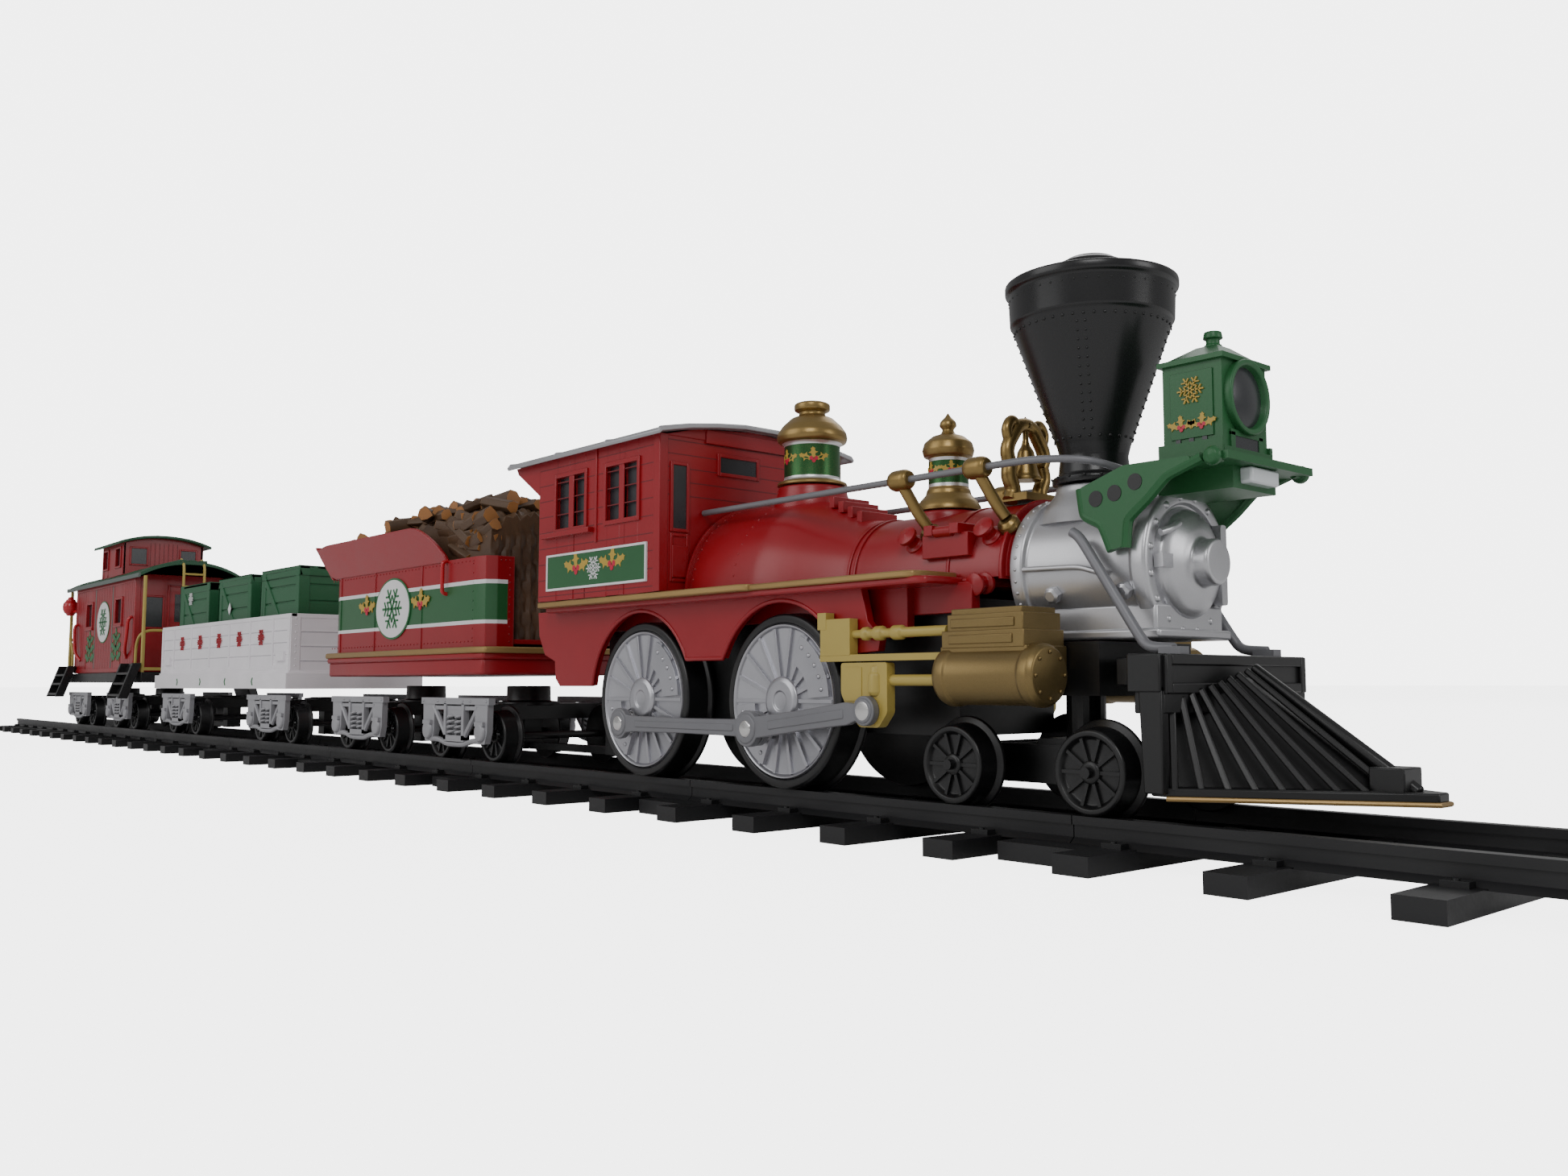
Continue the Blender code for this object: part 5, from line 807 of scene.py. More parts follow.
def add_cab():
    """Walls, frames, corner posts, front panels and windows, armrests, board lines and panes."""
    x0, x1 = CAB_X
    z0, z1 = 69.4, 119.4
    panes = [(x0 + 12.3, x0 + 20.4), (x0 + 23.5, x0 + 30.7), (x0 + 44.0, x0 + 51.5), (x0 + 54.4, x0 + 62.1)]
    holes = [(a, b, 94.2, 112.0) for a, b in panes]
    walls = wall_with_holes((x0, x1), (z0, z1), -CAB_Y, 2.2, holes)
    trims = sum(picture_frame((panes[k][0], panes[k + 1][1]), (94.2, 112.0), -CAB_Y, 1.5, 0.7)
                for k in (0, 2))
    mullions = sum(block((panes[k][1], panes[k + 1][0]), (-CAB_Y - 0.4, -CAB_Y + 1), (94, 112.2))
                   for k in (0, 2))
    seam = block((x0 + 37.0, x0 + 38.2), (-CAB_Y - 0.5, -CAB_Y + 1), (87.6, z1))
    rest = block((x0 + 4.3, x0 + 35.8), (-CAB_Y - 2.2, -CAB_Y + 1), (91.2, 93.0))
    corner = block((x1 - 3.0, x1 + 0.4), (-CAB_Y - 0.3, -CAB_Y + 3), (z0, z1))
    front = block((x1 - 2.2, x1), (-CAB_Y + 0.2, CAB_Y - 0.2), (z0, z1)) + \
        block((x1 - 0.4, x1 + 1.0), (-21, 21), (118.0, 122.5))
    face_trim = (picture_frame((0, 5.2), (89.5, 109.7), 0, 1.1, 0.7) +
                 block((-0.3, 5.5), (-0.6, 0.4), (74.0, 84.0)) +
                 picture_frame((0, 5.2), (73.6, 87.0), 0, 1.0, 0.5)).turned("Z", 90)
    face_trim = face_trim.moved(x=x1, y=-33.6)
    high_trim = picture_frame((0, 15.2), (109.2, 114.2), 0, 1.2, 0.7).turned("Z", 90).moved(x=x1, y=-14.9)
    cap = np.array([(-38.4, 119.0), (-36.0, 119.4), (-24, 122.4), (0, 124.2), (24, 122.4), (36.0, 119.4),
                    (38.4, 119.0)])
    gable = prism(cap, "X", x1 - 2.4, x1 + 0.4) + prism(cap, "X", x0, x0 + 2.4)
    rear = (block((x0, x0 + 2.2), (-CAB_Y + 0.2, -15.5), (z0, z1)) +
            block((x0 - 0.5, x0 + 1.0), (-17.0, -15.2), (z0, 110))).both() + \
        block((x0, x0 + 2.2), (-16, 16), (108, z1))
    wing = prism([(x0 + 0.5, 119.2), (x0 - 17.0, 119.2), (x0 - 15.5, 116.8), (x0 + 0.5, 107.0)], "Y",
                 -CAB_Y, -CAB_Y + 2.0)
    piece("cab_walls", (walls + wing + trims + mullions + seam + rest + corner + face_trim).both() + front +
          high_trim + gable + rear, red, LOCO, ["cab"], bevel=0.35)
    grooves = block((x0 + 0.6, x1 - 0.6), (-CAB_Y - 0.05, -CAB_Y + 0.6), (0, 0.35))
    lines = grooves.at([(0, 0, z) for z in np.arange(71.0, 118.0, 5.6)]).both()
    lines = lines + block((x1 - 0.5, x1 + 0.05), (-37, 37), (0, 0.35)).at(
        [(0, 0, z) for z in np.arange(100.0, 118.0, 4.4)])
    piece("cab_board_lines", lines, material("red_shadow", (0.16, 0.006, 0.01), 0.5), LOCO)
    glass = block((x0 + 11, x0 + 63), (-CAB_Y + 1.3, -CAB_Y + 2.4), (93.5, 112.8)).both() + \
        block((x1 - 0.2, x1 + 0.25), (-33.7, -28.3), (89.4, 109.8)).both() + \
        block((x1 - 0.2, x1 + 0.25), (-15, 0.4), (109.1, 114.3)) + \
        block((x0 + 3.4, x1 - 3.4), (-34.6, 34.6), (80.4, 116.4))
    piece("cab_panes", glass, dark_pane, LOCO, ["cab_windows"])


def add_sign(x, z, size, y, body, tag):
    """A green sign with a white border, a star of six arms in the middle and holly both sides."""
    half_x, half_z = size
    plate = block((-half_x, half_x), (-half_z, half_z), (-0.4, 0.5))
    border = picture_frame((-half_x, half_x), (-half_z, half_z), 0, 0.8, 0.7)
    shown = on_side(plate, x, y, z)
    piece(f"{tag}_sign", shown.both(), green, body, bevel=0.15)
    piece(f"{tag}_border", border.moved(x=x, y=y, z=z).both(), white_paint, body, bevel=0.1)
    star = on_side(snowflake(half_z * 0.78), x, y - 0.45, z).both()
    piece(f"{tag}_star", star, white_paint, body)
    add_holly(x, z, y - 0.5, body, tag, half_z * 1.35, half_z * 2.0)


def add_holly(x, z, y, body, tag, size, spread):
    """Two sprigs on each side of a place."""
    leaves = on_side(sprig_leaves(size), x - spread, y, z) + \
        on_side(sprig_leaves(size).scaled(-1, 1, 1), x + spread, y, z)
    berries = on_side(sprig_berries(size), x - spread, y, z) + on_side(sprig_berries(size), x + spread, y, z)
    piece(f"{tag}_leaves", leaves.both(), leaf_gold, body)
    piece(f"{tag}_berries", berries.both(), berry_red, body)


def add_cab_roof():
    """A shallow arched roof with a turned-down edge and seams across it."""
    y = np.array([-41.9, -41.0, -30, -18, -7, 7, 18, 30, 41.0, 41.9])
    z = np.array([119.2, 120.4, 122.6, 124.2, 125.2, 125.2, 124.2, 122.6, 120.4, 119.2])
    top = np.column_stack([y, z])
    under = np.column_stack([y * 0.985, z - 1.3])[::-1]
    under[:, 1] = np.maximum(under[:, 1], 118.2)
    sheet = prism(np.vstack([top, under]), "X", from_axle(-141.4), from_axle(-44.9))
    seam = prism(np.vstack([top + [0, 0.35], under]), "X", 0, 1.1)
    seams = sum(seam.moved(x=from_axle(x)) for x in (-140.9, -109, -77, -46.4))
    piece("cab_roof_sheet", sheet + seams, roof_grey, LOCO, ["cab_roof"], bevel=0.3)


add_cab()
add_cab_roof()
add_sign(from_axle(-86.0), 79.1, (29.8, 5.5), -CAB_Y, LOCO, "cab")

# %% [markdown]
# ## Running gear
# Cylinders, valve gear, pilot and wheels. Each wheel is drawn once and set on every axle.

# %% Cylinders, guides and crossheads


def add_cylinders():
    """The stepped steam chests and their cylinders, then the gold valve gear behind them."""
    for side, word in ((1, "right"), (-1, "left")):
        c0, c1 = from_axle(65.8), from_axle(95.0)
        chest = block((c0, c1 - 2.6), (-35.2, -20.0), (44.0, 49.4)) + \
            block((c0 + 0.6, c1 - 3.2), (-35.4, -20.2), (49.0, 53.2)) + \
            block((c0 + 1.8, c1 - 4.0), (-34.6, -20.4), (52.8, 57.2)) + \
            block((c0 + 2.4, c1 - 5.0), (-33.8, -21.0), (57.0, 58.6)) + \
            block((c0 - 0.2, c1 - 4), (-30.0, -20.0), (37.8, 45.0))
        for z, y in ((51.1, -35.4), (55.0, -34.6)):
            chest = chest + block((c0 + 3.0, c1 - 6.5), (y - 0.35, y + 0.4), (z - 1.1, z + 1.1))
        drum = lathe([(c0 - 0.6, 0), (c0 - 0.6, 6.9), (c0 + 0.6, 7.5), (c0 + 3.0, 7.5), (c0 + 3.6, 7.1),
                      (c1 - 3.6, 7.1), (c1 - 3.0, 7.5), (c1 - 0.6, 7.5), (c1 + 0.8, 6.6), (c1 + 1.0, 0)], "X",
                     (0, -31.0, 42.4), 56, 0.35)
        bolts, _ = ring_of("X", (c1 + 0.9, -31.0, 42.4), 5.4, 8)
        whole = chest + drum + rivets(bolts, (1, 0, 0), 0.6, 0.5)
        guide = block((from_axle(21.4), c0 + 0.4), (-34.8, -31.9), (46.4, 48.2)) + \
            block((from_axle(21.6), from_axle(33.2)), (-34.9, -31.9), (48.0, 57.8)) + \
            block((from_axle(20.6), from_axle(24.0)), (-35.0, -31.9), (55.0, 59.6)) + \
            lathe([(from_axle(30), 1.1), (from_axle(36.5), 1.1), (from_axle(37), 1.8), (from_axle(38.5), 1.8),
                   (from_axle(39), 1.2), (from_axle(41), 1.2), (from_axle(41.5), 1.9), (from_axle(44), 1.9),
                   (from_axle(44.5), 1.2), (from_axle(47.5), 1.2), (from_axle(48), 1.9), (from_axle(51), 1.9),
                   (from_axle(51.5), 1.3), (c0 + 0.8, 1.3)], "X", (0, -33.1, 53.6), 28, 0.2)
        px, pz = from_axle(40.8), 33.5
        head = prism([(px - 11, 46.0), (px - 11, 38.0), (px - 8.5, 33.8), (px - 4, 29.2), (px + 3, 29.2),
                      (px + 6.2, 33.0), (px + 6.2, 46.0)], "Y", -34.9, -32.0, 0.8) + \
            block((px - 9.5, px - 3.0), (-35.1, -34.4), (36.0, 44.8)) + \
            lathe([(37.4, 0), (37.4, 1.7), (38.4, 2.2), (42.8, 2.2), (43.6, 1.6), (45.0, 1.5),
                   (45.0, 0)], "Z",
                  (px + 1.5, -34.0, 0), 24, 0.2) + \
            lathe([(px + 5.5, 1.45), (px + 29, 1.45)], "X", (0, -32.8, 41.4), 20, 0)
        rim = lathe([(-35.1, 3.9), (-34.0, 3.9)], "Y", (px, 0, pz), 32, 0.1)
        for shape, name, finish, nodes, body, slot, bevel in (
                (whole, "steam_chest", bronze, f"cylinder_{word}", LOCO, "brass_paint", 0.6),
                (guide, "valve_guide", gold, f"guide_{word}", LOCO, "gold_plastic", 0.3),
                (head + rim, "crosshead_plate", gold, f"crosshead_{word}", f"crosshead_{word}",
                 "gold_plastic", 0.35)):
            shown = shape if side > 0 else shape.other_side()
            piece(f"{name}_{word}", shown, finish, body, [nodes], bevel)


def add_pilot():
    """The beam with its recessed face, fanned ribs, gold-edged base and grey braces."""
    front = from_axle(126.0)
    beam = block((front - 9, front - 0.8), (-31.8, 31.8), (38.6, 46.9)) + \
        picture_frame((-28.0, 28.0), (40.6, 44.4), 0, 2.4, 0.9).turned("Z", 90).moved(x=front - 0.8) + \
        block((front - 8, front - 0.6), (-30.6, 30.6), (34.0, 39.0)) + \
        block((front - 22, front - 8), (-17, 17), (40.0, 46.4)) + \
        prism([(front - 6.5, 40), (front - 5.5, 17.0), (front - 0.8, 17.0), (front - 0.8, 40)], "Y", -31.4,
              -28.4).both()
    tip = from_axle(170.0)
    base = prism([(front - 5, -29.5), (front - 1, -29.5), (tip, -2.4), (tip, 2.4), (front - 1, 29.5),
                  (front - 5, 29.5)], "Z", 16.4, 18.4)
    ribs = []
    for share in np.linspace(0.02, 0.93, 9):
        foot = np.array([front - 1 + (tip - 5 - front) * share, -28.6 * (1 - share) - 0.3, 17.6])
        head = np.array([front - 2 + 4.4 * share, -26.5 * (1 - share) - 0.2, 36.6 + 7.2 * share])
        along = (head - foot) / np.linalg.norm(head - foot)
        across = np.array([0.50, -0.86, 0.0])
        normal = np.cross(along, across)
        ring = [-across * 0.75 - normal * 0.5, across * 0.75 - normal * 0.5, across * 0.6 + normal * 1.1,
                -across * 0.6 + normal * 1.1]
        ribs.append(loft([[foot + r for r in ring], [head + r for r in ring]]))
    nose = tube([(tip - 5, 0, 18.0), (front + 3.2, 0, 44.0)], [1.7, 1.3], 8)
    backing = loft([[(front - 4, -27, 17.5), (tip - 10, -1, 17.5), (tip - 10, 1, 17.5),
                     (front - 4, 27, 17.5)],
                    [(front - 4, -25, 36.5), (front + 1.0, -1.5, 42.0), (front + 1.0, 1.5, 42.0),
                     (front - 4, 25, 36.5)]])
    hook = block((tip - 13.5, tip - 6.0), (-4.2, 4.2), (17.6, 23.2))
    piece("pilot_frame", beam + base + sum(ribs).both() + nose + hook + backing, black, LOCO, ["pilot"],
          bevel=0.35)
    edge = [(front - 1, -29.9, 16.1), (tip + 0.3, -2.5, 16.1), (tip + 0.3, 2.5, 16.1),
            (front - 1, 29.9, 16.1)]
    piece("pilot_edge", tube(edge, 0.55, 8), gold_edge, LOCO)
    x1 = from_axle(112.2)
    brace = tube([(x1 - 17.5, -20.2, 76.4), (x1 - 15.2, -20.4, 75.0), (x1 + 0.4, -20.2, 51.4),
                  (x1 + 2.6, -20.2, 48.6), (x1 + 9.5, -20.2, 48.2)], 1.25, 12, 2.2)
    foot = block((x1 + 6.5, x1 + 12), (-22.0, -18.4), (46.8, 48.6))
    piece("smokebox_braces", (brace + foot).both(), rod_grey, LOCO, bevel=0.2)


add_cylinders()
add_pilot()

# %% [markdown]
# ## Wheels and rods
# A driving wheel has a black tyre, sixteen ribs, a hub and two bolted weights. The rods are fluted.

# %% Driving wheels


def driving_face(z):
    """The silver face on the right side, about the axle: disc, ribs, hub, weights and bolts."""
    disc = lathe([(-29.3, 0), (-29.3, 20.8), (-30.0, 21.2), (-30.4, 21.8), (-29.0, 22.2), (-28.4, 22.2)], "Y",
                 (0, 0, z), 96, 0.2)
    rib = block((6.0, 20.9), (-30.0, -29.0), (-0.55, 0.55))
    t = np.radians(np.arange(0, 360, 20.0))
    turns = np.stack([np.stack([np.cos(t), 0 * t, -np.sin(t)], -1), np.stack([0 * t, 0 * t + 1, 0 * t], -1),
                      np.stack([np.sin(t), 0 * t, np.cos(t)], -1)], axis=1)
    ribs = rib.at(np.tile([0, 0, z], (len(t), 1)), turns)
    hub = lathe([(-29.0, 7.2), (-30.4, 6.9), (-31.0, 5.6), (-31.0, 3.0), (-30.6, 2.6), (-30.6, 0)], "Y",
                (0, 0, z), 48, 0.25)
    weights = []
    for middle in (35, 215):
        a = np.radians(np.linspace(middle - 31, middle + 31, 21))
        outer = np.stack([20.2 * np.cos(a), z + 20.2 * np.sin(a)], axis=1)
        inner = np.stack([11.8 * np.cos(a), z + 11.8 * np.sin(a)], axis=1)[::-1]
        weights.append(prism(np.vstack([outer, inner]), "Y", -30.5, -29.0))
        bolts, _ = ring_of("Y", (0, -30.5, z), 17.4, 5, start=middle - 24, stop=middle + 24.1)
        weights.append(rivets(bolts, (0, -1, 0), 0.75, 0.5))
    return disc + ribs + hub + sum(weights)


def driver_tyre(z):
    """The black tyre and flange of one right-hand wheel."""
    return lathe([(-20.8, 0), (-20.8, 26.5), (-21.3, 26.8), (-22.0, 26.6), (-22.4, 25.3), (-29.4, 24.9),
                  (-30.0, 24.4), (-30.1, 22.6), (-29.2, 22.0), (-28.6, 21.8), (-28.6, 0)], "Y", (0, 0, z), 96,
                 0.25)


CRANK = math.radians(228)
PIN = (10.6 * math.cos(CRANK), 10.6 * math.sin(CRANK))


def rod_shape(start, end, y0, y1, big, small, waist):
    """A connecting rod: two round eyes, necks that curve in, and a waist, in the XZ plane."""
    start, end = np.array(start), np.array(end)
    gap = end - start
    length = np.linalg.norm(gap)
    angle = math.degrees(math.atan2(gap[1], gap[0]))
    a = np.radians(np.linspace(35, 325, 17))
    b = np.radians(np.linspace(-145, 145, 17))
    left = np.stack([big * np.cos(a), big * np.sin(a)], axis=1)
    right = np.stack([length + small * np.cos(b), small * np.sin(b)], axis=1)
    lower = [(big * 1.7, -waist), (length / 2, -waist * 0.92), (length - small * 1.7, -waist)]
    upper = [(length - small * 1.7, waist), (length / 2, waist * 0.92), (big * 1.7, waist)]
    body = prism(np.vstack([left, lower, right, upper]), "Y", y0, y1)
    cut_low, cut_high = big * 1.9, length - small * 1.9
    flute = prism([(cut_low, -waist * 0.42), (cut_high, -waist * 0.42), (cut_high, waist * 0.42),
                   (cut_low, waist * 0.42)], "Y", y0 - 0.25, y0 + 0.3, 0.4)
    eyes = lathe([(y0 - 0.35, big * 0.80), (y0 + 0.4, big * 0.86)], "Y", segments=40, soften=0) + \
        lathe([(y0 - 0.35, small * 0.80), (y0 + 0.4, small * 0.86)], "Y", (length, 0, 0), 40, 0)
    return (body + flute + eyes).turned("Y", -angle).moved(x=start[0], z=start[1])


def add_drivers():
    """Two driving axles, their pins and the four rods."""
    for name, place, pin_end in (("driver_front", 0.0, -38.2), ("driver_rear", -70.0, -35.2)):
        x = from_axle(place)
        axle = lathe([(-22, 3.2), (22, 3.2)], "Y", (0, 0, DRIVER_Z), 24, 0)
        tyres = (driver_tyre(DRIVER_Z).both() + axle).moved(x=x)
        piece(f"{name}_tyres", tyres, black, name, [name])
        piece(f"{name}_faces", driving_face(DRIVER_Z).both().moved(x=x), wheel_silver, name,
              bevel=0.15)
        pin = lathe([(-30, 3.8), (-31.0, 3.6), (-31.2, 2.6), (pin_end + 0.5, 2.6), (pin_end, 2.2),
                     (pin_end - 0.1, 0)], "Y", (x + PIN[0], 0, DRIVER_Z + PIN[1]), 32, 0.15)
        piece(f"{name}_pins", pin.both(), chrome, name)
    front = (L + PIN[0], DRIVER_Z + PIN[1])
    rear = (front[0] - DRIVER_SPACING, front[1])
    for side, word in ((1, "right"), (-1, "left")):
        coupling = rod_shape(front, rear, -34.6, -32.4, 5.0, 5.0, 2.5)
        main = rod_shape(front, (from_axle(40.8), 33.5), -37.6, -35.3, 5.2, 3.9, 3.0)
        cap = lathe([(-38.0, 0), (-38.0, 2.4), (-37.6, 2.7), (-36, 2.7)], "Y", (from_axle(40.8), 0, 33.5), 28,
                    0.1)
        for shape, kind, finish in ((coupling, "side_rod", rod_grey), (main, "main_rod", rod_grey)):
            shown = shape if side > 0 else shape.other_side()
            piece(f"{kind}_bar_{word}", shown, finish, f"{kind}_{word}", [f"{kind}_{word}"],
                  bevel=0.35)
        shown = cap if side > 0 else cap.other_side()
        piece(f"main_rod_cap_{word}", shown, chrome, f"main_rod_{word}")


def small_wheel(ribs):
    """A black wheel on the right side about the origin: tyre, flange, dish, ribs and hub."""
    tyre = lathe([(-20.9, 0), (-20.9, 11.7), (-21.3, 12.0), (-22.0, 11.8), (-22.4, 10.2), (-27.6, 9.7),
                  (-28.0, 9.3), (-28.0, 8.3), (-27.0, 7.7), (-26.6, 7.4), (-26.6, 2.9), (-27.6, 2.6),
                  (-27.9, 1.9), (-27.9, 0)], "Y", segments=56, soften=0.2)
    rib = block((2.2, 7.9), (-27.4, -26.4), (-0.42, 0.42))
    t = np.radians(np.arange(ribs) * 360.0 / ribs)
    turns = np.stack([np.stack([np.cos(t), 0 * t, -np.sin(t)], -1), np.stack([0 * t, 0 * t + 1, 0 * t], -1),
                      np.stack([np.sin(t), 0 * t, np.cos(t)], -1)], axis=1)
    axle = lathe([(-29.5, 1.3), (0, 1.5)], "Y", segments=16, soften=0)
    return tyre + rib.at(np.zeros((ribs, 3)), turns) + axle


AXLE_Z = 20.45
wheel_pair = small_wheel(10).both()


def add_wheels():
    """The same wheel pair on the pony truck and on the three cars."""
    pony = from_axle(83.1)
    for number, side in ((1, -1), (2, 1)):
        name = f"pony_wheelset_{number}"
        piece(f"{name}_wheels", wheel_pair.moved(x=pony + side * 20.7, z=AXLE_Z), black, name, [name])
    for car, middle, reach in (("tender", 175.0, 48.0), ("gondola", -69.0, 78.5), ("caboose", -338.5, 56.0)):
        for word, end in (("front", 1), ("rear", -1)):
            for number, side in ((1, -1), (2, 1)):
                name = f"{car}_truck_{word}_wheelset_{number}"
                place = middle + end * reach + side * 22.5
                piece(f"{name}_wheels", wheel_pair.moved(x=place, z=AXLE_Z), black, name, [name])


add_drivers()
add_wheels()

# %% [markdown]
# ## Trucks
# A truck's grey side frame has a top bar, two pedestals, braces, two coil springs and a sagging tie bar.

# %% Trucks


def spring(x, y, low, high, radius, turns):
    """A coil spring: (r cos t, r sin t, z) rising with t."""
    t = np.linspace(0, 2 * np.pi * turns, 12 * turns)
    z = np.linspace(low, high, len(t))
    return tube(np.stack([x + radius * np.cos(t), y + radius * np.sin(t), z], axis=1), 0.55, 6)


def side_frame():
    """The right-hand frame about the truck's middle."""
    y0, y1 = -33.4, -30.6
    top = block((-29, 29), (y0, y1), (32.6, 35.2))
    lower = block((-26, 26), (y0 + 0.5, y1), (30.4, 32.0))
    boxes, journals = [], []
    for side in (-1, 1):
        x = side * 22.5
        boxes.append(prism([(x - 5.2, 32.8), (x - 4.8, 22.0), (x - 3.0, 17.6), (x + 3.0, 17.6),
                            (x + 4.8, 22.0),
                            (x + 5.2, 32.8)], "Y", y0 + 0.3, y1))
        journals.append(lathe([(y1, 3.8), (y0 - 0.2, 3.8), (y0 - 1.0, 3.2), (y0 - 1.3, 0)], "Y",
                              (x, 0, AXLE_Z + 1.6), 28, 0.3))
        journals.append(block((x - 3.4, x + 3.4), (y0 - 0.9, y1), (AXLE_Z + 4.0, AXLE_Z + 5.6)))
    brace = tube([(-19.0, y0 + 1.2, 31.6), (-8.2, y0 + 1.2, 20.4)], 1.15, 8) + \
        tube([(8.2, y0 + 1.2, 20.4), (19.0, y0 + 1.2, 31.6)], 1.15, 8)
    tie = tube([(-22.5, y0 + 1.2, 18.4), (-14, y0 + 1.2, 18.6), (-7.5, y0 + 1.2, 16.8), (7.5, y0 + 1.2, 16.8),
                (14, y0 + 1.2, 18.6), (22.5, y0 + 1.2, 18.4)], 1.1, 8, 3.0)
    posts = block((-8.6, -6.6), (y0, y1), (18.6, 33.0)) + block((6.6, 8.6), (y0, y1), (18.6, 33.0))
    plank = block((-8.6, 8.6), (y0, y1), (18.0, 20.4)) + block((-8.0, 8.0), (y0 + 0.6, y1), (28.0, 30.6))
    bolts = rivets([(x, y0, z) for x in (-27, -14, -7.6, 7.6, 14, 27) for z in (33.9,)], (0, -1, 0), 0.6, 0.5)
    springs = spring(-3.4, y0 + 1.6, 20.2, 28.2, 2.1, 4) + spring(3.4, y0 + 1.6, 20.2, 28.2, 2.1, 4)
    return top + lower + sum(boxes) + sum(journals) + brace + tie + posts + plank + bolts + springs


def add_trucks():
    """Six trucks: grey sides, and a black bolster, centre post and drawbar each."""
    frame_pair = side_frame().both()
    ends = {"tender": (294.6, 69.1), "gondola": (67.9, -206.9), "caboose": (-207.8, -449.8)}
    tops = {"tender": 39.9, "gondola": 33.9, "caboose": 38.1}
    for car, middle, reach in (("tender", 175.0, 48.0), ("gondola", -69.0, 78.5), ("caboose", -338.5, 56.0)):
        for word, end, stop in (("front", 1, ends[car][0]), ("rear", -1, ends[car][1])):
            name = f"{car}_truck_{word}"
            x = middle + end * reach
            piece(f"{name}_sides", frame_pair.moved(x=x), light_grey, name, bevel=0.25)
            low, high = sorted((x, stop))
            middle_bar = block((x - 10.5, x + 10.5), (-31, 31), (26.4, 32.6)) + \
                lathe([(32, 12.5), (33.4, 12.5), (33.8, 9.0), (tops[car], 8.8), (tops[car], 0)], "Z",
                      (x, 0, 0), 40, 0.3) + \
                block((low, high), (-2.0, 2.0), (14.2, 17.0)) + block((x - 4, x + 4), (-4, 4), (14.2, 27)) + \
                block(tuple(sorted((stop, stop - end * 7))), (-4, 4), (14.2, 24.8))
            piece(f"{name}_bolster", middle_bar, black, name, [name], bevel=0.4)


add_trucks()

# %% [markdown]
# ## Tender
# The tender is a horseshoe of riveted plate on a stepped base. Its upper boards flare out over the logs.

# %% Tender
TENDER = "tender"
TENDER_X = 175.0


def rounded_box(x, y, z, radius, soften=0.0):
    """A block whose four upright edges are rounded."""
    corners = [(x[0], y[0]), (x[1], y[0]), (x[1], y[1]), (x[0], y[1])]
    return prism(fillet(corners, radius, closed=True), "Z", z[0], z[1], soften)


def add_tender_body():
    """Base, gold lip, horseshoe wall, rivets, seams, grab irons and the flared boards."""
    x0, x1 = TENDER_X - 75.5, TENDER_X + 75.5
    outer = fillet([(x1, 22.5), (x1, 35.0), (x0, 35.0), (x0, -35.0), (x1, -35.0), (x1, -22.5)], 9.0,
                   closed=False)
    inner = fillet([(x1 - 4.0, -22.5), (x1 - 4.0, -31.0), (x0 + 3.6, -31.0), (x0 + 3.6, 31.0),
                    (x1 - 4.0, 31.0),
                    (x1 - 4.0, 22.5)], 5.5, closed=False)
    wall = prism(np.vstack([outer, inner]), "Z", 54.6, 90.2, 0.3)
    base = rounded_box((x0 - 2.0, x1 + 1.6), (-37.0, 37.0), (44.2, 50.6), 7.0) + \
        rounded_box((x0 - 3.2, x1 + 3.2), (-38.0, 38.0), (50.2, 52.8), 8.0) + \
        rounded_box((x0, x1 - 1.0), (-34.0, 34.0), (52.0, 57.0), 6.0)
    middle = block((x1 - 3.5, x1 - 1.0), (-23, 23), (54.0, 58.0))
    top = line_of((x0 + 2, -35.05, 88.6), (x1 - 10, -35.05, 88.6), 44)
    low = line_of((x0 + 2, -35.05, 57.2), (x1 - 10, -35.05, 57.2), 44)
    edge = line_of((x1 - 10, -35.05, 58.5), (x1 - 10, -35.05, 87.5), 9)
    seams = [line_of((x, -35.05, 58.0), (x, -35.05, 88.0), 13) for x in (x0 + 11, x0 + 48, x0 + 50, x0 + 96)]
    studs = rivets(np.vstack([top, low, edge] + seams), (0, -1, 0), 0.38, 0.28).both()
    leg_line = line_of((x1 + 0.02, -24.6, 57.0), (x1 + 0.02, -24.6, 88.6), 12)
    legs = rivets(leg_line, (1, 0, 0), 0.42, 0.32).both()
    rim = rivets(line_of((x1 + 0.02, -24.6, 88.6), (x1 + 0.02, -28.5, 88.6), 3), (1, 0, 0), 0.4, 0.3).both()
    ribs = [block((x - 0.5, x + 0.5), (-35.35, -34), (55, 90)) for x in (x0 + 11, x0 + 49, x0 + 96)]
    piece("tender_shell", wall + studs + legs + rim + middle + sum(ribs).both(), red_tender, TENDER,
          ["tender_body"], bevel=0.35)
    piece("tender_base", base, red, TENDER, bevel=0.8)
    lip = rounded_box((x0 - 5.6, x1 + 5.4), (-38.6, 38.6), (52.5, 54.9), 9.5)
    piece("tender_lip", lip, gold_edge, TENDER, bevel=0.6)
    iron_line = [(218, -34.8, 90.0), (218, -37.0, 89.4), (218, -37.0, 77.2), (218, -34.8, 76.6)]
    iron = tube(iron_line, 0.8, 10, 1.0)
    piece("tender_grab_irons", iron.both(), bright_red, TENDER)
    add_flare(x0)


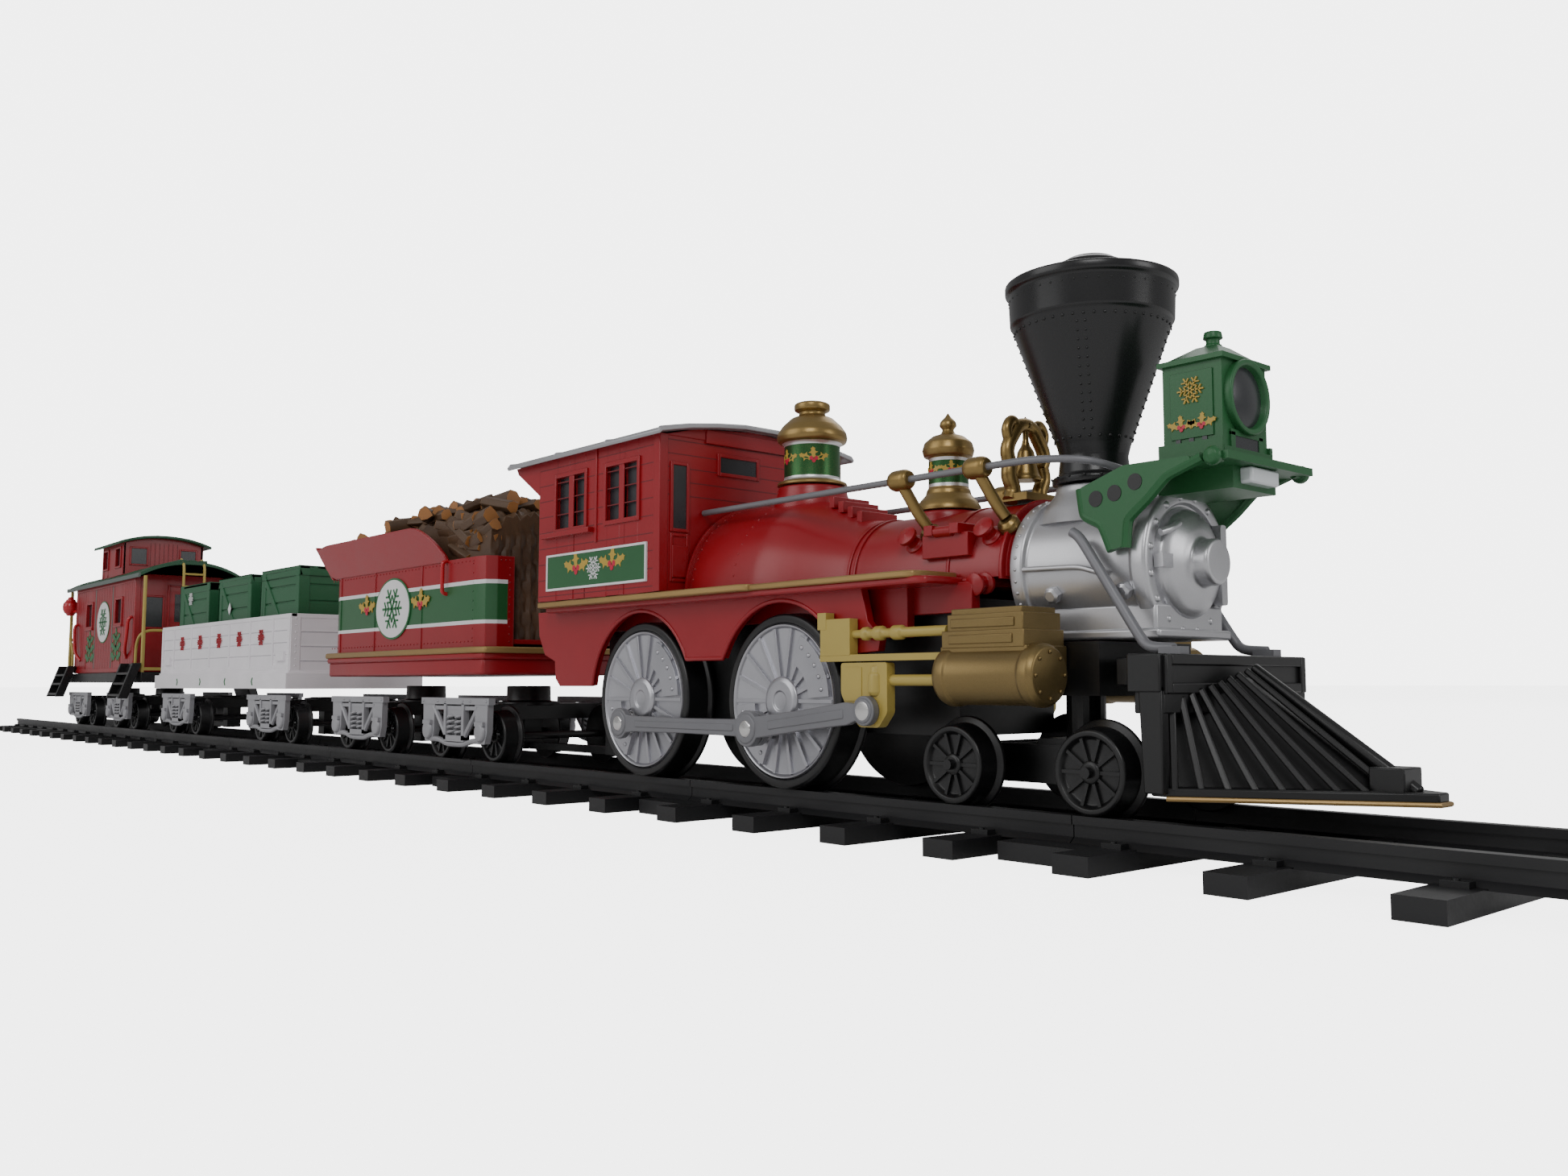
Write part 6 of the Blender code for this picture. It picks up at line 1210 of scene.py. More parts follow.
def add_flare(x0):
    """The boards lean out by a third of their height, on both sides and across the back."""
    side = fillet([(x0 - 0.2, 89.4), (x0 - 0.2, 105.2), (199.0, 105.2), (211.0, 99.0), (220.5, 89.4)], 5.0,
                  closed=True)
    panel = prism(side, "Y", -35.4, -33.6)
    panel.points[:, 1] -= (panel.points[:, 2] - 89.4) * 0.34
    rear_end = panel.points[:, 0] < x0 + 3.0
    panel.points[rear_end, 0] -= (panel.points[rear_end, 2] - 89.4) * 0.55
    back = block((x0 - 0.4, x0 + 1.4), (-35.2, 35.2), (89.4, 105.2))
    back.points[:, 0] -= (back.points[:, 2] - 89.4) * 0.55
    back.points[:, 1] *= 1 + (back.points[:, 2] - 89.4) * 0.0097
    piece("tender_flare", panel.both() + back, red, TENDER, bevel=0.5)


def heap_height(x, y):
    """The load's top: rising from the back to the middle, rounded off to both sides and at the front."""
    rise = 104.0 + 11.5 * np.sin(np.clip((x - 96) / 112.0, 0, 1) * np.pi / 2)
    fall = 5.0 * np.clip((x - 215) / 30.0, 0, 1) ** 2
    return rise - fall - 7.5 * (np.abs(y) / 33.0) ** 3


def add_tender_load():
    """Split logs on a heap: each log is a tapered seven-sided prism with a pale cut end."""
    rng = np.random.default_rng(7)
    u = np.linspace(103.5, 246.0, 70)
    v = np.linspace(-30.6, 30.6, 40)
    x, y = np.meshgrid(u, v, indexing="ij")
    ridges = 1.2 * np.sin(y * 1.5 + 1.7 * np.sin(x * 0.09)) + 0.8 * np.sin(x * 0.7 + y * 0.6)
    z = heap_height(x, y) - 2.2 + ridges
    top = grid(np.stack([x, y, z], axis=-1), wrap=False, caps=False)
    border = np.concatenate([np.stack([x, y, z], -1)[0, :], np.stack([x, y, z], -1)[1:, -1],
                             np.stack([x, y, z], -1)[-1, -2::-1], np.stack([x, y, z], -1)[-2:0:-1, 0]])
    floor_line = border * [1, 1, 0] + [0, 0, 57.0]
    rows = []
    for share in np.linspace(0, 1, 26):
        row = floor_line * (1 - share) + border * share
        front = (border[:, 0] > 245.5) * (1.0 - share ** 6)
        row[:, 0] += front * (0.8 * np.sin(row[:, 1] * 1.3 + 0.8 * np.sin(row[:, 2] * 0.5)) +
                              0.4 * np.sin(row[:, 2] * 0.9 + row[:, 1]))
        rows.append(row)
    walls = grid(np.stack(rows, axis=0), wrap=True, caps=False)
    count = 150
    cx = rng.uniform(104, 238, count)
    cy = rng.uniform(-28, 28, count)
    cz = heap_height(cx, cy) + rng.uniform(-1.6, 1.2, count)
    edge = np.arange(count) >= 110
    cx = np.where(edge, rng.uniform(208, 238, count), cx)
    cy = np.where(edge, np.sign(cy) * 29.0, cy)
    cz = np.where(edge, rng.uniform(91.0, 107.0, count), cz)
    yaw = rng.normal(0.0, 0.9, count) * np.where(edge, 0.12, 1.0)
    tilt = rng.normal(0.0, 0.22, count)
    size = rng.uniform(1.8, 3.6, count)
    reach = rng.uniform(7.0, 14.0, count)
    logs, ends = [], []
    for k in range(count):
        a = np.linspace(0, 2 * np.pi, 8)[:-1] + rng.uniform(0, 1)
        r = size[k] * (1 + 0.16 * np.sin(a * 3 + k))
        section = np.stack([r * np.cos(a), r * np.sin(a)], axis=1)
        log = prism(section, "X", -reach[k], reach[k]).turned("Y", math.degrees(tilt[k]))
        cut = prism(section * 0.93, "X", -reach[k] - 0.12, reach[k] + 0.12).turned("Y", math.degrees(tilt[k]))
        logs.append(log.turned("Z", math.degrees(yaw[k])).moved(cx[k], cy[k], cz[k]))
        ends.append(cut.turned("Z", math.degrees(yaw[k])).moved(cx[k], cy[k], cz[k]))
    piece("log_heap", top + walls + sum(logs), wood, TENDER, ["tender_load"],
          bevel=0.25, steps=1)
    piece("log_ends", sum(ends), wood_cut, TENDER)


def add_tender_marks():
    """A white oval with a snowflake, and holly both sides of it."""
    x, z, y = 168.0, 73.0, -35.4
    rim = on_side(oval(17.4, 13.2, 0.1), x, y, z)
    plate = on_side(oval(16.6, 12.4, 0.25), x, y, z)
    star = on_side(snowflake(9.6), x, y - 0.2, z)
    piece("tender_oval_rim", rim.both(), leaf_green, TENDER)
    piece("tender_oval", plate.both(), white_paint, TENDER)
    piece("tender_star", star.both(), leaf_green, TENDER)
    add_holly(x, z, y - 0.1, TENDER, "tender", 8.5, 27.0)


add_tender_body()
add_tender_load()
add_tender_marks()

# %% [markdown]
# ## Gondola
# A white open car with boards and ribs. Three braced green crates stand in it.

# %% Gondola
GONDOLA = "gondola"
GONDOLA_X = -69.0


def add_gondola():
    """Floor and sill, four boarded walls with ribs, rivets, end posts and small chevrons."""
    x0, x1 = GONDOLA_X - 111.0, GONDOLA_X + 111.0
    sill = rounded_box((x0 - 3.4, x1 + 3.4), (-36.4, 36.4), (38.4, 46.4), 1.2) + \
        rounded_box((x0 - 1.2, x1 + 1.2), (-34.4, 34.4), (46.0, 47.6), 1.0)
    side = block((x0, x1), (-33.0, -30.6), (46.0, 75.2)).both()
    ends = block((x0, x0 + 2.4), (-32, 32), (46.0, 75.2)) + block((x1 - 2.4, x1), (-32, 32), (46.0, 75.2))
    rail = block((x0 - 0.3, x1 + 0.3), (-33.4, -30.2), (74.4, 76.5)).both() + \
        block((x0 - 0.3, x0 + 2.8), (-33, 33), (74.4, 76.5)) + \
        block((x1 - 2.8, x1 + 0.3), (-33, 33), (74.4, 76.5))
    places = np.linspace(x0 + 25, x1 - 25, 6)
    ribs = block((-0.9, 0.9), (-33.6, -32.6), (47.4, 74.8)).at([(x, 0, 0) for x in places]).both()
    posts = block((-1.7, 1.7), (-33.7, -32.6), (47.4, 75.0)).at([(x0 + 1.9, 0, 0), (x1 - 1.9, 0, 0)]).both()
    corner = block((x1 - 0.6, x1 + 0.5), (-33.2, -28.4), (47.4, 75.0)).both() + \
        block((x0 - 0.5, x0 + 0.6), (-33.2, -28.4), (47.4, 75.0)).both()
    strip = block((x0, x1), (-33.5, -32.6), (47.2, 50.4)).both()
    gaps = [block((x0 + 1, x1 - 1), (-33.25, -32.4), (z - 0.35, z + 0.35)) for z in (56.2, 62.4, 68.6)]
    end_gaps = [block((x1 - 0.5, x1 + 0.25), (-28, 28), (z - 0.35, z + 0.35)) for z in (53.0, 60.4, 67.8)]
    studs = rivets(line_of((x0 + 2, -33.52, 48.9), (x1 - 2, -33.52, 48.9), 60), (0, -1, 0), 0.35, 0.25)
    uprights = [line_of((x, -33.72, 50.0), (x, -33.72, 74.0), 9) for x in (x0 + 1.9, x1 - 1.9)]
    ends_studs = line_of((x1 + 0.52, -30.8, 50.0), (x1 + 0.52, -30.8, 74.0), 8)
    bolts = studs + rivets(np.vstack(uprights), (0, -1, 0), 0.4, 0.3)
    bolts = bolts.both() + rivets(ends_studs, (1, 0, 0), 0.5, 0.35).both()
    box = block((-5.5, 5.5), (-34.4, -32.8), (-2.4, 2.4)).at([(x0 + 14, 0, 55.0), (x1 - 12, 0, 55.0)]).both()
    floor = block((x0 + 1, x1 - 1), (-32, 32), (44.0, 47.0))
    piece("gondola_car", sill + side + ends + rail + ribs + posts + corner + strip + bolts + box + floor +
          sum(gaps).both() + sum(end_gaps), white, GONDOLA, ["gondola_body"], bevel=0.35)
    # The grey strips just under each raised board edge are painted shade: they stand in for the shadow under
    # the edge, not a colour of the car.
    shade = material("painted_board_shade", (0.52, 0.50, 0.54), 0.6)
    lines = [block((x0 + 1, x1 - 1), (-33.06, -32.4), (z - 0.7, z - 0.35)) for z in (56.2, 62.4, 68.6)]
    end_lines = [block((x1 - 0.5, x1 + 0.06), (-28, 28), (z - 0.8, z - 0.35)) for z in (53.0, 60.4, 67.8)]
    piece("gondola_painted_shade_lines", sum(lines).both() + sum(end_lines), shade, GONDOLA)
    chevron_line = [(-1.3, 2.0), (0.2, 2.0), (1.4, 0.0), (0.2, -2.0), (-1.3, -2.0), (0.0, 0.0)]
    mark = prism(chevron_line, "Z", -0.2, 0.15)
    marks = [on_side(mark.scaled(turn, 1, 1), x, -36.4, 42.2) for x, turn in
             zip(np.linspace(x0 + 45, x1 - 45, 4), (1, 1, -1, -1))]
    piece("gondola_chevrons", sum(marks).both(), leaf_green, GONDOLA)
    band = on_side(snowflake(4.6), 0, -33.5, 65.4)
    stars = [band.moved(x=x) for x in (places[1:] + places[:-1]) / 2]
    piece("gondola_stars", sum(stars).both(), material("mark_red", (0.42, 0.02, 0.03), 0.45), GONDOLA)


def crate(x):
    """A crate with framed, planked and braced faces, standing about x."""
    half, width, low, high = 28.0, 26.0, 47.0, 102.2
    core = block((x - half + 1.1, x + half - 1.1), (-width + 1.1, width - 1.1), (low, high - 0.9))
    sides = []
    slats = np.linspace(low + 3, high - 9.5, 6)
    pitch = slats[1] - slats[0]
    for z in slats:
        sides.append(block((x - half + 0.5, x + half - 0.5), (-width + 0.5, width - 0.5),
                           (z, z + pitch - 0.7)))
    posts = block((x - half, x - half + 5.6), (-width, -width + 5.6), (low, high)).both() + \
        block((x + half - 5.6, x + half), (-width, -width + 5.6), (low, high)).both()
    rails = [block((x - half, x + half), (-width, -width + 2), (z, z + 5.2)).both()
             for z in (low, high - 5.2)]
    caps = [block((x + s * half - 1, x + s * half + 1), (-width, width), (z, z + 5.2)).moved(x=-s * 1.0)
            for s in (-1, 1) for z in (low, high - 5.2)]
    top = [block((x - half, x + half), (y, y + 7.6), (high - 2, high - 0.1))
           for y in np.arange(-width, 20, 8.9)]
    reach, rise = 2 * half - 8, high - low - 8
    brace = block((-np.hypot(reach, rise) / 2, np.hypot(reach, rise) / 2), (-0.35, 1.0), (-1.7, 1.7))
    middle = (low + high) / 2
    side_brace = brace.turned("Y", math.degrees(math.atan2(rise, reach))).moved(x, -width + 0.2, middle)
    wide = 2 * width - 8
    end = block((-0.35, 1.0), (-np.hypot(wide, rise) / 2, np.hypot(wide, rise) / 2), (-1.7, 1.7))
    end = end.turned("X", math.degrees(math.atan2(rise, wide)))
    end_braces = end.moved(x + half - 0.9, 0, middle) + end.moved(x - half + 0.2, 0, middle)
    return core + sum(sides) + posts + sum(rails) + sum(caps) + sum(top) + side_brace.both() + end_braces


def add_crates():
    """Three crates a pitch apart, and small labels on the first two."""
    places = [GONDOLA_X + k * 73.0 for k in (-1, 0, 1)]
    piece("crate_row", sum(crate(x) for x in places), crate_green, GONDOLA, ["crates"],
          bevel=0.45)
    labels = on_side(snowflake(4.2), places[0] - 8, -26.1, 93.5) + \
        on_side(prism([(-2.6, 0), (0, -3.6), (2.6, 0), (0, 3.6)], "Z", -0.1, 0.15), places[1] - 6,
                -26.4, 84.0)
    piece("crate_labels", labels.both(), white_paint, GONDOLA)


add_gondola()
add_crates()

# %% [markdown]
# ## Caboose
# Upright boards, a curved green roof, a cupola, and gold railings at each end.

# %% Caboose
CABOOSE = "caboose"
CABOOSE_X = -338.5


def roof_sheet(x, half, eave, crown, thick, walk):
    """A roof curved across the car, with a raised walk along its ridge."""
    y = np.linspace(-half, half, 33)
    top = np.stack([y, crown - (crown - eave) * np.abs(y / half) ** 2.2], axis=1)
    sheet = prism(np.vstack([top, (top - [0, thick])[::-1]]), "X", x[0], x[1])
    seam = prism(np.vstack([top + [0, 0.35], top[::-1] - [0, 0.3]]), "X", 0, 0.9)
    seams = sum(seam.moved(x=p) for p in np.linspace(x[0] + 1, x[1] - 1.9, 8))
    if not walk:
        return sheet + seams
    slats = [block((x[0] + 1, x[1] - 1), (p, p + 4.6), (crown - 0.4, crown + 1.3)) for p in (-9, -2.3, 4.4)]
    feet = [block((p, p + 1.6), (-8.5, 8.5), (crown - 1.0, crown + 0.2)) for p in np.linspace(*x, 10)[1:-1]]
    return sheet + seams + sum(slats) + sum(feet)


def add_caboose_body():
    """Walls with windows on all sides, corner posts, gaps between boards and the curved grab rails."""
    x0, x1 = CABOOSE_X - 82.5, CABOOSE_X + 82.5
    holes = [(CABOOSE_X + c - 8, CABOOSE_X + c + 8, 84.0, 100.5) for c in (-41, 41)]
    sides = wall_with_holes((x0, x1), (49.3, 115.2), -31.0, 2.4, holes)
    frames = sum(picture_frame((a, b), (c, d), -31.0, 1.8, 0.9) for a, b, c, d in holes)
    sill = sum(block((a - 2.4, b + 2.4), (-32.4, -30.6), (c - 2.9, c - 1.4)) for a, b, c, d in holes)
    trim = block((x0, x1), (-31.6, -30.0), (111.0, 114.0)) + block((x0, x1), (-31.4, -30.0), (49.3, 52.4))
    posts = block((x0 - 0.3, x0 + 3.2), (-31.4, -27.8), (49.3, 114)) + \
        block((x1 - 3.2, x1 + 0.3), (-31.4, -27.8), (49.3, 114))
    arch = np.array([(-30.8, 113.5), (-15, 119.6), (0, 122.4), (15, 119.6), (30.8, 113.5), (30.8, 49.4),
                     (-30.8, 49.4)])
    ends = prism(arch, "X", x0, x0 + 2.0) + prism(arch, "X", x1 - 2.0, x1)
    door = picture_frame((-9.5, 9.5), (51.5, 108.0), 0, 1.4, 0.8).turned("Z", 90)
    light = (picture_frame((-24.5, -14.0), (80.0, 100.5), 0, 1.3, 0.7) +
             picture_frame((14.0, 24.5), (80.0, 100.5), 0, 1.3, 0.7)).turned("Z", 90)
    fronts = (door + light).moved(x=x1 + 0.1)
    fronts = fronts + (door + light).scaled(-1, 1, 1).moved(x=x0 - 0.1)
    piece("caboose_walls", (sides + frames + sill + trim + posts).both() + ends + fronts, red, CABOOSE,
          ["caboose_body"], bevel=0.4)
    boards = [block((x - 0.18, x + 0.18), (-31.05, -30.2), (52.4, 111))
              for x in np.arange(x0 + 6.2, x1 - 4, 4.4)]
    cut = [b for b in boards if all(abs(b.points[:, 0].mean() - CABOOSE_X - c) > 10.4 for c in (-41, 41))]
    ends_lines = [block((x1 - 0.4, x1 + 0.05), (y - 0.18, y + 0.18), (52, 112))
                  for y in np.arange(-26.4, 27, 4.4)
                  if abs(abs(y) - 19.2) > 6.8 and abs(y) > 10.5]
    mirror = [b.scaled(-1, 1, 1).moved(x=2 * CABOOSE_X) for b in ends_lines]
    piece("caboose_board_lines", sum(cut).both() + sum(ends_lines) + sum(mirror),
          material("board_shadow", (0.11, 0.005, 0.008), 0.6), CABOOSE)
    glass = block((x0 + 3, x1 - 3), (-29.6, 29.6), (60, 110)) + \
        block((x0 - 0.25, x1 + 0.25), (-24.4, -14.1), (80.1, 100.4)).both() + \
        block((x0 - 0.25, x1 + 0.25), (-6.2, 6.2), (84.0, 103.0))
    piece("caboose_panes", glass, dark_pane, CABOOSE)
    rail = [(x1 - 6.5, -31.0, 87.0), (x1 - 6.5, -33.6, 85.5), (x1 - 8.2, -33.8, 73.0),
            (x1 - 12.5, -33.6, 64.0),
            (x1 - 18.0, -31.0, 59.0)]
    rails = tube(rail, 1.1, 10, 3.0)
    rails = (rails + rails.scaled(-1, 1, 1).moved(x=2 * CABOOSE_X)).both()
    piece("caboose_grab_rails", rails, bright_red, CABOOSE)


def add_caboose_deck():
    """The dark floor with its side sills and the four flights of steps."""
    x0, x1 = CABOOSE_X - 106.0, CABOOSE_X + 106.0
    deck = block((x0, x1), (-31.8, 31.8), (42.4, 48.9)) + \
        block((x0 + 24, x1 - 24), (-32.4, 32.4), (42.6, 49.1))
    cheeks = []
    for x in (74.6, 103.4):
        cheeks.append(prism([(x, 55.0), (x + 2.2, 55.0), (x + 2.2, 31.6), (x, 31.6)], "Y", -37.2, -31.4))
    treads = [block((75, 105), (-37.0, -31.6), (z, z + 1.6)) for z in (33.0, 40.6, 47.3)]
    flight = sum(cheeks) + sum(treads) + block((74.8, 105.4), (-32.4, -31.4), (33.0, 54.8))
    flight.points[:, 1] -= (55.0 - flight.points[:, 2]) * 0.33
    flight = (flight.moved(x=CABOOSE_X) + flight.scaled(-1, 1, 1).moved(x=CABOOSE_X)).both()
    piece("caboose_floor", deck + flight, black, CABOOSE, ["caboose_deck"], bevel=0.4)


def add_caboose_roofs():
    """Main roof with grey gutters, cupola with windows, and the cupola's own roof."""
    main = roof_sheet((CABOOSE_X - 101, CABOOSE_X + 101), 34.4, 114.6, 124.6, 2.0, True)
    piece("caboose_roof_sheet", main, green_roof, CABOOSE, ["caboose_roof"], bevel=0.35)
    gutter = block((CABOOSE_X - 101.2, CABOOSE_X + 101.2), (-34.7, -33.0), (112.6, 115.4)).both()
    piece("caboose_gutters", gutter, material("gutter_grey", (0.12, 0.15, 0.135), 0.5), CABOOSE,
          bevel=0.4)
    x0, x1 = CABOOSE_X - 28.5, CABOOSE_X + 28.5
    holes = [(CABOOSE_X - 17 - 6.0, CABOOSE_X - 17 + 6.0, 126.0, 138.5),
             (CABOOSE_X + 17 - 6.0, CABOOSE_X + 17 + 6.0, 126.0, 138.5)]
    sides = wall_with_holes((x0, x1), (119.0, 143.4), -27.0, 2.0, holes)
    frames = sum(picture_frame((a, b), (c, d), -27.0, 1.5, 0.8) for a, b, c, d in holes)
    arch = np.array([(-26.8, 142.4), (-13, 146.4), (0, 147.4), (13, 146.4), (26.8, 142.4), (26.8, 119.5),
                     (-26.8, 119.5)])
    ends = prism(arch, "X", x0, x0 + 2) + prism(arch, "X", x1 - 2, x1)
    trims = (picture_frame((-21.5, -11.5), (127.4, 138.6), 0, 1.2, 0.7) +
             picture_frame((11.5, 21.5), (127.4, 138.6), 0, 1.2, 0.7)).turned("Z", 90)
    trims = trims.moved(x=x1 + 0.1) + trims.scaled(-1, 1, 1).moved(x=x0 - 0.1)
    piece("cupola_walls", (sides + frames).both() + ends + trims, red, CABOOSE, ["cupola"],
          bevel=0.35)
    lines = [block((x1 - 0.3, x1 + 0.05), (y - 0.16, y + 0.16), (126, 143)) for y in np.arange(-9, 9.1, 3.0)]
    lines += [block((x0 - 0.05, x0 + 0.3), (y - 0.16, y + 0.16), (126, 143)) for y in np.arange(-9, 9.1, 3.0)]
    piece("cupola_board_lines", sum(lines), material("cupola_shadow", (0.11, 0.005, 0.008), 0.6), CABOOSE)
    glass = block((x0 + 2.4, x1 - 2.4), (-25.6, 25.6), (124.6, 141.0)) + \
        block((x0 - 0.2, x1 + 0.2), (-21.4, -11.6), (127.5, 138.5)).both()
    piece("cupola_panes", glass, dark_pane, CABOOSE)
    high = roof_sheet((CABOOSE_X - 37.5, CABOOSE_X + 34.5), 31.0, 142.4, 148.2, 1.6, False)
    high = high + block((CABOOSE_X - 30, CABOOSE_X + 27), (-5, 5), (147.6, 149.2))
    piece("cupola_roof", high, green_roof, CABOOSE, bevel=0.3)


def add_railings():
    """Gold posts, rails, a ladder and a brake wheel at each end, and red marker lamps at the rear."""
    x = CABOOSE_X + 102.5
    parts = []
    for y in (-30.0, -13.0):
        parts.append(tube([(x, y, 48.5), (x, y, 77.0)], 0.95, 10))
    parts.append(tube([(x, -30.4, 48.8), (x, -30.4, 113.6)], 1.15, 10))
    parts.append(tube([(x, -12.6, 77.0), (x, -27, 77.0), (x - 1.0, -31.0, 75.0), (x - 9.0, -31.2, 72.0),
                       (x - 13.5, -31.2, 66.0), (x - 14.0, -31.2, 50.0)], 0.95, 10, 3.0))
    parts.append(block((x - 0.8, x + 0.8), (-31, -11.5), (50.2, 52.2)))
    ladder = tube([(x, 6.6, 48.5), (x, 6.6, 122.0), (x - 7, 6.6, 126.4)], 0.9, 10, 3.0).both()
    rungs = [tube([(x, -6.8, z), (x, 6.8, z)], 0.7, 8) for z in np.linspace(56, 116, 8)]
    rim_line = [(85.6, 5.2), (86.2, 5.8), (86.8, 5.2), (86.2, 4.6), (85.6, 5.2)]
    wheel = lathe(rim_line, "Z", (x + 0.2, 20, 0), 32, 0)
    spokes = [block((x - 5.2, x + 5.4), (19.6, 20.4), (85.9, 86.6)),
              block((x - 0.2, x + 0.6), (14.8, 25.2), (85.9, 86.6))]
    staff = tube([(x + 0.2, 20, 49.0), (x + 0.2, 20, 87.2)], 0.8, 10)
    front = sum(parts).both() + ladder + sum(rungs) + wheel + sum(spokes) + staff
    piece("railing_front_bars", front, gold, CABOOSE, ["railing_front"])
    rear = front.scaled(-1, 1, 1).moved(x=2 * CABOOSE_X)
    piece("railing_rear_bars", rear, gold, CABOOSE, ["railing_rear"])
    lamp = lathe([(94.4, 0), (94.4, 2.6), (95.6, 3.0), (96.4, 4.2), (99.0, 5.3), (101.5, 5.5), (104.0, 5.0),
                  (105.8, 3.4), (106.8, 3.2), (107.2, 2.2), (108.6, 1.8), (109.2, 0)], "Z",
                 (CABOOSE_X - 92.5, -33.4, 0), 40, 0.3)
    arm = tube([(CABOOSE_X - 92.5, -32.0, 97.5), (CABOOSE_X - 82.0, -30.6, 97.5)], 1.2, 10)
    piece("marker_lamps", (lamp + arm).both(), bright_red, CABOOSE)


def add_caboose_marks():
    """The white oval with a snowflake, and green sprigs under the windows."""
    plate = on_side(oval(17.0, 14.4, 0.25), CABOOSE_X, -31.2, 86.0).both()
    rim = on_side(oval(17.8, 15.2, 0.12), CABOOSE_X, -31.2, 86.0).both()
    star = on_side(snowflake(11.0), CABOOSE_X, -31.4, 86.0).both()
    piece("caboose_oval", plate, white_paint, CABOOSE)
    piece("caboose_oval_rim", rim, leaf_green, CABOOSE)
    piece("caboose_star", star, leaf_green, CABOOSE)
    sprigs = []
    for x in (-37, 37):
        for height, size in ((58, 13), (65, 12), (72, 10)):
            sprigs.append(on_side(sprig_leaves(size), CABOOSE_X + x, -31.15, height))
    piece("caboose_sprigs", sum(sprigs).both(), leaf_green, CABOOSE)
    stripes = on_side(block((-0.9, 0.9), (52.6, 110.8), (-0.1, 0.12)), 0, -31.05, 0)
    lines = sum(stripes.moved(x=CABOOSE_X + x) for x in (-24.0, 24.0))
    piece("caboose_stripes", lines.both(), material("stripe_grey", (0.13, 0.17, 0.15), 0.5), CABOOSE)


add_caboose_body()
add_caboose_deck()
add_caboose_roofs()
add_railings()
add_caboose_marks()

# %% [markdown]
# ## Last marks
# Holly goes on the lamp box and round the domes. The frames that stay plain get their material here.

# %% Last marks


def wrapped(flat, x, z, radius):
    """Bends a flat drawing round an upright cylinder: the angle is the flat x over the radius."""
    angle = flat.points[:, 0] / radius
    reach = radius + flat.points[:, 2]
    bent = np.stack([x + reach * np.sin(angle), -reach * np.cos(angle), z + flat.points[:, 1]], axis=1)
    return Shape(bent, flat.faces)


def add_small_holly():
    """Sprigs on the sand dome and the steam dome."""
    x, z = from_axle(-20.5), 110.0
    for tag, place, height, size, radius in (("sand", x, z, 4.6, 8.8),
                                             ("steam", from_axle(37.3), 99.8, 3.4, 5.7)):
        leaves = sum(wrapped(sprig_leaves(size).moved(x=turn * radius), place, height, radius)
                     for turn in (-0.25, 0.9, 2.9, 4.0))
        dots = sum(wrapped(sprig_berries(size).moved(x=turn * radius), place, height, radius + 0.05)
                   for turn in (-0.25, 0.9, 2.9, 4.0))
        piece(f"{tag}_dome_leaves", leaves, leaf_gold, LOCO)
        piece(f"{tag}_dome_berries", dots, berry_red, LOCO)


LAMP_MARK = (from_axle(121.15), -10.2, 103.4)


def add_lamp_marks():
    """A gold star over a pair of holly sprigs on both sides of the lamp box."""
    x, y, z = LAMP_MARK
    star = on_side(snowflake(3.4), x, y, z + 4.2)
    leaves = on_side(sprig_leaves(3.6), x - 2.6, y, z - 4.4) + \
        on_side(sprig_leaves(3.6).scaled(-1, 1, 1), x + 2.6, y, z - 4.4)
    dots = on_side(sprig_berries(3.6), x - 2.6, y, z - 4.4) + on_side(sprig_berries(3.6), x + 2.6, y, z - 4.4)
    piece("lamp_star", star.both(), leaf_gold, LOCO)
    piece("lamp_leaves", leaves.both(), leaf_gold, LOCO)
    piece("lamp_berries", dots.both(), berry_red, LOCO)


add_small_holly()
add_lamp_marks()


def finish_plain_nodes():
    """Gives the nodes that keep their solid shape a material of their own."""
    looks = {"chassis": black, "pony_truck": black}
    for name, finish in looks.items():
        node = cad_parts[name]
        node.data.materials.clear()
        node.data.materials.append(finish)


finish_plain_nodes()

# %% [markdown]
# ## Floor, light and camera
# The camera stands low in front of the train's right side, with a wide lens, as for a large product view.

# %% Stage


def set_white(tree, socket, lighting, seen):
    """One strength for what the lights give, and another for what the camera sees directly."""
    ray = tree.nodes.new("ShaderNodeLightPath")
    mix = tree.nodes.new("ShaderNodeMapRange")
    mix.inputs["To Min"].default_value = lighting
    mix.inputs["To Max"].default_value = seen
    tree.links.new(ray.outputs["Is Camera Ray"], mix.inputs["Value"])
    tree.links.new(mix.outputs["Result"], socket)


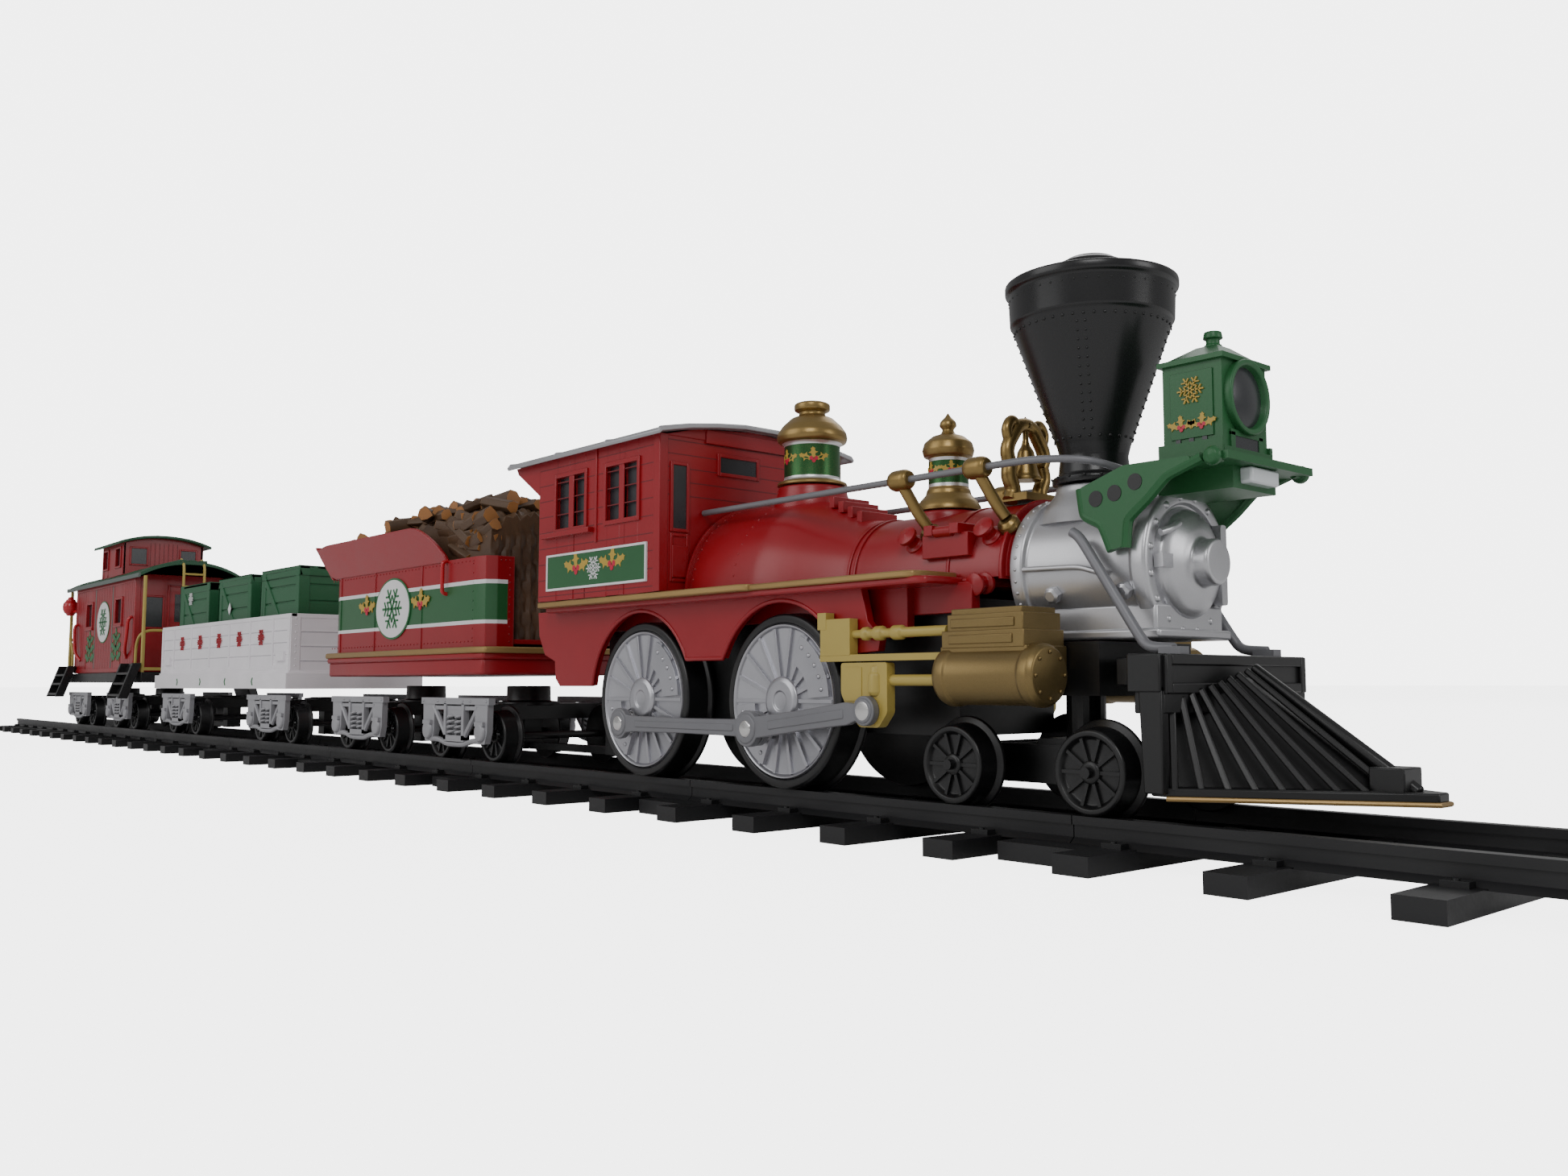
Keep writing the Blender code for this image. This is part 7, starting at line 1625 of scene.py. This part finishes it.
def add_stage():
    """A pale floor that runs out to a pale background, and soft lights."""
    world = bpy.data.worlds.new("studio")
    world.use_nodes = True
    world.node_tree.nodes["Background"].inputs["Color"].default_value = (1.0, 1.0, 1.0, 1.0)
    set_white(world.node_tree, world.node_tree.nodes["Background"].inputs["Strength"], 0.34, 5.0)
    bpy.context.scene.world = world
    mesh = bpy.data.meshes.new("floor")
    size = 30.0
    mesh.from_pydata([(-size, -size, -0.0002), (size, -size, -0.0002), (size, size, -0.0002),
                      (-size, size, -0.0002)], [], [(0, 1, 2, 3)])
    floor = bpy.data.objects.new("floor", mesh)
    finish = bpy.data.materials.new("floor")
    finish.use_nodes = True
    shader = finish.node_tree.nodes["Principled BSDF"]
    shader.inputs["Base Color"].default_value = (0.92, 0.92, 0.92, 1.0)
    shader.inputs["Roughness"].default_value = 0.85
    shader.inputs["Emission Color"].default_value = (1.0, 1.0, 1.0, 1.0)
    set_white(finish.node_tree, shader.inputs["Emission Strength"], 0.0, 4.0)
    mesh.materials.append(finish)
    bpy.context.scene.collection.objects.link(floor)
    lights = [("key", (1.7, -1.5, 1.5), 14.0, 0.9, (0.35, -0.05, 0.06)),
              ("fill", (-0.6, -2.2, 1.2), 18.0, 1.8, (-0.2, 0.0, 0.06)),
              ("rim", (-0.4, 1.8, 1.9), 12.0, 1.6, (0.0, 0.0, 0.05)),
              ("front", (2.4, 0.6, 0.8), 7.0, 0.8, (0.5, 0.0, 0.08))]
    for name, place, power, size, target in lights:
        data = bpy.data.lights.new(name, "AREA")
        data.energy = power
        data.size = size
        lamp = bpy.data.objects.new(name, data)
        lamp.location = place
        lamp.rotation_mode = "QUATERNION"
        lamp.rotation_quaternion = (Vector(target) - Vector(place)).to_track_quat("-Z", "Y")
        bpy.context.scene.collection.objects.link(lamp)


def add_camera():
    """A level wide-angle camera, turned 48 degrees to the left of the train's own side."""
    turn, tilt, roll = math.radians(48.081), math.radians(4.628), math.radians(-0.062)
    forward = Vector((-math.sin(turn) * math.cos(tilt), math.cos(turn) * math.cos(tilt), math.sin(tilt)))
    level = Vector((math.cos(turn), math.sin(turn), 0))
    upward = level.cross(forward)
    right = math.cos(roll) * level + math.sin(roll) * upward
    up = right.cross(forward)
    data = bpy.data.cameras.new("camera")
    data.sensor_width = 36.0
    data.lens = 1588.7 / 1946 * 36.0
    data.shift_x = -37.4 / 1946
    data.shift_y = -8.9 / 1946
    data.clip_start = 0.01
    data.dof.use_dof = False
    camera = bpy.data.objects.new("camera", data)
    axes = Matrix((right, up, -forward)).transposed().to_4x4()
    camera.matrix_world = Matrix.Translation((0.6986, -0.26798, 0.04034)) @ axes
    bpy.context.scene.collection.objects.link(camera)
    bpy.context.scene.camera = camera


add_stage()
add_camera()
